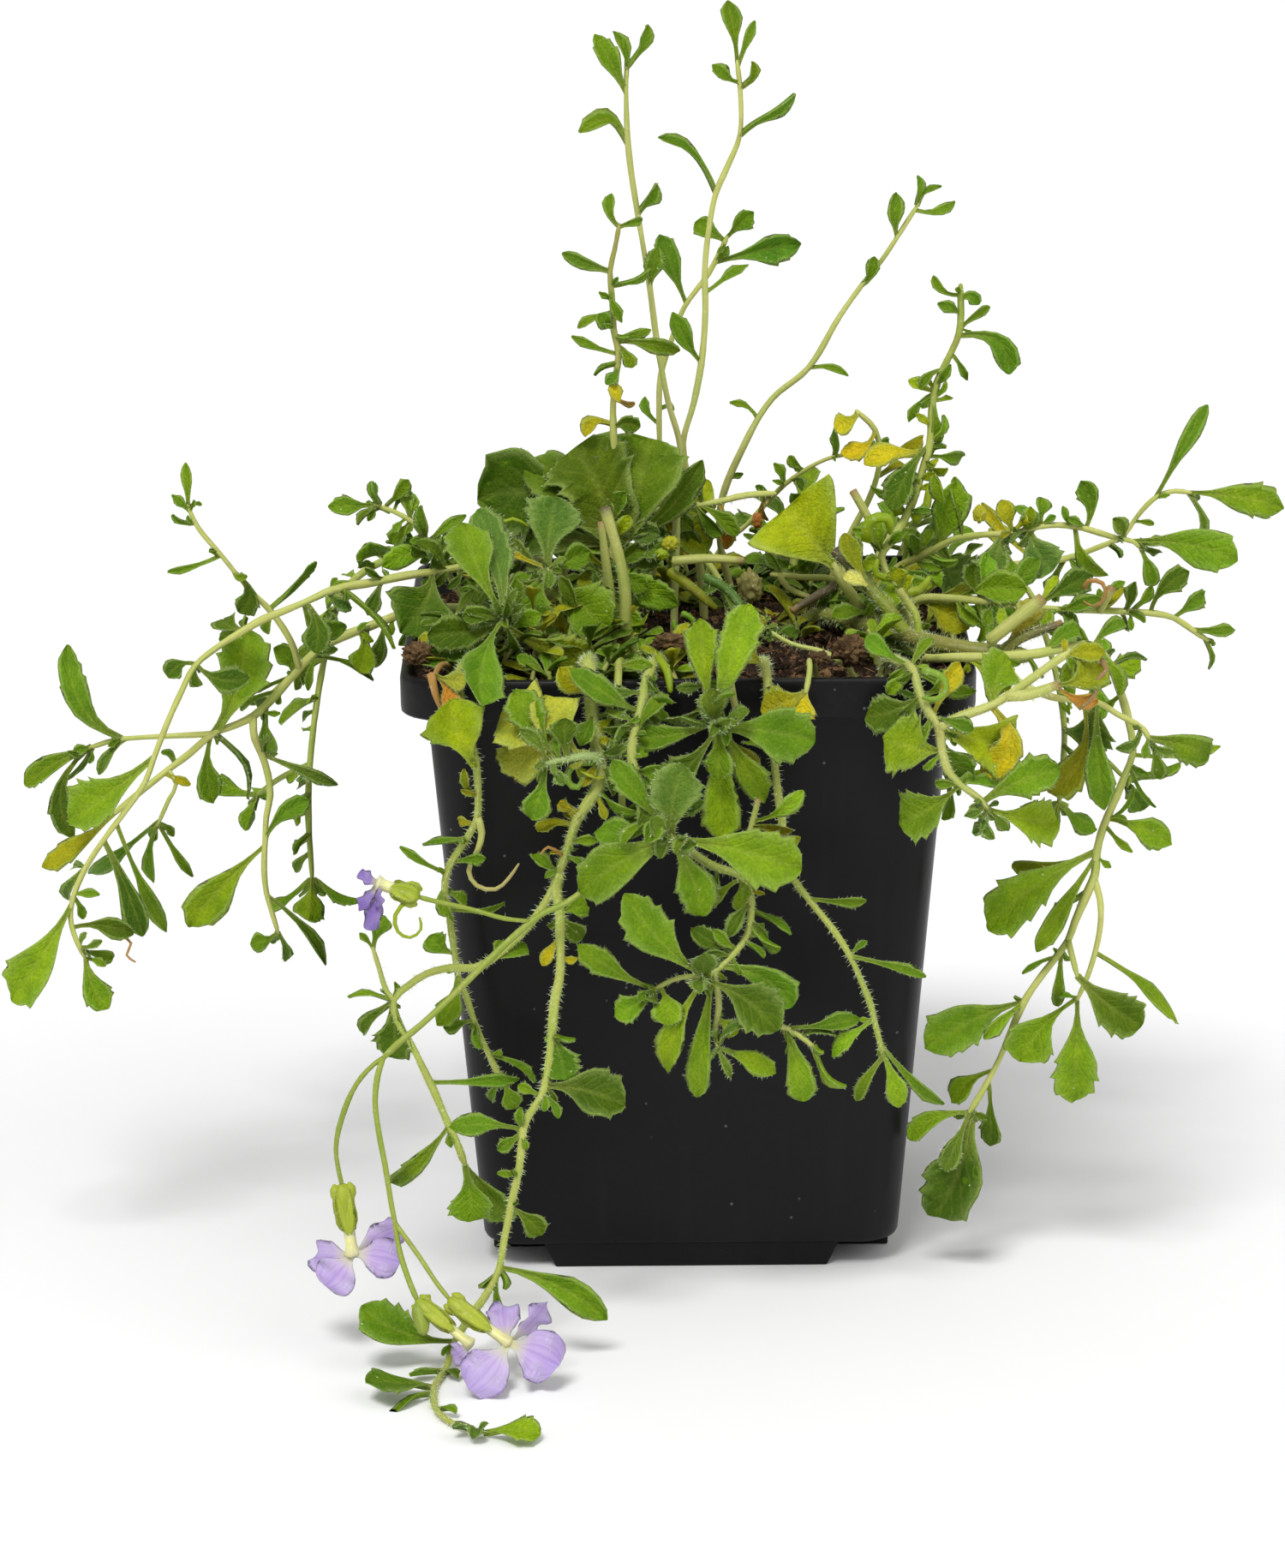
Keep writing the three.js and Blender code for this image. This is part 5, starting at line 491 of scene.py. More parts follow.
# Short shoots with small leaves between the sprays: piece, x and y they stand in, count, height
fill = {"seed": 31, "radii": (0.6, 0.4), "leaves": (5, 4), "length": (4, 4.5), "width": (0.36, 0.18), "patches": [
    ("crown_fill_left", (-37, -9), (-27, 12), 16, 11), ("crown_fill_right", (29, 40), (-25, 10), 10, 9),
    ("crown_fill_back", (-37, 38), (14, 38), 24, 8), ("crown_fill_middle", (-8, 20), (-8, 12), 3, 5),
    ("crown_fill_front", (-38, 3), (-39, -27), 16, 7)]}
goldenAngle = 2.4  # radians about the stem from one leaf to the next

# Curls, cut stalks and dry bits: piece, tone, radii, and the route (sighted x and z, and the depth y)
scraps = [
    ("crown_left", "c", (0.55, 0.35),
     [(-31.4, 111, -12), (-30.6, 114.6, -12), (-27.8, 116.2, -12), (-25.4, 115, -12)]),
    ("crown_left", "o", (0.9, 0.8), [(-2.6, 107.4, -10), (1, 104.6, -11), (4.8, 101.2, -12)]),
    ("crown_left", "s", (0.8, 0.7), [(-2, 109, -12), (3, 109.4, -12), (9.4, 109, -13)]),
    ("crown_left", "w", (1, 0.8), [(3, 106.4, -14), (6.6, 104.4, -15), (9, 101, -17), (10, 96.8, -20)]),
    ("crown_left", "l", (0.55, 0.45),
     [(-0.6, 100.4, -22), (1.2, 99.2, -22), (0.4, 97.2, -22), (-1.6, 97.4, -22), (-2, 99.2, -22)]),
    ("stem_curly_right", "s", (0.95, 0.8), [(29.8, 115.4, -9), (28.6, 117.6, -9), (27, 120.4, -9)]),
    ("stem_curly_right", "c", (1.3, 0.7),
     [(29.4, 112.4, -15), (29.8, 115.4, -16), (32.6, 115.8, -16), (33, 113.4, -15)]),
    ("stem_curly_right", "c", (1.2, 0.6), [(33.4, 106, -17), (30.8, 106.6, -17.4), (31, 109, -17.4)]),
    ("stem_curly_right", "c", (1.2, 0.7),
     [(34.6, 116.8, -7), (33.4, 119.6, -7.6), (34, 122, -8), (35.2, 120.6, -7.8)]),
    ("stem_curly_right", "c", (1.1, 0.6), [(37, 115.6, -8), (39, 118, -8.4), (39.2, 121, -8.6)]),
    ("right_middle", "c", (1.2, 0.6), [(35.4, 103.4, -19), (38, 104, -19.6), (39.4, 106, -19.8)]),
    ("right_front", "cut", (0.55, 0.35),
     [(67, 92.4, -50.4), (68.2, 90.4, -50.6), (66.4, 88.6, -51), (66.6, 86.6, -51), (64, 84, -51.4)]),
    ("stem_woody", "s", (1.25, 1.1), [(49.2, 95.4, -37), (53.6, 99, -37), (57.8, 102.4, -36.6)]),
    ("leaf_triangular", "bark", (1, 0.7), [(24, 104.6, -4), (20.6, 102.8, -6), (17.2, 100.6, -8)]),
    ("right_front", "curl", (0.8, 0.5),
     [(38.4, 90.6, -52), (41.4, 89.6, -52.4), (42.2, 87.6, -52.4), (40.8, 85.8, -52.4), (38.4, 86, -52)]),
    ("right_middle", "b", (0.5, 0.3),
     [(64.4, 104, -23), (65.2, 105.2, -23.6), (67.4, 104.8, -24), (67.8, 102.6, -24), (66, 101, -23.6),
      (64.4, 101.8, -23)]),
    ("leaf_dry_rim", "b", (0.8, 0.4), [(-41.4, 90.6, -47), (-40.8, 87.4, -48), (-39.8, 84.8, -48), (-38.4, 83, -48)]),
    ("rosettes_hanging", "curl", (0.9, 0.5),
     [(-15.2, 75.8, -54), (-18.8, 75, -54.6), (-19.4, 72.4, -54.8), (-17.8, 71.4, -54.8), (-17, 73.2, -54.6)]),
    ("rosettes_hanging", "c", (0.8, 0.6), [(-4.6, 93, -43), (-3, 90.6, -47), (-2.6, 87.4, -49)]),
    ("leaf_front_yellow", "s", (0.7, 0.6), [(7.2, 88.6, -48), (7.6, 86.2, -49), (8.2, 83.6, -50)]),
    ("flower_stalk", "c", (0.4, 0.25),
     [(-46, 52.6, -63), (-48, 50, -64), (-47.6, 47.2, -64.4), (-45.6, 46.2, -64.4), (-43.8, 47.6, -64),
      (-44, 49.6, -63.4)]),
    ("trail_front_left", "b", (0.35, 0.2), [(-20.6, 60, -54), (-22.8, 61.4, -55), (-24, 60.2, -55.4)]),
    ("trail_left_upper", "b", (0.3, 0.2),
     [(-93, 47, -28), (-91.4, 45.6, -28.6), (-92.2, 43.6, -29), (-90.8, 42.4, -29)]),
]

# Small leaves where the growth is thickest: spray, from and to on its route, count, size and tones
clusters = [("front_left_main", 0.6, 3.2, 14, 1, ["", "d", "w", "o"]),
            ("front_middle", 0.4, 5, 22, 1, ["", "d", "w"]),
            ("front_hub", 0.6, 4, 10, 1, ["", "w"]), ("flower_stalk", 0.5, 3.5, 10, 1, ["", "d", "c"]),
            ("front_left_main", 4, 9, 6, 0.7, ["", "c", "o"]), ("front_drop", 0, 4, 10, 1, ["", "d"]),
            ("right_middle", 0.6, 6, 12, 1, ["l", "c", "", "d"]), ("right_front", 0.5, 4, 10, 0.9, ["", "l", "c"]),
            ("right_upper", 0.8, 6, 11, 0.8, ["l", "c", ""]), ("upright_right", 0.6, 8, 22, 0.6, ["l", "c", ""]),
            ("woody_stem", 0.6, 2.4, 8, 0.8, ["c", "l", ""]), ("right_hanging", 0.6, 4, 8, 0.9, ["l", "", "c"]),
            ("right_high", 1, 6, 7, 0.8, ["l", "d"]), ("crown_stem", 0.4, 2, 24, 1, ["d", "", "w", "c"]),
            ("rosette_rim", 0.2, 1.6, 14, 1, ["", "d", "w"]), ("left_cluster", 0.5, 5, 14, 0.8, ["", "d", "l"]),
            ("left_upper", 0.8, 4, 12, 1, ["", "d"]), ("left_lower", 0.8, 4, 12, 1, ["", "d"]),
            ("hairy_twig", 0.6, 3, 14, 1, ["d", "", "y"])]

# Lumps on the soil and in the crown: piece, tone, centre (sighted x and z, depth y), and its half sizes
lumps = [("soil_clods", "clod", (27, 94, -38), (2.5, 2.2, 2)),
         ("soil_clods", "clod", (21.6, 92.8, -41), (1.4, 1.2, 0.9)),
         ("soil_clods", "clod", (-43.6, 94, -36), (2, 2, 1.6)),
         ("soil_clods", "knob", (10.4, 104.6, -8), (1.9, 1.7, 2.5)),
         ("soil_clods", "clod", (-2.6, 95.6, -36), (2.2, 1.6, 1.3)),
         ("crown_left", "y", (-2.4, 112, -11), (1.3, 0.9, 1.1)),
         ("crown_left", "c", (-3.8, 110.2, -11), (1.1, 0.8, 1)),
         ("crown_left", "orange", (11.6, 115.6, 1), (0.8, 0.6, 1.3)),
         ("crown_left", "orange", (12.6, 113.4, 1), (0.7, 0.6, 0.8)),
         ("trail_right_upper", "y", (47.4, 116.4, -10), (1, 0.6, 1.4))]

pot = {"height": 100, "rimHalf": 45, "lipHeight": 6.4, "wallTopHalf": 41, "wallBottomHalf": 33.3, "wall": 1.2,
       "lipTaper": 2.4, "lipWall": 1.4, "lipEdge": 0.4, "footHeight": 4, "footTopHalf": 24, "footBottomHalf": 21.8,
       "footLength": 32, "rimCorner": 8, "baseCorner": 6.5, "drainCentre": 27.4, "drainReach": 7.4,
       "drainWidth": 4.6, "cornerSteps": 12, "softEdge": 0.35}
soil = {"height": 95.6, "rise": 2.6, "roughness": 0.9, "rootDepth": 8, "over": 2.6, "cells": 110, "depth": 5}

leafShape = {"thickness": 0.24, "ribThickness": 0.42, "ribWidth": 0.2, "keel": 0.2, "swell": 0.07, "petiole": 0.74,
             "fanWidth": 14, "largeWidth": 9, "toothedWidth": 5, "narrowWidth": 2.7, "ruffle": 0.07, "twist": 0.35,
             "curl": 0.3, "curlFrom": 0.45, "groove": 0.09, "grooveWidth": 0.16, "pucker": 0.02, "marginDown": 15.0,
             "shade": 0.1, "warmth": 0.07, "underside": 0.14}
toothShape = {"leastWidth": 3, "first": 0.9, "apart": 0.14, "stray": 0.07, "size": (0.07, 0.17), "run": 0.09}
stemShape = {"sides": 8, "step": 1.8, "unevenness": 0.08, "taper": 0.7, "girth": 0.98, "stubGirth": 0.85,
             "ridge": 0.06, "shade": 0.04}
roundShape = {"rings": 13, "sides": 14}
axilShape = {"length": (1.6, 2.6), "width": (0.36, 0.2), "turn": (0.5, 0.9), "petiole": 0.5}
clusterShape = {"length": (3, 5), "width": (0.34, 0.2), "widest": 3.4, "petiole": 0.6}
rosetteShape = {"length": (6, 4), "width": (0.44, 0.14), "heart": 4, "heartLength": (2, 2), "heartWidth": 0.45}
woolly = 3.2

# Colours in daylight, red, green and blue from 0 to 255
tones = {"": (92, 130, 18), "l": (116, 152, 22), "d": (68, 98, 10), "y": (178, 172, 26), "o": (140, 146, 18),
         "c": (146, 166, 14), "b": (176, 130, 70), "w": (80, 112, 34), "g": (86, 116, 12), "p": (168, 178, 70),
         "s": (184, 184, 104), "curl": (126, 156, 46), "stem": (194, 196, 112), "upright": (200, 200, 128),
         "young": (150, 164, 66), "fresh": (174, 180, 90), "wood": (146, 146, 70), "bark": (100, 88, 66),
         "cut": (160, 128, 86), "calyx": (166, 176, 52), "lilac": (172, 152, 206), "violet": (112, 84, 164),
         "throat": (214, 212, 150), "dry": (190, 168, 116), "clod": (142, 104, 74), "knob": (140, 130, 74),
         "orange": (170, 104, 34), "downy": (158, 176, 112)}

# How downy the stems of a spray or node are, and how many small leaves sit in the axils
downOf = {"": 1.2, "front_left_woolly": 12, "left_front_dry": 0.8, "trail_front_left": 7, "rosettes_hanging": 6,
          "rosette_front": 6, "stem_front_long": 6, "trail_left_front": 6, "stem_hairy_twig": 5, "stem_fuzzy": 8,
          "right_front": 6, "flower_stalk": 0.5, "crown_left": 1.6, "stem_woody": 7, "stem_upright_left": 0.5,
          "stem_upright_tall": 0.5, "stem_upright_leaning": 0.6, "stem_arching": 0.5}
axilOf = {"": 0.4, "stem_curly_right": 1.4, "stem_low_twig": 1.0, "right_middle": 0.6, "trail_right_upper": 0.5,
          "right_front": 0.7, "rosettes_hanging": 0.8, "trail_front_left": 0.9, "trail_left_front": 0.7,
          "crown_left": 0.7, "rosette_left": 0.6, "rosette_rim": 0.8, "rosette_front": 0.5, "left_cluster": 0.7,
          "trail_left_upper": 0.35, "trail_left_lower": 0.4, "stem_upright_left": 0.1, "stem_upright_tall": 0.1,
          "stem_arching": 0.1}


def tone(name):
    channels = np.array(tones[name], float) / 255
    return np.where(channels <= 0.04045, channels / 12.92, ((channels + 0.055) / 1.055) ** 2.4)


def unit(vector):
    vector = np.asarray(vector, float)
    return vector / np.maximum(np.linalg.norm(vector, axis=-1, keepdims=True), 1e-9)


def turned(vector, axis, angle):
    axis = unit(axis)
    return (vector * math.cos(angle) + np.cross(axis, vector) * math.sin(angle)
            + axis * np.dot(axis, vector) * (1 - math.cos(angle)))


def sighted(x, z, y):
    scale = 1 - y / eye[1]
    return np.array([eye[0] + (x - eye[0]) * scale, y, eye[2] + (z - eye[2]) * scale])


def makeDraw(seed):
    state = [seed]

    def draw():
        state[0] = (state[0] * 1664525 + 1013904223) % 4294967296
        return state[0] / 4294967296
    return draw


# The smooth curve through a line's points
def pointsOn(line, at):
    at = np.atleast_1d(np.asarray(at, float))
    chords = np.diff(line, axis=0)
    lengths = np.linalg.norm(chords, axis=1)
    ways = unit(chords)
    ways = np.vstack([ways[:1], unit(ways[:-1] + ways[1:]), ways[-1:]])
    i = np.clip(at.astype(int), 0, len(line) - 2)
    t = np.clip(at - i, 0, 1)[:, None]
    reach = lengths[i][:, None]
    return ((2 * t**3 - 3 * t**2 + 1) * line[i] + (t**3 - 2 * t**2 + t) * ways[i] * reach
            + (3 * t**2 - 2 * t**3) * line[i + 1] + (t**3 - t**2) * ways[i + 1] * reach)


def pointOn(line, at):
    return pointsOn(line, at)[0]


# The start of a stem, from its root in the soil to just above it
def rooted(x, y, over):
    return [np.array([x, y, soil["height"] + up], float) for up in (-soil["rootDepth"], over)]


# A leaf's tip, a length away from its root, at an angle about the stem and a tilt upwards
def tipAt(root, length, angle, tilt):
    flat = length * math.cos(tilt)
    return root + np.array([flat * math.cos(angle), flat * math.sin(angle), length * math.sin(tilt)])


# What grows on each piece, gathered before the meshes are made
growth = {}
random = np.random.default_rng(12)


def some(pair, share):
    return pair[0] + pair[1] * share


def drawn(pair):
    return some(pair, random.random())


def eitherWay():
    return random.choice([-1, 1])


def gather(node, finish, points, faces, tint, flow, down, comb, reach=1.0):
    count = len(points)
    growth.setdefault(node, []).append({
        "finish": finish, "points": points, "faces": faces, "tint": np.broadcast_to(tint, (count, 3)), "flow": flow,
        "down": np.broadcast_to(down, (count,)), "comb": comb, "reach": np.broadcast_to(reach, (count,))})


# Quads between rings, and fans to the poles
def ringFaces(rings, count):
    i, j = np.meshgrid(np.arange(rings - 1), np.arange(count), indexing="ij")
    a, b = i * count + j, i * count + (j + 1) % count
    quads = np.stack([a, b, b + count, a + count], -1).reshape(-1, 4).tolist()
    k = np.arange(count)
    last, pole = (rings - 1) * count, rings * count
    quads += np.stack([np.full(count, pole), (k + 1) % count, k], -1).tolist()
    quads += np.stack([np.full(count, pole + 1), last + k, last + (k + 1) % count], -1).tolist()
    return quads


# Where a blade is how wide, as shares of its length and width, and in how many steps it is drawn
outlines = {
    "toothed": ([(0, 0.12), (0.18, 0.15), (0.36, 0.38), (0.52, 0.76), (0.66, 0.98), (0.79, 0.97), (0.9, 0.72),
                 (0.96, 0.4), (1, 0.08)], 12),
    "plain": ([(0, 0.14), (0.2, 0.18), (0.4, 0.42), (0.55, 0.78), (0.68, 0.98), (0.81, 0.9), (0.92, 0.58),
               (1, 0.08)], 9),
    "narrow": ([(0, 0.26), (0.3, 0.36), (0.54, 0.74), (0.74, 0.98), (0.9, 0.56), (1, 0.06)], 7),
    "wedge": ([(0, 0.1), (0.12, 0.14), (0.3, 0.34), (0.5, 0.6), (0.7, 0.84), (0.88, 1), (0.95, 1), (0.985, 0.86),
               (1, 0.7)], 18),
    "crest": ([(0, 0.14), (0.14, 0.2), (0.3, 0.46), (0.5, 0.84), (0.68, 1.04), (0.84, 1.12), (0.93, 1.02),
               (0.985, 0.84), (1, 0.66)], 20),
    "fan": ([(0, 0.1), (0.2, 0.14), (0.36, 0.34), (0.56, 0.76), (0.72, 1), (0.84, 0.92), (0.93, 0.55),
             (1, 0.08)], 18),
    "sepal": ([(0, 0.7), (0.3, 1), (0.7, 0.85), (0.9, 0.5), (1, 0.1)], 7),
    "petal": ([(0, 0.14), (0.14, 0.17), (0.28, 0.4), (0.42, 0.76), (0.58, 0.97), (0.74, 1), (0.88, 0.84),
               (0.96, 0.58), (1, 0.24)], 15),
}
outlines = {form: (pointsOn(np.array(shares, float), np.linspace(0, len(shares) - 1, 60)), steps)
            for form, (shares, steps) in outlines.items()}

# How a blade is divided across, from the middle to its edge, above each width
ringPlaces = [(11, (0.12, 0.36, 0.58, 0.78, 0.93, 1)), (6.5, (0.14, 0.5, 0.86, 1)), (3.2, (0.18, 0.66, 1)),
              (0, (0.5, 1))]


def formOf(width):
    if width > leafShape["fanWidth"]:
        return "fan"
    if width > leafShape["toothedWidth"]:
        return "toothed"
    return "plain" if width > leafShape["narrowWidth"] else "narrow"


# Small teeth, each with its side, its place and its size
def drawTeeth(width):
    wide = width > leafShape["toothedWidth"]
    teeth = []
    for sign in (-1, 1):
        for k in range(random.integers(wide, 4 if wide else 3)):
            at = toothShape["first"] - toothShape["apart"] * k - toothShape["stray"] * random.random()
            teeth.append((sign, at, drawn(toothShape["size"])))
    return teeth


def growLeaf(node, root, tip, width, facing, bow, tint, form=None, finish="leaf", down=1.0,
             petiole=leafShape["petiole"], curly=0):
    form = form or formOf(width)
    green = form not in ("petal", "sepal", "wedge")
    soft, large = form == "petal", width > leafShape["largeWidth"]
    chord = tip - root
    length = np.linalg.norm(chord)
    way = unit(chord)
    front = unit(facing - way * np.dot(way, facing))
    side = unit(np.cross(front, way))
    middle = (root + tip) / 2 + side * 2 * bow + front * 2 * leafShape["swell"] * length
    teeth = drawTeeth(width) if green and width > toothShape["leastWidth"] else []
    outline, steps = outlines[form]
    s = 1 - (1 - np.linspace(0, 1, steps)) ** 1.25
    stations = [*np.clip(s, 0.006, 0.985)]
    besideTooth = (-0.04, -0.003, 0.024) if width > leafShape["toothedWidth"] else (-0.003, 0.024)
    stations += [at + step for _, at, _ in teeth for step in besideTooth]
    s = np.unique(np.round(stations, 4))
    # no two blades have quite the same outline, and their two halves differ
    lean, fine = 1 + 0.12 * random.normal() * green, 1 + 0.18 * random.normal() * green
    halves = {}
    for sign in (-1, 1):
        share = np.clip(np.interp(s ** max(lean, 0.8), outline[:, 0], outline[:, 1]), 0.02, 1)
        share = share ** np.clip(fine, 0.75, 1.3)
        share = share * (1 + (0.07 + 0.07 * large) * np.sin(11 * s + random.random() * 6.28) * green)
        half = np.maximum(share * width, petiole * (1 - 0.3 * s)) / 2
        half = np.where(s > 0.97, half * 0.7, half)
        for toothSide, at, size in teeth:
            if toothSide == sign:
                rise = np.clip((s - at + toothShape["run"]) / toothShape["run"], 0, 1) ** 1.6
                half = half * (1 + size * rise * (s <= at) - 0.07 * (s > at) * np.clip(1 - (s - at) / 0.1, 0, 1))
        halves[sign] = half
    # the midrib bends from the root over the middle to the tip, and curls back at its end
    s = s[:, None]
    outer = np.clip(s - leafShape["curlFrom"], 0, 1)
    curl = (leafShape["curl"] * (random.normal() * 0.8 + 0.35) + curly * (0.4 + random.random())) * green
    centre = (1 - s) ** 2 * root + 2 * s * (1 - s) * middle + s**2 * tip - front * outer**2 * curl * length
    heading = unit(2 * (1 - s) * (middle - root) + 2 * s * (tip - middle) - front * 2 * outer * curl * length)
    face = unit(front - heading * (heading @ front)[:, None])
    across = unit(np.cross(face, heading))
    twist = (leafShape["twist"] * random.normal() * green) * np.clip(s - 0.2, 0, 1)
    across, face = across * np.cos(twist) + face * np.sin(twist), face * np.cos(twist) - across * np.sin(twist)
    # across the blade: a keel, a wavy margin, a groove over the midrib, and puckers between the veins
    t = np.array(next(places for least, places in ringPlaces if width > least))
    t = np.concatenate([-t[::-1], [0], t])
    half = np.where(t < 0, halves[-1][:, None], halves[1][:, None])
    phase = random.random() * 6.28
    wavy = leafShape["ruffle"] * (1 + 1.6 * soft + 1.3 * large) * (0.3 if form == "wedge" else 1)
    cup = leafShape["keel"] * (1 - 0.6 * soft) * (0.1 + 1.7 * random.random()) + curly * random.random()
    ruffle = wavy * width * np.sin((7 + 9 * soft) * s + phase + 2 * t) * np.abs(t) ** 2
    lift = cup * half * np.abs(t) ** 1.5 + ruffle * np.clip(s * 2.5 - 0.6, 0, 1)
    groove = leafShape["groove"] * width**0.5 * np.exp(-(t / leafShape["grooveWidth"]) ** 2) * (s > 0.08) * (1 - soft)
    pucker = leafShape["pucker"] * width * np.sin(26 * s - 9 * np.abs(t) + phase) * np.abs(t) * (1 - np.abs(t)) * 4
    lift = (lift - groove + pucker * (1 - soft))[..., None]
    top = centre[:, None] + across[:, None] * (half * t)[..., None] + face[:, None] * lift
    rib = leafShape["ribThickness"] * np.exp(-(t / leafShape["ribWidth"]) ** 2) * (1.15 - s)
    body = (leafShape["thickness"] * (1 - 0.5 * np.abs(t)) + rib) * (1 - 0.5 * soft)
    inner = slice(-2, 0, -1)
    bottom = (top - face[:, None] * body[..., None])[:, inner]
    ring = np.concatenate([top, bottom], 1)
    n, m = ring.shape[:2]
    points = np.vstack([ring.reshape(-1, 3), root - way * 0.1, centre[-1] + heading[-1] * 0.015 * length])
    # hairs stand on both faces, and thickest along the margin of the upper one
    ringT = np.concatenate([t, t[inner]])
    upper = np.concatenate([np.ones(len(t)), -np.ones(len(t) - 2)])
    ringDown = 0.45 * down + leafShape["marginDown"] * np.abs(ringT) ** 10 * (upper > 0) * min(down, 1.5)
    ringReach = 0.25 + 0.4 * (np.abs(ringT) > 0.9) + 0.25 * (down > 2)
    flow = np.stack(np.broadcast_arrays(ringT, s, upper), -1)
    flow = np.vstack([flow.reshape(-1, 3), [0, 0, 1], [0, 1, 1]])
    comb = (across[:, None] * (ringT**5)[None, :, None] * 1.7 + face[:, None] * upper[None, :, None] * 0.5
            + heading[:, None] * 0.45)
    comb = np.vstack([comb.reshape(-1, 3), -way, way])
    # each leaf has its own shade, and its underside is a little paler
    warmth = leafShape["warmth"] * random.normal() * green
    shade = (1 + leafShape["shade"] * random.normal() * green) * np.array([1 + warmth, 1, 1 - 4 * warmth])
    tints = np.tile(tint * (shade * (1 + leafShape["underside"] * (upper[:, None] < 0))), (n, 1))
    gather(node, finish, points, ringFaces(n, m), np.vstack([tints, tints[:1], tints[:1]]), flow,
           np.append(np.tile(ringDown, n), [0, down]), comb, np.append(np.tile(ringReach, n), [0.5, 0.5]))


# Gathers a body of round rings, closed by a pole at each end
def gatherRings(node, finish, ring, poles, along, tint, down, comb, reach):
    n, m = ring.shape[:2]
    angle = np.arange(m) / m * 2 * math.pi
    flow = np.stack(np.broadcast_arrays((angle / 6.2832)[None, :], along[:, None], np.float64(1)), -1).reshape(-1, 3)
    gather(node, finish, np.vstack([ring.reshape(-1, 3), *poles]), ringFaces(n, m), tint,
           np.vstack([flow, [0, 0, 1], [0, along[-1], 1]]), down, comb, reach)


def growStem(node, line, radii, tint, down=0.8, endTint=None, cut=None):
    at = [0.0]
    for i, reach in enumerate(np.linalg.norm(np.diff(line, axis=0), axis=1)):
        parts = max(2, int(math.ceil(reach / stemShape["step"])))
        at += [i + (k + 1) / parts for k in range(parts)]
    centre = pointsOn(line, at)
    heading = unit(np.gradient(centre, axis=0))
    side = np.array([0.3, 1, 0.1])
    sides = []
    for way in heading:
        side = unit(side - way * np.dot(side, way))
        sides.append(side)
    sides = np.array(sides)
    across = np.cross(heading, sides)
    n, m = len(centre), stemShape["sides"]
    reach = np.concatenate([[0], np.cumsum(np.linalg.norm(np.diff(centre, axis=0), axis=1))])
    share = reach / reach[-1]
    radius = (radii[0] + (radii[1] - radii[0]) * share ** stemShape["taper"]) * stemShape["girth"]
    radius = radius * (stemShape["stubGirth"] if node.startswith("stem_stub") else 1)
    uneven = np.convolve(random.normal(size=n + 4), np.ones(5) / 5, "valid")[:n]
    radius = radius * (0.92 + stemShape["unevenness"] * 2 * uneven)
    radius[-1] *= 0.7 if cut is None else 0.94
    angle = np.arange(m) / m * 2 * math.pi
    out = sides[:, None] * np.cos(angle)[None, :, None] + across[:, None] * np.sin(angle)[None, :, None]
    ridge = 1 + stemShape["ridge"] * np.cos(3 * angle + 0.3 * reach[:, None])[..., None]
    ring = centre[:, None] + out * radius[:, None, None] * ridge
    endReach = 0.8 if cut is None else 0.2
    poles = centre[0] - heading[0] * radius[0] * 0.5, centre[-1] + heading[-1] * radius[-1] * endReach
    comb = np.vstack([(out + heading[:, None] * 0.25).reshape(-1, 3), -heading[0], heading[-1]])
    endTint = tint if endTint is None else endTint
    tints = tint * (1 - share[:, None]) + endTint * share[:, None]
    if cut is not None:
        tints[-1] = cut
    tints = np.repeat(tints, m, 0) * (1 + stemShape["shade"] * random.normal())
    gatherRings(node, "stem", ring, poles, reach / 10, np.vstack([tints, tints[:1], tints[-1:]]), down, comb,
                1.05 if down > 1.7 else 0.8)


# A closed round body along an axis: its profile pairs a share of its length with a radius
def growRound(node, start, end, profile, tint, finish="stem", down=1.0, lobes=0.08):
    axis = unit(end - start)
    side = unit(np.array([0, 1, 0.2]) - axis * np.dot(axis, [0, 1, 0.2]))
    across = np.cross(axis, side)
    s = np.linspace(0, 1, roundShape["rings"])
    radius = np.interp(s, *zip(*profile))
    angle = np.arange(roundShape["sides"]) / roundShape["sides"] * 2 * math.pi
    out = side * np.cos(angle)[:, None] + across * np.sin(angle)[:, None]
    around = (radius[:, None] * (1 + lobes * np.cos(4 * angle)))[..., None]
    ring = (start + (end - start) * s[:, None])[:, None] + out[None] * around
    comb = np.vstack([np.tile(out + axis * 0.3, (len(s), 1)), -axis, axis])
    gatherRings(node, finish, ring, (start, end), s, tint, down, comb, 0.6)


lines = {}


def lineFrom(spray):
    if spray["lies"]:
        own = [np.array([x, y, spray["radii"][0] + 0.15]) for x, y in spray["route"]]
    else:
        own = [sighted(*point) for point in spray["route"]]
    start = spray["start"]
    if "foot" in start:
        before = rooted(*start["foot"], soil["over"])
    else:
        parent, offset = lines[start["parent"]]
        before = [pointOn(parent, start["at"] + offset)]
    return np.array(before + own), len(before)


# A stem's colour at its root and at its end, and the colour of its cut where it was cut off
stemTones = {"woody_stem": ("wood", "wood"), "woody_diagonal": ("c", "bark", "bark"),
             "woody_pale_stub": ("c", "s", "s"), "brown_stub": ("wood", "bark", "cut"),
             "front_stub": ("young", "s", "bark"), "front_stub_back": ("young", "s", "cut"),
             "cross_stub": ("s", "s", "cut"), "left_front_dry": ("stem", "dry"), "rim_leaf_dry": ("dry", "b"),
             "front_left_woolly": ("downy", "downy"), "crown_stem": ("wood", "stem"),
             "upright_curly": ("stem", "wood"), "upright_right": ("stem", "young"),
             "flower_stalk": ("fresh", "young")}
stemTones.update(dict.fromkeys(("right_stubs", "right_front_stub", "front_stub_low"), ("stem", "s", "cut")))
stemTones.update(dict.fromkeys(("front_left_main", "front_left_long", "front_left_side", "front_left_laid",
                                "front_middle", "front_drop", "left_front_main", "front_long"), ("fresh", "fresh")))


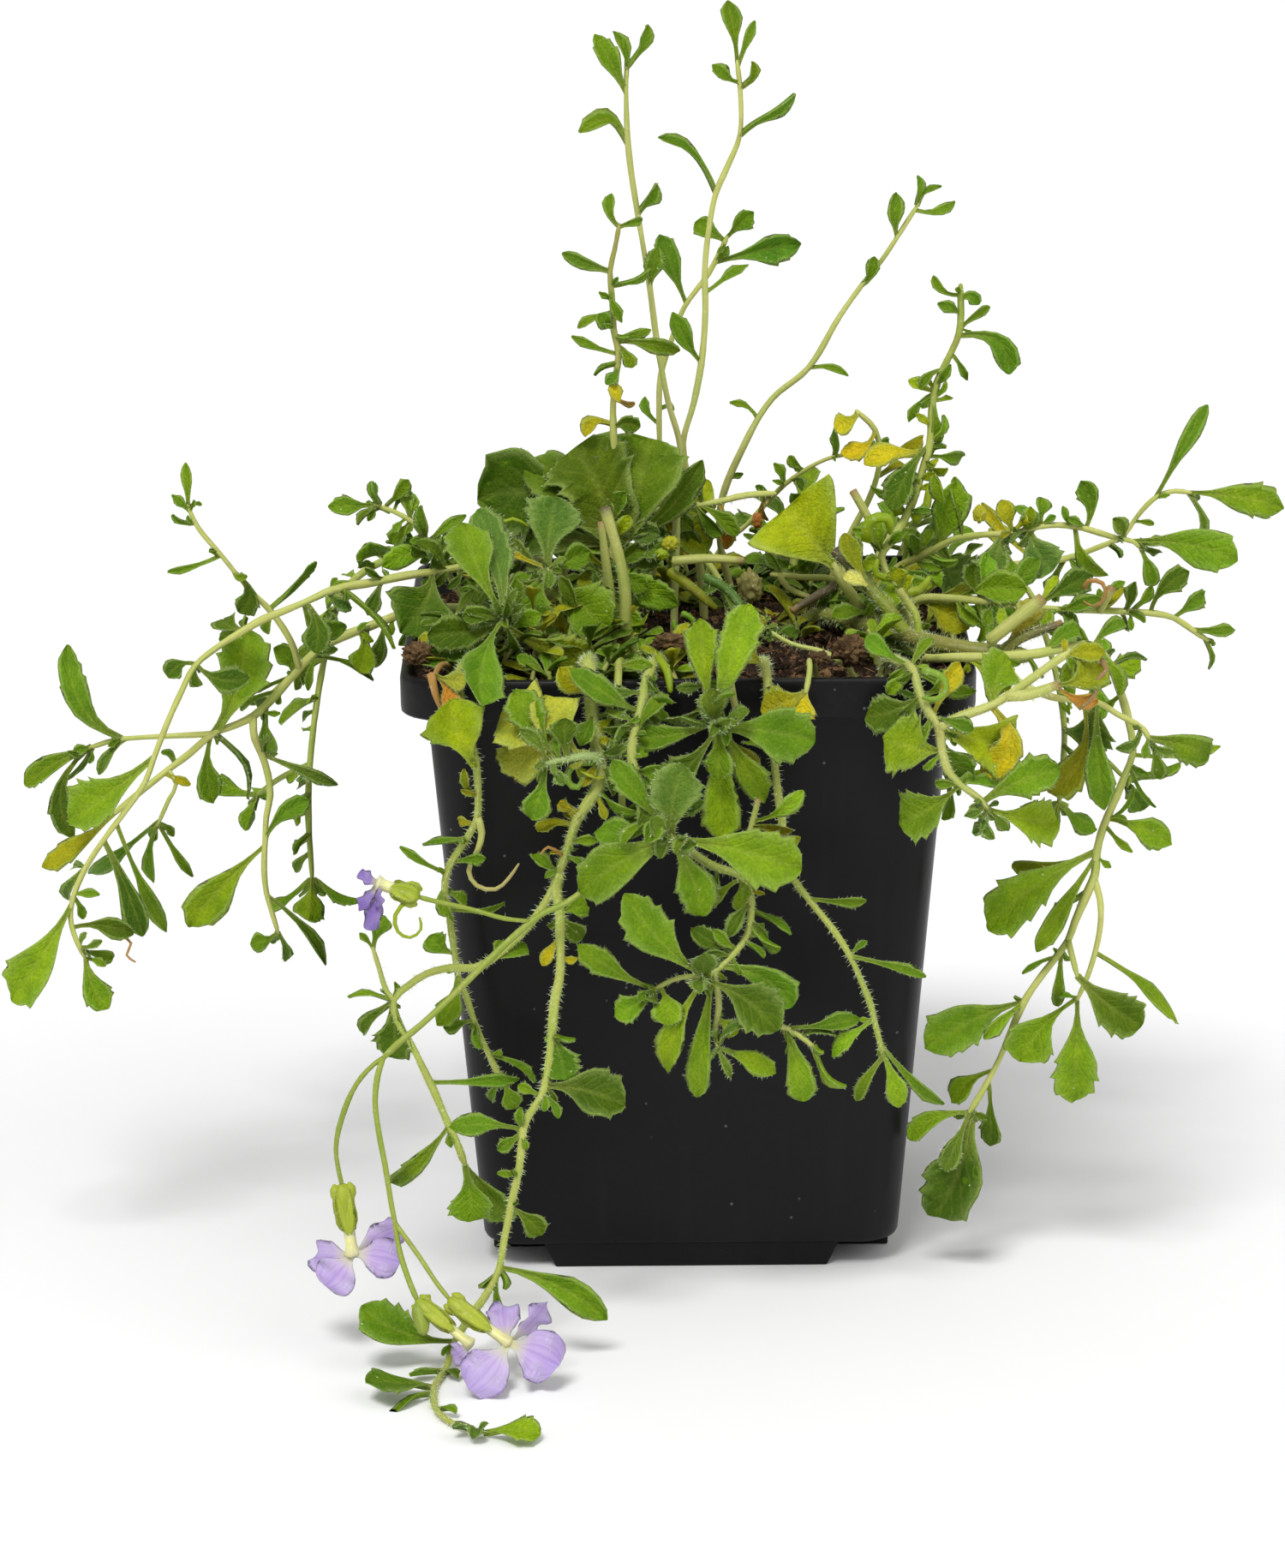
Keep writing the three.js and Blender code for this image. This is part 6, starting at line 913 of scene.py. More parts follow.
def stemTone(name):
    if name in stemTones:
        return stemTones[name]
    if name.startswith("upright"):
        return "upright", "stem"
    return ("young", "young") if name.startswith("pedicel") else ("stem", "stem")


# Small leaves in the axil of a leaf, and woolly ones in the heart of a rosette
def growAxil(node, root, tip, facing, name, count):
    way = unit(tip - root)
    reach = np.linalg.norm(tip - root)
    hairy = name == "w"
    for _ in range(count):
        size = drawn(axilShape["length"]) * min(1, 0.4 + reach / 14)
        turn = turned(way, facing, eitherWay() * drawn(axilShape["turn"]))
        small = unit(turn + facing * (0.5 * random.random()) + 0.25 * random.normal(size=3))
        growLeaf(node, root, root + small * size, size * drawn(axilShape["width"]),
                 facing + 0.5 * random.normal(size=3), 0.2 * random.normal(), tone(name),
                 down=2 * woolly if hairy else 1.4, petiole=axilShape["petiole"],
                 curly=0.2 if hairy else random.random())


def growCluster(name, start, end, count, scale, shades):
    node = next(item["node"] for item in sprays if item["name"] == name)
    line, offset = lines[name]
    for _ in range(count):
        at = offset + start + (end - start) * random.random()
        root = pointOn(line, at)
        heading, toEye = unit(pointOn(line, at + 0.2) - pointOn(line, at - 0.2)), unit(eye - root)
        side = unit(np.cross(toEye, heading)) * eitherWay()
        way = unit(side * (0.4 + random.random()) + heading * (0.2 + 0.8 * random.random())
                   + toEye * (random.random() - 0.3) + 0.3 * random.normal(size=3))
        size = drawn(clusterShape["length"]) * scale
        shade = random.choice(shades)
        growLeaf(node, root, root + way * size, min(size * drawn(clusterShape["width"]), clusterShape["widest"]),
                 toEye + 0.5 * random.normal(size=3), 0.25 * random.normal(), tone(shade),
                 down=woolly if shade == "w" else 1.2, petiole=clusterShape["petiole"],
                 curly=(1.6 - scale) * random.random())


for item in sprays:
    name, node = item["name"], item["node"]
    line, offset = lines[name] = lineFrom(item)
    first, last, *cut = [tone(shade) for shade in stemTone(name)]
    growStem(node, line, item["radii"], first, downOf.get(name, downOf.get(node, downOf[""])), last,
             cut[0] if cut else None)
    often = axilOf.get(node, axilOf[""]) * (0.35 if name.startswith("upright") else 1)
    for leaf in item["leaves"]:
        *leaf, mark = leaf if isinstance(leaf[-1], str) else (*leaf, "")
        root = pointOn(line, leaf[0] + offset)
        if item["lies"]:
            _, x, y, z, width, bow = leaf
            tip, facing = np.array([x, y, z]), np.array([0, -0.2, 1])
        else:
            # a small leaf's turn and bow are drawn at random
            if len(leaf) < 7:
                leaf += [26 * random.normal(), 0.5 * random.normal()]
            _, x, z, out, width, turn, bow = leaf
            tip = sighted(x, z, root[1] + out)
            facing = turned(unit(eye - root), unit(tip - root), math.radians(turn))
        form = "wedge" if width > 15 else "crest" if name == "crown_stem" and 10 < width < 13 else None
        growLeaf(node, root, tip, width, facing, bow, tone(mark), form, curly=0.5 * (width < 3.4),
                 down=woolly if mark == "w" else 1.0)
        if mark == "w":
            growAxil(node, root, tip, facing, "w", 2)
        elif not item["lies"] and width < leafShape["fanWidth"] and mark not in ("b", "y"):
            growAxil(node, root, tip, facing, mark, int(often + random.random()))
for cluster in clusters:
    growCluster(*cluster)
print("sprays grown", len(sprays))


def growRosette(name, end, axis, count, draw):
    side = unit(np.array([-axis[1], axis[0], 0.2]) - 0.2 * axis[2] * axis)
    for k in range(count):
        radial = turned(side, axis, 2 * math.pi * (k + 0.5 * draw()) / count)
        length = some(rosetteShape["length"], draw())
        tip = end + axis * 0.5 * length + radial * 0.85 * length
        width = length * some(rosetteShape["width"], draw())
        growLeaf(name, end, tip, width, axis, 0.5 * (draw() - 0.5), tone(["", "l", ""][k % 3]))
    for k in range(rosetteShape["heart"]):
        radial = turned(side, axis, 2 * math.pi * (k + random.random()) / rosetteShape["heart"])
        size = drawn(rosetteShape["heartLength"])
        growLeaf(name, end, end + axis * 0.8 * size + radial * 0.6 * size, rosetteShape["heartWidth"] * size, axis, 0,
                 tone("w"), down=woolly, petiole=0.5)


def growDrape(name, start, over, fall, swing, draw):
    (fx, fy), (ox, oy) = start, over
    outward = np.array([math.copysign(1, ox) if abs(ox) > abs(oy) else 0, 1 if abs(oy) >= abs(ox) else 0, 0])
    sideways = np.array([-outward[1], outward[0], 0])
    top, steps = pot["height"] + drapes["overRim"], drapes["steps"]
    points = [*rooted(fx, fy, soil["rise"]), ((fx * 2 + ox) / 3, (fy * 2 + oy) / 3, top),
              ((fx + ox * 5) / 6, (fy + oy * 5) / 6, top - 0.5)]
    for i in range(1, steps + 1):
        share = i / steps
        sway = swing * share * share + 3.5 * math.sin(6 * share + fx) + 1.2 * math.sin(2.6 * i + fx)
        points.append(np.array([ox, oy, top - 1.5 - fall * share**1.25])
                      + outward * (3 + 9 * math.sin(1.9 * share)) + sideways * sway)
    points = np.array(points, float)
    last = len(points) - 1

    def headingAt(at):
        return unit(pointOn(points, min(at + 0.3, last)) - pointOn(points, at - 0.3))

    # upwards on the soil, and outwards where the stem hangs
    def facingAt(at):
        hang = min(max((at - 2.8) / 2, 0), 1)
        return np.array([0, 0, 1.0]) * (1 - hang) + outward * hang

    growStem(name, points, drapes["radii"], tone("stem"), 0.8, tone("young"))
    count = math.floor(fall / drapes["leafEvery"] + 0.5)
    for i in range(count):
        at = 2.2 + (last - 3) * (i + 0.8 * draw()) / count
        facing = facingAt(at)
        turn = (1 if i % 2 == 0 else -1) * (0.4 + 0.8 * draw())
        length = some(drapes["length"], draw())
        root = pointOn(points, at)
        tip = root + headingAt(at) * length * (0.3 + 0.4 * draw()) + sideways * length * 0.75 * turn
        tip = tip + facing * (1 + 4 * draw())
        width = length * some(drapes["width"], draw())
        growLeaf(name, root, tip, width, facing, 0.6 * turn, tone(["", "l", "d"][i % 3]))
    for k, where in enumerate(drapes["shootAt"]):
        at = 2.6 + (last - 2.6) * where
        root = pointOn(points, at)
        axis = unit(headingAt(at) * 0.5 + sideways * (1 if k == 0 else -1) * (0.5 + 0.3 * draw())
                    + outward * (0.35 + 0.3 * draw()))
        middle = root + axis * 0.5 * drapes["shootLength"] + outward
        end = root + axis * drapes["shootLength"] * (0.8 + 0.5 * draw())
        growStem(name, np.array([root, middle, end]), drapes["shootRadii"], tone("young"))
        growRosette(name, end, unit(end - middle), drapes["shootLeaves"], draw)
    growRosette(name, points[last], headingAt(last), drapes["endLeaves"], draw)
    # small leaves all along, thickest where the stem crosses the rim
    for _ in range(int(fall * drapes["smallPerMm"])):
        at = 1.6 + (last - 1.8) * random.random() ** 1.4
        facing = unit(facingAt(at) + 0.35 * random.normal(size=3))
        way = unit(headingAt(at) * 0.6 + sideways * eitherWay() * (0.5 + random.random())
                   + facing * (0.3 + 0.5 * random.random()))
        size = drawn(drapes["smallLength"])
        root = pointOn(points, at)
        growLeaf(name, root, root + way * size, size * drawn(drapes["smallWidth"]), facing, 0.2 * random.normal(),
                 tone(random.choice(["", "l", "d", "w"])), petiole=0.6)


def growTuft(name, start, height, leaves, reach, level, draw):
    fx, fy = start
    points = np.array([*rooted(fx, fy, soil["rise"]), (fx, fy, soil["height"] + height * 0.55),
                       (fx + 1, fy + 0.5, soil["height"] + height)], float)
    growStem(name, points, tufts["radii"], tone("stem"), 1.4)
    for i in range(leaves):
        share = i / (leaves - 1)
        angle = i * goldenAngle + draw()
        length = reach * (1 - 0.25 * share) * some(tufts["length"], draw())
        root = pointOn(points, 1.35 + 1.6 * share)
        tip = tipAt(root, length, angle, level[0] + (level[1] - level[0]) * share)
        width = length * some(tufts["width"], draw())
        bow = 0.8 * (draw() - 0.5)
        growLeaf(name, root, tip, width, np.array([0, 0, 1.0]), bow, tone(["d", "", "l"][i % 3]))
        growAxil(name, root, tip, np.array([0, 0, 1.0]), "", 1)


# A short shoot: a few small leaves round a thin stalk that leans out of the soil
def growShoot(name, x, y, height, draw):
    lean = 0.9 * (draw() - 0.5), 0.9 * (draw() - 0.5)
    base = np.array([x, y, soil["height"] - 1])
    top = base + np.array([lean[0] * height, lean[1] * height, height * (0.7 + 0.5 * draw())])
    points = np.array([base, (base + top) / 2 + np.array([draw() - 0.5, draw() - 0.5, 0.5]), top])
    # the dark tone comes twice in five: painted shade for shoots that stand deep in the crown
    shade = ["d", "", "d", "l", "o"][int(draw() * 5)]
    growStem(name, points, fill["radii"], tone("stem"), 1.6)
    for i in range(int(some(fill["leaves"], draw()))):
        share = 0.25 + 0.75 * draw()
        angle = i * goldenAngle + draw()
        length = some(fill["length"], draw())
        root = pointOn(points, 2 * share)
        tip = tipAt(root, length, angle, 0.1 + 1.1 * share * draw())
        width = length * some(fill["width"], draw())
        growLeaf(name, root, tip, width, np.array([0, -0.3, 1.0]), 0.5 * (draw() - 0.5), tone(shade), down=1.4,
                 petiole=0.6)


draw = makeDraw(drapes["seed"])
for stem in drapes["stems"]:
    growDrape(*stem, draw)
draw = makeDraw(tufts["seed"])
for stem in tufts["stems"]:
    growTuft(*stem, draw)
draw = makeDraw(fill["seed"])
for name, xs, ys, count, height in fill["patches"]:
    for _ in range(count):
        x, y = xs[0] + (xs[1] - xs[0]) * draw(), ys[0] + (ys[1] - ys[0]) * draw()
        growShoot(name, x, y, height * (0.6 + 0.6 * draw()), draw)
for name, mark, radii, route in scraps:
    growStem(name, np.array([sighted(*point) for point in route]), radii, tone(mark),
             woolly * 0.6 if mark == "w" else 0.8, cut=tone("cut") if mark in ("s", "bark") else None)


# A lump is a ball pushed in and out by noise
def growLump(name, mark, centre, half):
    ball = bmesh.new()
    bmesh.ops.create_icosphere(ball, subdivisions=4, radius=1)
    rough = {"clod": 0.6, "knob": 0.32}.get(mark, 0.25)
    out = np.array([unit(v.co) for v in ball.verts])
    push = np.array([rough * noise.fractal(Vector(way * 2.6 + centre), 0.55, 2.2, 6) for way in out])
    points = sighted(*centre) + out * half * (1 + push)[:, None]
    faces = [[v.index for v in face.verts] for face in ball.faces]
    ball.free()
    gather(name, "clod" if mark == "clod" else "stem", points, faces, tone(mark), out,
           0 if mark in ("clod", "orange") else 2.0, out)


for lump in lumps:
    growLump(*lump)

# Profiles are pairs of a share of the length and a radius, which is in shares of the calyx's half width
calyxShape = {"length": 0.66, "profile": [(0.08, 0.5), (0.25, 0.66), (0.6, 0.5), (0.85, 0.4), (1, 0.3)], "base": 0.5,
              "lobes": 0.14, "pouch": [(0.25, 0.34), (0.6, 0.36)], "pouchEnd": 0.2, "sepalWidth": 1.15}
tubeProfile = [(0, 0.36), (0.6, 0.36), (0.85, 0.48), (0.97, 0.6), (1, 0.2)]
budProfile = [(0.12, 0.6), (0.35, 0.74), (0.7, 0.6), (0.92, 0.4), (1, 0.15)]


def scaled(profile, size):
    return [(share, size * radius) for share, radius in profile]


def growBloom(bloom):
    stalkEnd = lines[bloom["pedicel"]][0][-1]
    mouth = sighted(*bloom["throat"])
    axis = unit(mouth - stalkEnd)
    reach = np.linalg.norm(mouth - stalkEnd)
    calyxEnd = stalkEnd + axis * reach * calyxShape["length"]
    bulge, green = bloom["bulge"], tone("calyx")
    growRound("flower_stalk", stalkEnd - axis * 0.4, calyxEnd,
              [(0, calyxShape["base"]), *scaled(calyxShape["profile"], bulge)], green, down=1.2,
              lobes=calyxShape["lobes"])
    side = unit(np.cross(axis, eye - mouth))
    for k in range(4):
        out = turned(side, axis, k * math.pi / 2)
        # two of the sepals are pouched at the base
        if k % 2 == 0:
            end = calyxShape["pouchEnd"]
            growRound("flower_stalk", stalkEnd - axis * 0.5 + out * bulge * 0.5,
                      stalkEnd + axis * bulge * 1.1 + out * bulge * 0.42,
                      [(0, end), *scaled(calyxShape["pouch"], bulge), (1, end)], green, down=1.2)
        root = stalkEnd + out * bulge * 0.4 + axis * 0.3
        tip = stalkEnd + axis * reach * (calyxShape["length"] + 0.06 * (k % 2)) + out * bulge * 0.36
        growLeaf("flower_stalk", root, tip, bulge * calyxShape["sepalWidth"], out, 0, green * (1 + 0.12 * (k % 2)),
                 "sepal", "stem", petiole=0.8)
    growRound(bloom["node"], calyxEnd - axis * 0.6, mouth + axis * 0.5, scaled(tubeProfile, bulge), tone("throat"),
              "petal", 0)
    for x, z, out, width, turn in bloom["petals"]:
        tip = sighted(x, z, mouth[1] + out)
        facing = turned(unit(eye - mouth), unit(tip - mouth), math.radians(turn))
        growLeaf(bloom["node"], mouth, tip, width, facing, 0.3, tone(bloom["tone"]), "petal", "petal", 0, 1.2)


def growBuds():
    stalkEnd = lines[buds["pedicel"]][0][-1]
    centre = sighted(*buds["centre"])
    end = centre + unit(centre - stalkEnd) * buds["radius"] * 1.3
    profile = [(0, calyxShape["base"]), *scaled(budProfile, buds["radius"])]
    growRound("flower_stalk", stalkEnd, end, profile, tone("young"), lobes=0.16)
    growLeaf("flower_stalk", centre, sighted(*buds["sepalTip"]), buds["sepalWidth"], eye - centre, 0.4, tone("calyx"))


for bloom in blooms:
    growBloom(bloom)
growBuds()
print("blooms grown", len(blooms))


# Nodes of the shaders and of the growing trees
def newSocket(group, name, kind, into, default=None):
    way = "INPUT" if into else "OUTPUT"
    made = group.interface.new_socket(name=name, in_out=way, socket_type="NodeSocket" + kind)
    if default is not None:
        made.default_value = default
    return made


def addNode(tree, kind, links=None, **settings):
    node = tree.nodes.new(kind)
    for key, value in settings.items():
        setattr(node, key, value)
    for key, value in (links or {}).items():
        socket = node.inputs[key]
        if isinstance(value, bpy.types.NodeSocket):
            tree.links.new(value, socket)
        else:
            socket.default_value = value
    return node


def sum2(tree, operation, a, b=0.0):
    return addNode(tree, "ShaderNodeMath", {0: a, 1: b}, operation=operation).outputs[0]


def times(tree, a, b):
    return sum2(tree, "MULTIPLY", a, b)


def vectorSum(tree, operation, a, b):
    return addNode(tree, "ShaderNodeVectorMath", {0: a, 1: b}, operation=operation).outputs[0]


def mixColour(tree, factor, a, b, blend="MIX"):
    a, b = [(*colour, 1) if isinstance(colour, tuple) else colour for colour in (a, b)]
    return addNode(tree, "ShaderNodeMix", {0: factor, 6: a, 7: b}, data_type="RGBA", blend_type=blend).outputs[2]


def tinted(tree, colour, by):
    return mixColour(tree, 1.0, colour, by, "MULTIPLY")


def spread(tree, value, low, high, toLow=0.0, toHigh=1.0):
    return addNode(tree, "ShaderNodeMapRange", {"Value": value, "From Min": low, "From Max": high, "To Min": toLow,
                                                "To Max": toHigh}).outputs[0]


def attribute(tree, name, output="Vector"):
    return addNode(tree, "ShaderNodeAttribute", attribute_name=name).outputs[output]


def noiseAt(tree, vector, scale, detail, rough=0.5):
    return addNode(tree, "ShaderNodeTexNoise", {"Vector": vector, "Scale": scale, "Detail": detail,
                                                "Roughness": rough}).outputs[0]


def newGroup(name, inputs):
    group = bpy.data.node_groups.new(name, "ShaderNodeTree")
    for key, default in inputs.items():
        newSocket(group, key, "Float", True, default)
    return group, group.nodes.new("NodeGroupInput").outputs


def putOut(group, values):
    for key in values:
        newSocket(group, key, "Float", False)
    addNode(group, "NodeGroupOutput", values)
    return group


# Uneven colour in two sizes, and small bright specks, on Object coordinates
def makeMottle():
    group, given = newGroup("mottle", {"Coarse": 90.0, "Fine": 900.0, "Specks": 450.0})
    place = group.nodes.new("ShaderNodeTexCoord").outputs["Object"]
    blotch = noiseAt(group, place, given["Coarse"], 4)
    grain = noiseAt(group, place, given["Fine"], 3, 0.6)
    cell = addNode(group, "ShaderNodeTexVoronoi", {"Vector": place, "Scale": given["Specks"]}).outputs["Distance"]
    pick = noiseAt(group, place, times(group, given["Specks"], 0.7), 2)
    speck = times(group, spread(group, cell, 0.05, 0.1, 1, 0), spread(group, pick, 0.56, 0.6))
    return putOut(group, {"Blotch": spread(group, blotch, 0.3, 0.7), "Grain": spread(group, grain, 0.28, 0.72),
                          "Speck": speck})


# Midrib and side veins of a blade, from its flow: across -1 to 1, along 0 to 1, and up or down
def makeVeins():
    group, given = newGroup("veins", {"Rows": 7.0, "Slant": 0.3, "Rib width": 0.09, "Vein width": 0.12})
    flow = attribute(group, "flow")
    parts = addNode(group, "ShaderNodeSeparateXYZ", {0: flow})
    across, along = sum2(group, "ABSOLUTE", parts.outputs[0]), parts.outputs[1]
    rib = spread(group, sum2(group, "DIVIDE", across, given["Rib width"]), 0.4, 1.6, 1, 0)
    lean = sum2(group, "SUBTRACT", along, times(group, across, given["Slant"]))
    lean = sum2(group, "ADD", lean, times(group, noiseAt(group, flow, 4.0, 2), 0.08))
    wave = sum2(group, "FRACT", times(group, lean, given["Rows"]))
    wave = sum2(group, "ABSOLUTE", sum2(group, "SUBTRACT", wave, 0.5))
    vein = spread(group, sum2(group, "DIVIDE", wave, given["Vein width"]), 0.3, 1.5, 1, 0)
    vein = times(group, vein, spread(group, across, 0.75, 1.0, 1, 0))
    return putOut(group, {"Rib": rib, "Vein": vein, "Margin": spread(group, across, 0.84, 1.0), "Along": along,
                          "Heart": spread(group, across, 0.1, 1.0, 1, 0)})


mottle, veins = makeMottle(), makeVeins()


# Materials
def newMaterial(name):
    material = bpy.data.materials.new(name)
    material.use_nodes = True
    return material, material.node_tree, material.node_tree.nodes["Principled BSDF"]


def useGroup(tree, group, **values):
    links = {key.replace("_", " "): value for key, value in values.items()}
    return addNode(tree, "ShaderNodeGroup", links, node_tree=group).outputs


def finish(tree, shader, colour, roughness, height, distance, strength, **settings):
    tree.links.new(colour, shader.inputs["Base Color"])
    tree.links.new(roughness, shader.inputs["Roughness"])
    bump = addNode(tree, "ShaderNodeBump", {"Height": height, "Distance": distance, "Strength": strength})
    tree.links.new(bump.outputs[0], shader.inputs["Normal"])
    for key, value in settings.items():
        shader.inputs[key.replace("_", " ")].default_value = value


def makeLeafFinish():
    material, tree, shader = newMaterial("leaf_finish")
    tint = attribute(tree, "tint", "Color")
    mark = useGroup(tree, mottle, Coarse=230.0, Fine=2300.0, Specks=520.0)
    vein = useGroup(tree, veins, Rows=6.0, Slant=0.35)
    colour = mixColour(tree, mark["Blotch"], tinted(tree, tint, (0.82, 0.84, 0.6)),
                       tinted(tree, tint, (1.38, 1.22, 0.76)))
    # yellower along the middle and at the base
    colour = mixColour(tree, times(tree, vein["Heart"], 0.42), colour, tinted(tree, colour, (1.34, 1.16, 0.72)))
    colour = mixColour(tree, spread(tree, vein["Along"], 0.05, 0.45, 0.5, 0), colour, (0.36, 0.4, 0.09))
    # fine grain that follows the bump: darker in its pits and lighter on its bumps, painted shade and painted light
    # on the fine relief
    colour = mixColour(tree, spread(tree, mark["Grain"], 0.2, 0.9), tinted(tree, colour, (0.8, 0.84, 0.78)),
                       tinted(tree, colour, (1.16, 1.14, 1.1)))
    # paler over the midrib and the veins
    paler = mixColour(tree, 0.4, colour, (0.46, 0.53, 0.1))
    fading = spread(tree, vein["Along"], 0.1, 0.9, 0.55, 0.15)
    colour = mixColour(tree, times(tree, vein["Rib"], fading), colour, paler)
    colour = mixColour(tree, times(tree, vein["Vein"], 0.16), colour, paler)
    # a pale bloom where it is downy
    frost = spread(tree, attribute(tree, "down", "Fac"), 0.9, 6.0, 0, 0.36)
    frost = times(tree, frost, spread(tree, mark["Grain"], 0.1, 0.7, 0.6, 1))
    colour = mixColour(tree, frost, colour, (0.44, 0.54, 0.15))
    # pale specks, partly the tips of hairs and partly painted glints
    colour = mixColour(tree, times(tree, mark["Speck"], 0.7), colour, (0.62, 0.7, 0.5))
    height = sum2(tree, "SUBTRACT", times(tree, mark["Grain"], 0.6), times(tree, vein["Vein"], 0.35))
    finish(tree, shader, colour, spread(tree, mark["Blotch"], 0, 1, 0.66, 0.5), height, 0.00026, 0.9,
           Subsurface_Weight=0.2, Subsurface_Radius=(0.5, 1.0, 0.15), Subsurface_Scale=0.0006,
           Specular_IOR_Level=0.15)
    return material


def makeStemFinish():
    material, tree, shader = newMaterial("stem_finish")
    tint = attribute(tree, "tint", "Color")
    mark = useGroup(tree, mottle, Coarse=120.0, Fine=1700.0, Specks=420.0)
    stretched = vectorSum(tree, "MULTIPLY", attribute(tree, "flow"), (14.0, 1.2, 1.0))
    streak = noiseAt(tree, stretched, 1.0, 3)
    colour = mixColour(tree, spread(tree, streak, 0.35, 0.65, 0, 0.7), tint, tinted(tree, tint, (0.78, 0.84, 0.6)))
    colour = mixColour(tree, spread(tree, mark["Blotch"], 0.1, 0.6, 0.5, 0), colour,
                       tinted(tree, colour, (0.66, 0.84, 0.5)))
    colour = mixColour(tree, spread(tree, mark["Blotch"], 0.78, 1.0, 0, 0.25), colour, (0.22, 0.13, 0.05))
    colour = mixColour(tree, spread(tree, mark["Grain"], 0.66, 1.0, 0, 0.3), colour, (0.7, 0.72, 0.45))
    colour = mixColour(tree, times(tree, mark["Speck"], 0.5), colour, (0.8, 0.8, 0.66))
    height = sum2(tree, "ADD", streak, times(tree, mark["Grain"], 0.4))
    finish(tree, shader, colour, spread(tree, streak, 0.3, 0.7, 0.42, 0.6), height, 0.00014, 0.6,
           Subsurface_Weight=0.2, Subsurface_Radius=(1.0, 0.9, 0.3), Subsurface_Scale=0.0006, Specular_IOR_Level=0.32)
    return material


def makePetalFinish():
    material, tree, shader = newMaterial("petal_finish")
    tint = attribute(tree, "tint", "Color")
    mark = useGroup(tree, mottle, Coarse=180.0, Fine=2400.0)
    vein = useGroup(tree, veins, Rows=3.0, Slant=0.9, Rib_width=0.06, Vein_width=0.1)
    fan = vectorSum(tree, "MULTIPLY", attribute(tree, "flow"), (9.0, 0.8, 1.0))
    streak = noiseAt(tree, fan, 1.6, 3, 0.6)
    colour = mixColour(tree, spread(tree, vein["Along"], 0.3, 0.95), tinted(tree, tint, (1.3, 1.34, 1.1)), tint)
    colour = mixColour(tree, spread(tree, streak, 0.45, 0.7, 0, 0.6), colour,
                       tinted(tree, colour, (0.66, 0.54, 0.82)))
    colour = mixColour(tree, times(tree, vein["Rib"], 0.3), colour, (0.24, 0.15, 0.44))
    colour = mixColour(tree, times(tree, vein["Margin"], 0.4), colour, (0.24, 0.14, 0.5))
    colour = mixColour(tree, spread(tree, vein["Along"], 0.1, 0.42, 1, 0), colour, (0.6, 0.6, 0.34))
    colour = mixColour(tree, spread(tree, mark["Blotch"], 0.4, 1.0, 0, 0.2), colour, (0.7, 0.66, 0.84))
    finish(tree, shader, colour, spread(tree, mark["Grain"], 0, 1, 0.5, 0.66), streak, 0.00015, 0.6,
           Subsurface_Weight=0.35, Subsurface_Radius=(1.0, 0.8, 1.0), Subsurface_Scale=0.0008,
           Specular_IOR_Level=0.25, Sheen_Weight=0.12)
    return material


def makeDownFinish():
    material, tree, shader = newMaterial("down_finish")
    mark = useGroup(tree, mottle, Coarse=300.0, Fine=3000.0)
    colour = mixColour(tree, mark["Blotch"], (0.64, 0.74, 0.32), (0.92, 0.95, 0.62))
    finish(tree, shader, colour, spread(tree, mark["Blotch"], 0, 1, 0.35, 0.5), mark["Grain"], 0.00002, 0.2,
           Subsurface_Weight=0.4, Subsurface_Scale=0.0002)
    return material


def makePotFinish():
    material, tree, shader = newMaterial("pot_finish")
    mark = useGroup(tree, mottle, Coarse=22.0, Fine=420.0, Specks=330.0)
    place = tree.nodes.new("ShaderNodeTexCoord").outputs["Object"]
    # fine upright scratches
    streak = noiseAt(tree, vectorSum(tree, "MULTIPLY", place, (1.0, 1.0, 0.05)), 320.0, 3)
    colour = mixColour(tree, mark["Blotch"], (0.0035, 0.0035, 0.004), (0.006, 0.006, 0.0064))
    colour = mixColour(tree, spread(tree, streak, 0.55, 0.8, 0, 0.3), colour, (0.012, 0.012, 0.0124))
    # peat dust lies along the lip
    lip = spread(tree, addNode(tree, "ShaderNodeSeparateXYZ", {0: place}).outputs[2], 0.09, 0.1)
    dust = times(tree, lip, spread(tree, mark["Grain"], 0.55, 1.0, 0, 0.35))
    colour = mixColour(tree, dust, colour, (0.035, 0.024, 0.016))
    colour = mixColour(tree, times(tree, mark["Speck"], 0.5), colour, (0.2, 0.19, 0.17))
    rough = spread(tree, sum2(tree, "ADD", mark["Blotch"], streak), 0.4, 1.6, 0.32, 0.46)
    finish(tree, shader, colour, rough, mark["Grain"], 0.00004, 0.5, Specular_IOR_Level=0.17)
    return material


def makePeatFinish(name, dark, light, coarse):
    material, tree, shader = newMaterial(name)
    mark = useGroup(tree, mottle, Coarse=coarse, Fine=1600.0, Specks=520.0)
    colour = mixColour(tree, mark["Blotch"], dark, light)
    colour = mixColour(tree, spread(tree, mark["Grain"], 0.5, 1.0, 0, 0.6), colour, (0.15, 0.085, 0.04))
    colour = mixColour(tree, times(tree, mark["Speck"], 0.8), colour, (0.5, 0.42, 0.28))
    finish(tree, shader, colour, spread(tree, mark["Grain"], 0, 1, 0.95, 0.72), mark["Grain"], 0.0007, 1.0,
           Specular_IOR_Level=0.24)
    return material


# Peat and its bits: dark colour, light colour, and how fine the blotches are
peats = {"peat": ((0.008, 0.004, 0.002), (0.045, 0.023, 0.011), 300.0),
         "crumb": ((0.02, 0.009, 0.004), (0.3, 0.15, 0.066), 380.0),
         "clod": ((0.07, 0.036, 0.014), (0.3, 0.18, 0.075), 420.0),
         "fibre": ((0.06, 0.032, 0.015), (0.34, 0.21, 0.1), 200.0)}
finishes = {"leaf": makeLeafFinish(), "stem": makeStemFinish(), "petal": makePetalFinish(), "down": makeDownFinish(),
            "pot": makePotFinish(), **{name: makePeatFinish(name + "_finish", *look) for name, look in peats.items()}}


# Meshes
def newObject(name, data):
    piece = bpy.data.objects.new(name, data)
    bpy.context.scene.collection.objects.link(piece)
    return piece


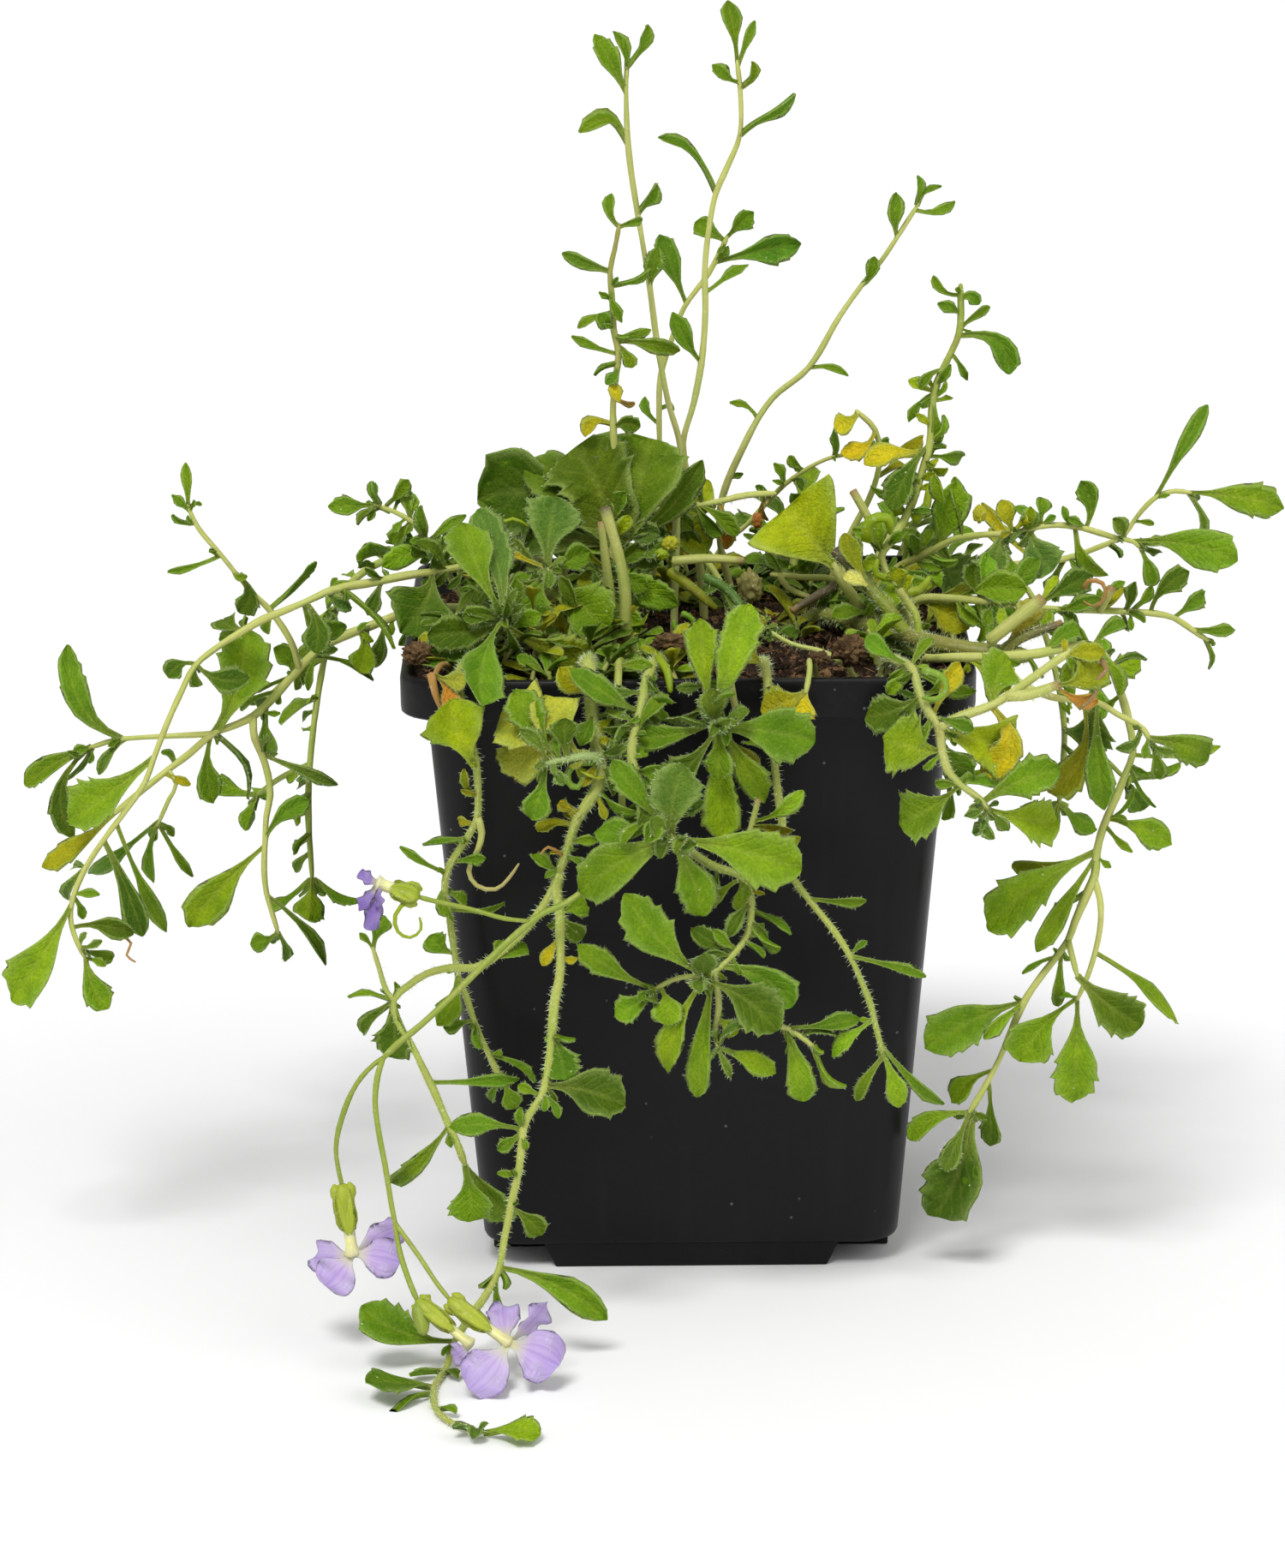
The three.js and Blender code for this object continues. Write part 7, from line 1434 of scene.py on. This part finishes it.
def newMesh(name, points, faces):
    mesh = bpy.data.meshes.new(name)
    mesh.from_pydata((np.array(points) * mm).tolist(), [], faces)
    return mesh


# A piece's mesh as its modifiers leave it
def finishedMesh(piece):
    bpy.context.view_layer.update()
    return bpy.data.meshes.new_from_object(piece.evaluated_get(bpy.context.evaluated_depsgraph_get()))


def dress(mesh, *looks):
    mesh.materials.clear()
    for look in looks:
        mesh.materials.append(finishes[look])
    mesh.polygons.foreach_set("use_smooth", [True] * len(mesh.polygons))


def place(piece, replaced, slot):
    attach(piece, "root")
    if replaced:
        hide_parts(*replaced)


def trianglesOf(mesh):
    mesh.calc_loop_triangles()
    return len(mesh.loop_triangles)


# What the finishes and the down read at each point
pointValues = [("tint", "FLOAT_COLOR", "color"), ("flow", "FLOAT_VECTOR", "vector"),
               ("comb", "FLOAT_VECTOR", "vector"), ("down", "FLOAT", "value"), ("reach", "FLOAT", "value")]


# One mesh of all that was gathered on a piece, with its faces turned outwards
def meshFrom(name, rows):
    kinds = sorted({row["finish"] for row in rows})
    points, faces, finishIndex, start = [], [], [], 0
    for row in rows:
        p = row["points"].copy()
        p[:, 2] = np.maximum(p[:, 2], 0.05)
        rowFaces = row["faces"]
        size = 0.0
        for count in (3, 4):
            corners = np.array([face for face in rowFaces if len(face) == count])
            for b in range(1, count - 1 if len(corners) else 1):
                size += np.einsum("ij,ij->", p[corners[:, 0]], np.cross(p[corners[:, b]], p[corners[:, b + 1]]))
        faces += [[start + v for v in (reversed(face) if size < 0 else face)] for face in rowFaces]
        finishIndex += [kinds.index(row["finish"])] * len(rowFaces)
        points.append(p)
        start += len(p)
    mesh = newMesh(name, np.vstack(points), faces)
    dress(mesh, *kinds)
    mesh.polygons.foreach_set("material_index", finishIndex)
    for key, kind, part in pointValues:
        values = np.concatenate([row[key] for row in rows]).astype(np.float32)
        if key == "tint":
            values = np.hstack([values, np.ones((len(values), 1), np.float32)])
        mesh.attributes.new(key, kind, "POINT").data.foreach_set(part, values.ravel())
    mesh.update()
    return mesh


# A Geometry Nodes tree with named inputs, and the identifiers that a modifier sets them by
def newGrowingTree(name, inputs):
    tree = bpy.data.node_groups.new(name, "GeometryNodeTree")
    inputs = {"Geometry": ("Geometry", None), "Density": ("Float", 1.0), "Seed": ("Int", 3),
              "Finish": ("Material", None), **inputs}
    ids = {key: newSocket(tree, key, kind, True, default).identifier for key, (kind, default) in inputs.items()}
    newSocket(tree, "Geometry", "Geometry", False)
    return tree, ids, tree.nodes.new("NodeGroupInput").outputs


def named(tree, name, kind="FLOAT"):
    return addNode(tree, "GeometryNodeInputNamedAttribute", {"Name": name}, data_type=kind).outputs["Attribute"]


def randomVector(tree, low, high, seed):
    return addNode(tree, "FunctionNodeRandomValue", {0: low, 1: high, "Seed": seed},
                   data_type="FLOAT_VECTOR").outputs[0]


# Puts an instance at points strewn as thick as an attribute says, and ends in plain faces of one finish
def endTree(tree, given, where, thing, rotation, scale):
    spots = addNode(tree, "GeometryNodeDistributePointsOnFaces", {
        "Mesh": given["Geometry"], "Density": times(tree, named(tree, where), given["Density"]),
        "Seed": given["Seed"]})
    strewn = addNode(tree, "GeometryNodeInstanceOnPoints", {"Points": spots.outputs["Points"], "Instance": thing,
                                                            "Rotation": rotation, "Scale": scale})
    real = addNode(tree, "GeometryNodeRealizeInstances", {"Geometry": strewn.outputs[0]})
    dressed = addNode(tree, "GeometryNodeSetMaterial", {"Geometry": real.outputs[0], "Material": given["Finish"]})
    addNode(tree, "NodeGroupOutput", {0: dressed.outputs[0]})


# Down: short pale hairs over a leafy stem, thinner behind and in the depth of the crown
down = {"perSquareMm": 0.5, "behind": 0.2, "length": 0.7, "thickness": 0.038, "sizes": (0.5, 1.3)}


def makeDownTree():
    tree, ids, given = newGrowingTree("down", {"Length": ("Float", 0.5), "Thickness": ("Float", 0.03)})
    jitter = randomVector(tree, (-0.5, -0.5, -0.5), (0.5, 0.5, 0.5), 5)
    way = vectorSum(tree, "ADD", named(tree, "comb", "FLOAT_VECTOR"), jitter)
    turn = addNode(tree, "FunctionNodeAlignRotationToVector", {"Vector": way}, axis="Z").outputs[0]
    least, most = down["sizes"]
    size = addNode(tree, "FunctionNodeRandomValue", {2: least, 3: most, "Seed": 8}, data_type="FLOAT").outputs[1]
    hair = addNode(tree, "GeometryNodeMeshCone", {
        "Vertices": 3, "Side Segments": 1, "Fill Segments": 1, "Radius Top": 0.0,
        "Radius Bottom": times(tree, given["Thickness"], mm), "Depth": times(tree, given["Length"], mm)},
        fill_type="NGON").outputs[0]
    endTree(tree, given, "down", hair, turn, times(tree, size, named(tree, "reach")))
    return tree, ids


# Runs a tree on a mesh and keeps the result as a plain mesh, above the floor and within a half width
def grownBy(grower, source, values, name, within=1.0):
    tree, ids = grower
    holder = newObject(name + "_source", source)
    modifier = holder.modifiers.new("grow", "NODES")
    modifier.node_group = tree
    for key, value in values.items():
        modifier[ids[key]] = value
    mesh = finishedMesh(holder)
    mesh.name = name
    points = np.empty(len(mesh.vertices) * 3, np.float32)
    mesh.vertices.foreach_get("co", points)
    points[2::3] = np.maximum(points[2::3], 0.00002)
    points[:] = np.where(np.arange(len(points)) % 3 < 2, np.clip(points, -within, within), points)
    mesh.vertices.foreach_set("co", points)
    mesh.update()
    holder.modifiers.remove(modifier)
    bpy.data.objects.remove(holder)
    return mesh


def slotOf(node):
    if node.startswith("petals"):
        return "petal_lilac"
    if node.startswith("soil"):
        return "peat"
    if "yellow" in node:
        return "leaf_yellow"
    if "dry" in node:
        return "dry_leaf"
    return "stem_woody" if node.startswith(("stem_woody", "stem_stub")) else "leaf_green"


downGrower = makeDownTree()
for number, (node, rows) in enumerate(growth.items()):
    mesh = meshFrom(node + "_grown", rows)
    place(newObject(node + "_grown", mesh), [node] if node in frame["nodes"] else [], slotOf(node))
    if not node.startswith(("petals", "soil")):
        often = down["perSquareMm"] * (down["behind"] if node.startswith(("crown_fill", "drape", "tuft")) else 1)
        values = {"Density": often * 1e6, "Length": down["length"], "Thickness": down["thickness"], "Seed": number,
                  "Finish": finishes["down"]}
        hairs = grownBy(downGrower, mesh, values, node + "_down")
        place(newObject(node + "_down", hairs), [], slotOf(node))
print("plants meshed", len(growth))


# Pot
def roundedSquare(half, corner, z):
    ring = []
    for quarter in range(4):
        cx, cy = (1, -1, -1, 1)[quarter] * (half - corner), (1, 1, -1, -1)[quarter] * (half - corner)
        for i in range(pot["cornerSteps"] + 1):
            angle = (quarter + i / pot["cornerSteps"]) * math.pi / 2
            ring.append((cx + corner * math.cos(angle), cy + corner * math.sin(angle), z))
    return np.array(ring)


def outwards(mesh, merge=None):
    built = bmesh.new()
    built.from_mesh(mesh)
    if merge:
        bmesh.ops.remove_doubles(built, verts=built.verts, dist=merge)
    bmesh.ops.recalc_face_normals(built, faces=built.faces)
    built.to_mesh(mesh)
    built.free()
    return mesh


# Rings of equal count as a closed solid, with flat ends
def closedMesh(name, rings):
    n, m = len(rings), len(rings[0])
    faces = [[i * m + j, i * m + (j + 1) % m, (i + 1) * m + (j + 1) % m, (i + 1) * m + j]
             for i in range(n - 1) for j in range(m)]
    faces += [list(range(m))[::-1], list(range((n - 1) * m, n * m))]
    return outwards(newMesh(name, np.vstack(rings), faces))


lipBottom = pot["height"] - pot["lipHeight"]
wallSlope = (pot["wallTopHalf"] - pot["wallBottomHalf"]) / (lipBottom - pot["footHeight"])


def wallHalf(z):
    return pot["wallBottomHalf"] + wallSlope * (z - pot["footHeight"])


def combine(target, tool, operation):
    holder = newObject("tool", tool)
    modifier = target.modifiers.new("cut", "BOOLEAN")
    modifier.operation, modifier.solver, modifier.object = operation, "EXACT", holder
    mesh = finishedMesh(target)
    target.modifiers.remove(modifier)
    target.data = mesh
    bpy.data.objects.remove(holder)


# A block whose shorter sides lean in towards its foot
def bar(halfX, halfY, low, high, lowShrink):
    rings = []
    for z, shrink in ((low, lowShrink), (high, 0)):
        x, y = (halfX - shrink if halfX < halfY else halfX), (halfY - shrink if halfY < halfX else halfY)
        rings.append(np.array([(x, y, z), (-x, y, z), (-x, -y, z), (x, -y, z)]))
    return closedMesh("bar", rings)


# A leaf-shaped opening across a corner of the pot's floor
def drain(quarter, low, high):
    outline = []
    for sign in (1, -1):
        for i in range(10):
            outline.append((sign * pot["drainReach"] / 2 * (1 - 2 * i / 10),
                            sign * pot["drainWidth"] / 2 * math.sin(math.pi * i / 10)))
    turn = math.pi / 4 + quarter * math.pi / 2
    c, s = math.cos(turn), math.sin(turn)
    far = pot["drainCentre"] * math.sqrt(2)
    return closedMesh("drain", [np.array([((far + b) * c + a * s, (far + b) * s - a * c, z) for a, b in outline])
                                for z in (low, high)])


def makePot():
    wall, taper, lipWall, edge = pot["wall"], pot["lipTaper"], pot["lipWall"], pot["lipEdge"]
    corner, base = pot["rimCorner"], pot["baseCorner"]
    rim, foot, top = pot["rimHalf"], pot["footHeight"], pot["height"]
    ledge, wallTop = foot + wall, pot["wallTopHalf"]
    # half width, corner radius and height of each ring, up the outside and down the inside
    levels = [(pot["wallBottomHalf"] - 1, base - 1, foot), (wallHalf(foot + 0.3) - 0.3, base - 0.3, foot + 0.3),
              (wallHalf(foot + 1), base, foot + 1)]
    levels += [(wallHalf(z), base + (corner - wall - base) * (z - 5) / (lipBottom - 5), z)
               for z in (9, 30, 60, 88, 92.6)]
    levels += [(wallTop, corner - wall, lipBottom), (rim - edge, corner, lipBottom),
               (rim - edge * 0.3, corner, lipBottom + 0.3), (rim - 0.05, corner, lipBottom + 1),
               (rim, corner, top - 1), (rim - 0.08, corner, top - 0.45), (rim - 0.3, corner - 0.2, top - 0.12),
               (rim - 0.6, corner - 0.4, top), (rim - lipWall + 0.2, corner - lipWall, top),
               (rim - lipWall, corner - lipWall, top - 0.2), (rim - lipWall, corner - lipWall, lipBottom + taper),
               (wallTop - wall, corner - 2 * wall, lipBottom), (wallHalf(ledge) - wall, base - wall, ledge)]
    body = newObject("pot_moulded", closedMesh("pot_moulded", [roundedSquare(*level) for level in levels]))
    # a hollow foot block under each side, and the drain openings
    shrink, half, reach = pot["footTopHalf"] - pot["footBottomHalf"], pot["footTopHalf"], pot["footLength"]
    for x, y in ((reach, half), (half, reach)):
        combine(body, bar(x, y, 0, foot + wall / 2, shrink), "UNION")
    for x, y in ((reach - wall, half - wall), (half - wall, reach - wall)):
        combine(body, bar(x, y, wall, ledge + 1, shrink * 0.7), "DIFFERENCE")
    for quarter in range(4):
        combine(body, drain(quarter, foot - 1, ledge + 1), "DIFFERENCE")
    bevel = body.modifiers.new("soft edges", "BEVEL")
    bevel.width, bevel.segments = pot["softEdge"] * mm, 2
    bevel.limit_method, bevel.angle_limit = "ANGLE", math.radians(50)
    mesh = finishedMesh(body)
    body.modifiers.clear()
    body.data = mesh
    dress(mesh, "pot")
    mesh.set_sharp_from_angle(angle=math.radians(32))
    place(body, ["pot"], "pot_plastic")


makePot()
print("pot moulded")


# Soil: a rough mound with crumbs, lumps, chips and fibres strewn over it
def makeStrewTree():
    tree, ids, given = newGrowingTree("strew", {"Size": ("Float", 0.5), "Tilt": ("Float", 0.5),
                                                "Thing": ("Object", None)})
    tilt = addNode(tree, "ShaderNodeCombineXYZ", {0: given["Tilt"], 1: given["Tilt"], 2: 1.0}).outputs[0]
    spin = vectorSum(tree, "MULTIPLY", randomVector(tree, (-1, -1, 0), (1, 1, 6.28), 2), tilt)
    size = addNode(tree, "ShaderNodeVectorMath", {0: randomVector(tree, (0.4, 0.4, 0.35), (1.4, 1.2, 1.0), 4),
                                                  "Scale": given["Size"]}, operation="SCALE").outputs[0]
    thing = addNode(tree, "GeometryNodeObjectInfo", {"Object": given["Thing"]}).outputs["Geometry"]
    endTree(tree, given, "top", thing, spin, size)
    return tree, ids


def bumpsAt(x, y):
    return noise.fractal(Vector((x, y, 0.37)), 1.0, 2.0, 4)


def makeMound():
    count = soil["cells"] + 1
    half, corner = pot["rimHalf"] - pot["lipWall"] - 0.35, pot["rimCorner"] - pot["lipWall"]
    points = []
    for y in np.linspace(-half, half, count):
        for x in np.linspace(-half, half, count):
            # the corners are rounded to the pot's own
            over = np.array([max(abs(x) - half + corner, 0), max(abs(y) - half + corner, 0)])
            reach = np.linalg.norm(over)
            px, py = x, y
            if reach > corner:
                over *= corner / reach
                px, py = math.copysign(half - corner + over[0], x), math.copysign(half - corner + over[1], y)
            z = soil["height"] + soil["rise"] * (1 - (px * px + py * py) / (2 * pot["rimHalf"] ** 2)) - 1
            z += soil["roughness"] * (bumpsAt(px * 0.13, py * 0.13) + 0.9 * bumpsAt(px * 0.5 + 9, py * 0.5)
                                      + 0.5 * bumpsAt(px * 1.6, py * 1.6 + 4))
            points.append((px, py, min(z, pot["height"] + 1)))
    base = len(points)
    edge = [*range(count), *range(2 * count - 1, base, count), *range(base - 2, base - count - 1, -1),
            *range(base - 2 * count, 0, -count)]
    points += [(points[a][0] * 0.86, points[a][1] * 0.86, soil["height"] - soil["depth"]) for a in edge]
    faces = [(a, a + 1, a + count + 1, a + count) for a in range(base - count) if a % count < count - 1]
    top = [1.0] * len(faces) + [0.0] * (len(edge) + 1)
    faces += [(edge[k - 1], base + (k - 1) % len(edge), base + k, edge[k]) for k in range(len(edge))]
    faces.append(tuple(range(base, base + len(edge))))
    mesh = newMesh("soil_mound", points, faces)
    mesh.attributes.new("top", "FLOAT", "FACE").data.foreach_set("value", np.array(top, np.float32))
    outwards(mesh, 0.00001)
    dress(mesh, "peat")
    return mesh


def crumbMesh(flat=1.0):
    mesh = bpy.data.meshes.new("crumb")
    built = bmesh.new()
    bmesh.ops.create_icosphere(built, subdivisions=1, radius=1 * mm)
    for v in built.verts:
        v.co *= 0.75 + 0.5 * (noise.noise(v.co / mm * 1.3 + Vector((3, 1, 2))) + 0.5)
        v.co.z *= flat
    built.to_mesh(mesh)
    built.free()
    return mesh


def chipMesh():
    return crumbMesh(0.3)


def fibreMesh():
    rings = []
    for i in range(6):
        s = i / 5
        centre = np.array([7 * (s - 0.5), 1.5 * math.sin(3.6 * s), 0.3 + 1.1 * math.sin(math.pi * s)])
        radius = 0.09 * (1 - 0.5 * s)
        rings.append(np.array([centre + np.array([0, radius * math.cos(a), radius * math.sin(a)])
                               for a in (0, 2.1, 4.2)]))
    return closedMesh("fibre", rings)


mound = makeMound()
place(newObject("soil_mound", mound), ["soil"], "peat")
strewer = makeStrewTree()
# count per square millimetre, size, tilt, form, finish and seed
strewn = {"crumbs": (0.46, 0.62, 3.0, crumbMesh, "crumb", 3), "lumps": (0.14, 1.1, 3.0, crumbMesh, "peat", 5),
          "chips": (0.05, 1.1, 0.8, chipMesh, "clod", 9), "fibres": (0.07, 0.6, 0.9, fibreMesh, "fibre", 7),
          "twigs": (0.012, 1.1, 0.5, fibreMesh, "fibre", 4)}
for name, (perSquareMm, size, tilt, makeThing, look, seed) in strewn.items():
    thing = newObject("thing", makeThing())
    values = {"Density": perSquareMm * 1e6, "Size": size, "Tilt": tilt, "Seed": seed, "Thing": thing,
              "Finish": finishes[look]}
    mesh = grownBy(strewer, mound, values, "soil_" + name, (pot["rimHalf"] - pot["lipWall"] - 0.1) * mm)
    place(newObject("soil_" + name, mesh), [], "peat")
    bpy.data.objects.remove(thing)
print("soil strewn")

# Floor, light and camera. A light has its way from the object, its strength and how wide it looks.
floorShape = {"half": 20000, "colour": (0.93, 0.93, 0.93, 1), "roughness": 0.9}
far = floorShape["half"]
floor = newObject("floor", newMesh("floor", [(-far, -far, 0), (far, -far, 0), (far, far, 0), (-far, far, 0)],
                                   [(0, 1, 2, 3)]))
paper, _, paperShader = newMaterial("floor_paper")
paperShader.inputs["Base Color"].default_value = floorShape["colour"]
paperShader.inputs["Roughness"].default_value = floorShape["roughness"]
floor.data.materials.append(paper)
floor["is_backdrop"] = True

light = {"sky": 0.5, "suns": {"key": ((-0.24, -0.72, 1.1), 2.1, 20), "fill": ((0.8, -0.55, 0.75), 0.55, 50)}}
world = bpy.data.worlds.new("studio")
bpy.context.scene.world = world
world.use_nodes = True
sky = world.node_tree.nodes["Background"].inputs
sky["Color"].default_value = (1, 1, 1, 1)
sky["Strength"].default_value = light["sky"]


# Puts a light or a camera at a place, looking a way, rolled about its own line of sight
def aimed(name, data, where, way, roll=0.0):
    thing = newObject(name, data)
    thing.location = where
    thing.rotation_mode = "QUATERNION"
    thing.rotation_quaternion = way.to_track_quat("-Z", "Y") @ Quaternion((0, 0, 1), math.radians(roll))
    return thing


for name, (way, strength, angle) in light["suns"].items():
    sun = bpy.data.lights.new(name, "SUN")
    sun.energy, sun.angle = strength, math.radians(angle)
    aimed(name, sun, (0, 0, 0), -Vector(way))

cameraData = bpy.data.cameras.new("camera")
cameraData.sensor_width = view["sensor"]
cameraData.lens = view["focalPixels"] * view["sensor"] / view["imageHeight"]
camera = aimed("camera", cameraData, eye * mm, Vector(view["target"]) - Vector(eye), view["roll"])
bpy.context.scene.camera = camera
bpy.context.scene.view_settings.view_transform = "Standard"

counts = {piece.name: trianglesOf(piece.data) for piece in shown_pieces() if piece.type == "MESH"}
kinds = {kind: sum(count for name, count in counts.items() if kind in name)
         for kind in ("_grown", "_down", "soil_", "pot_")}
print("triangles", sum(counts.values()), kinds, "most", sorted(counts.items(), key=lambda item: -item[1])[:4])
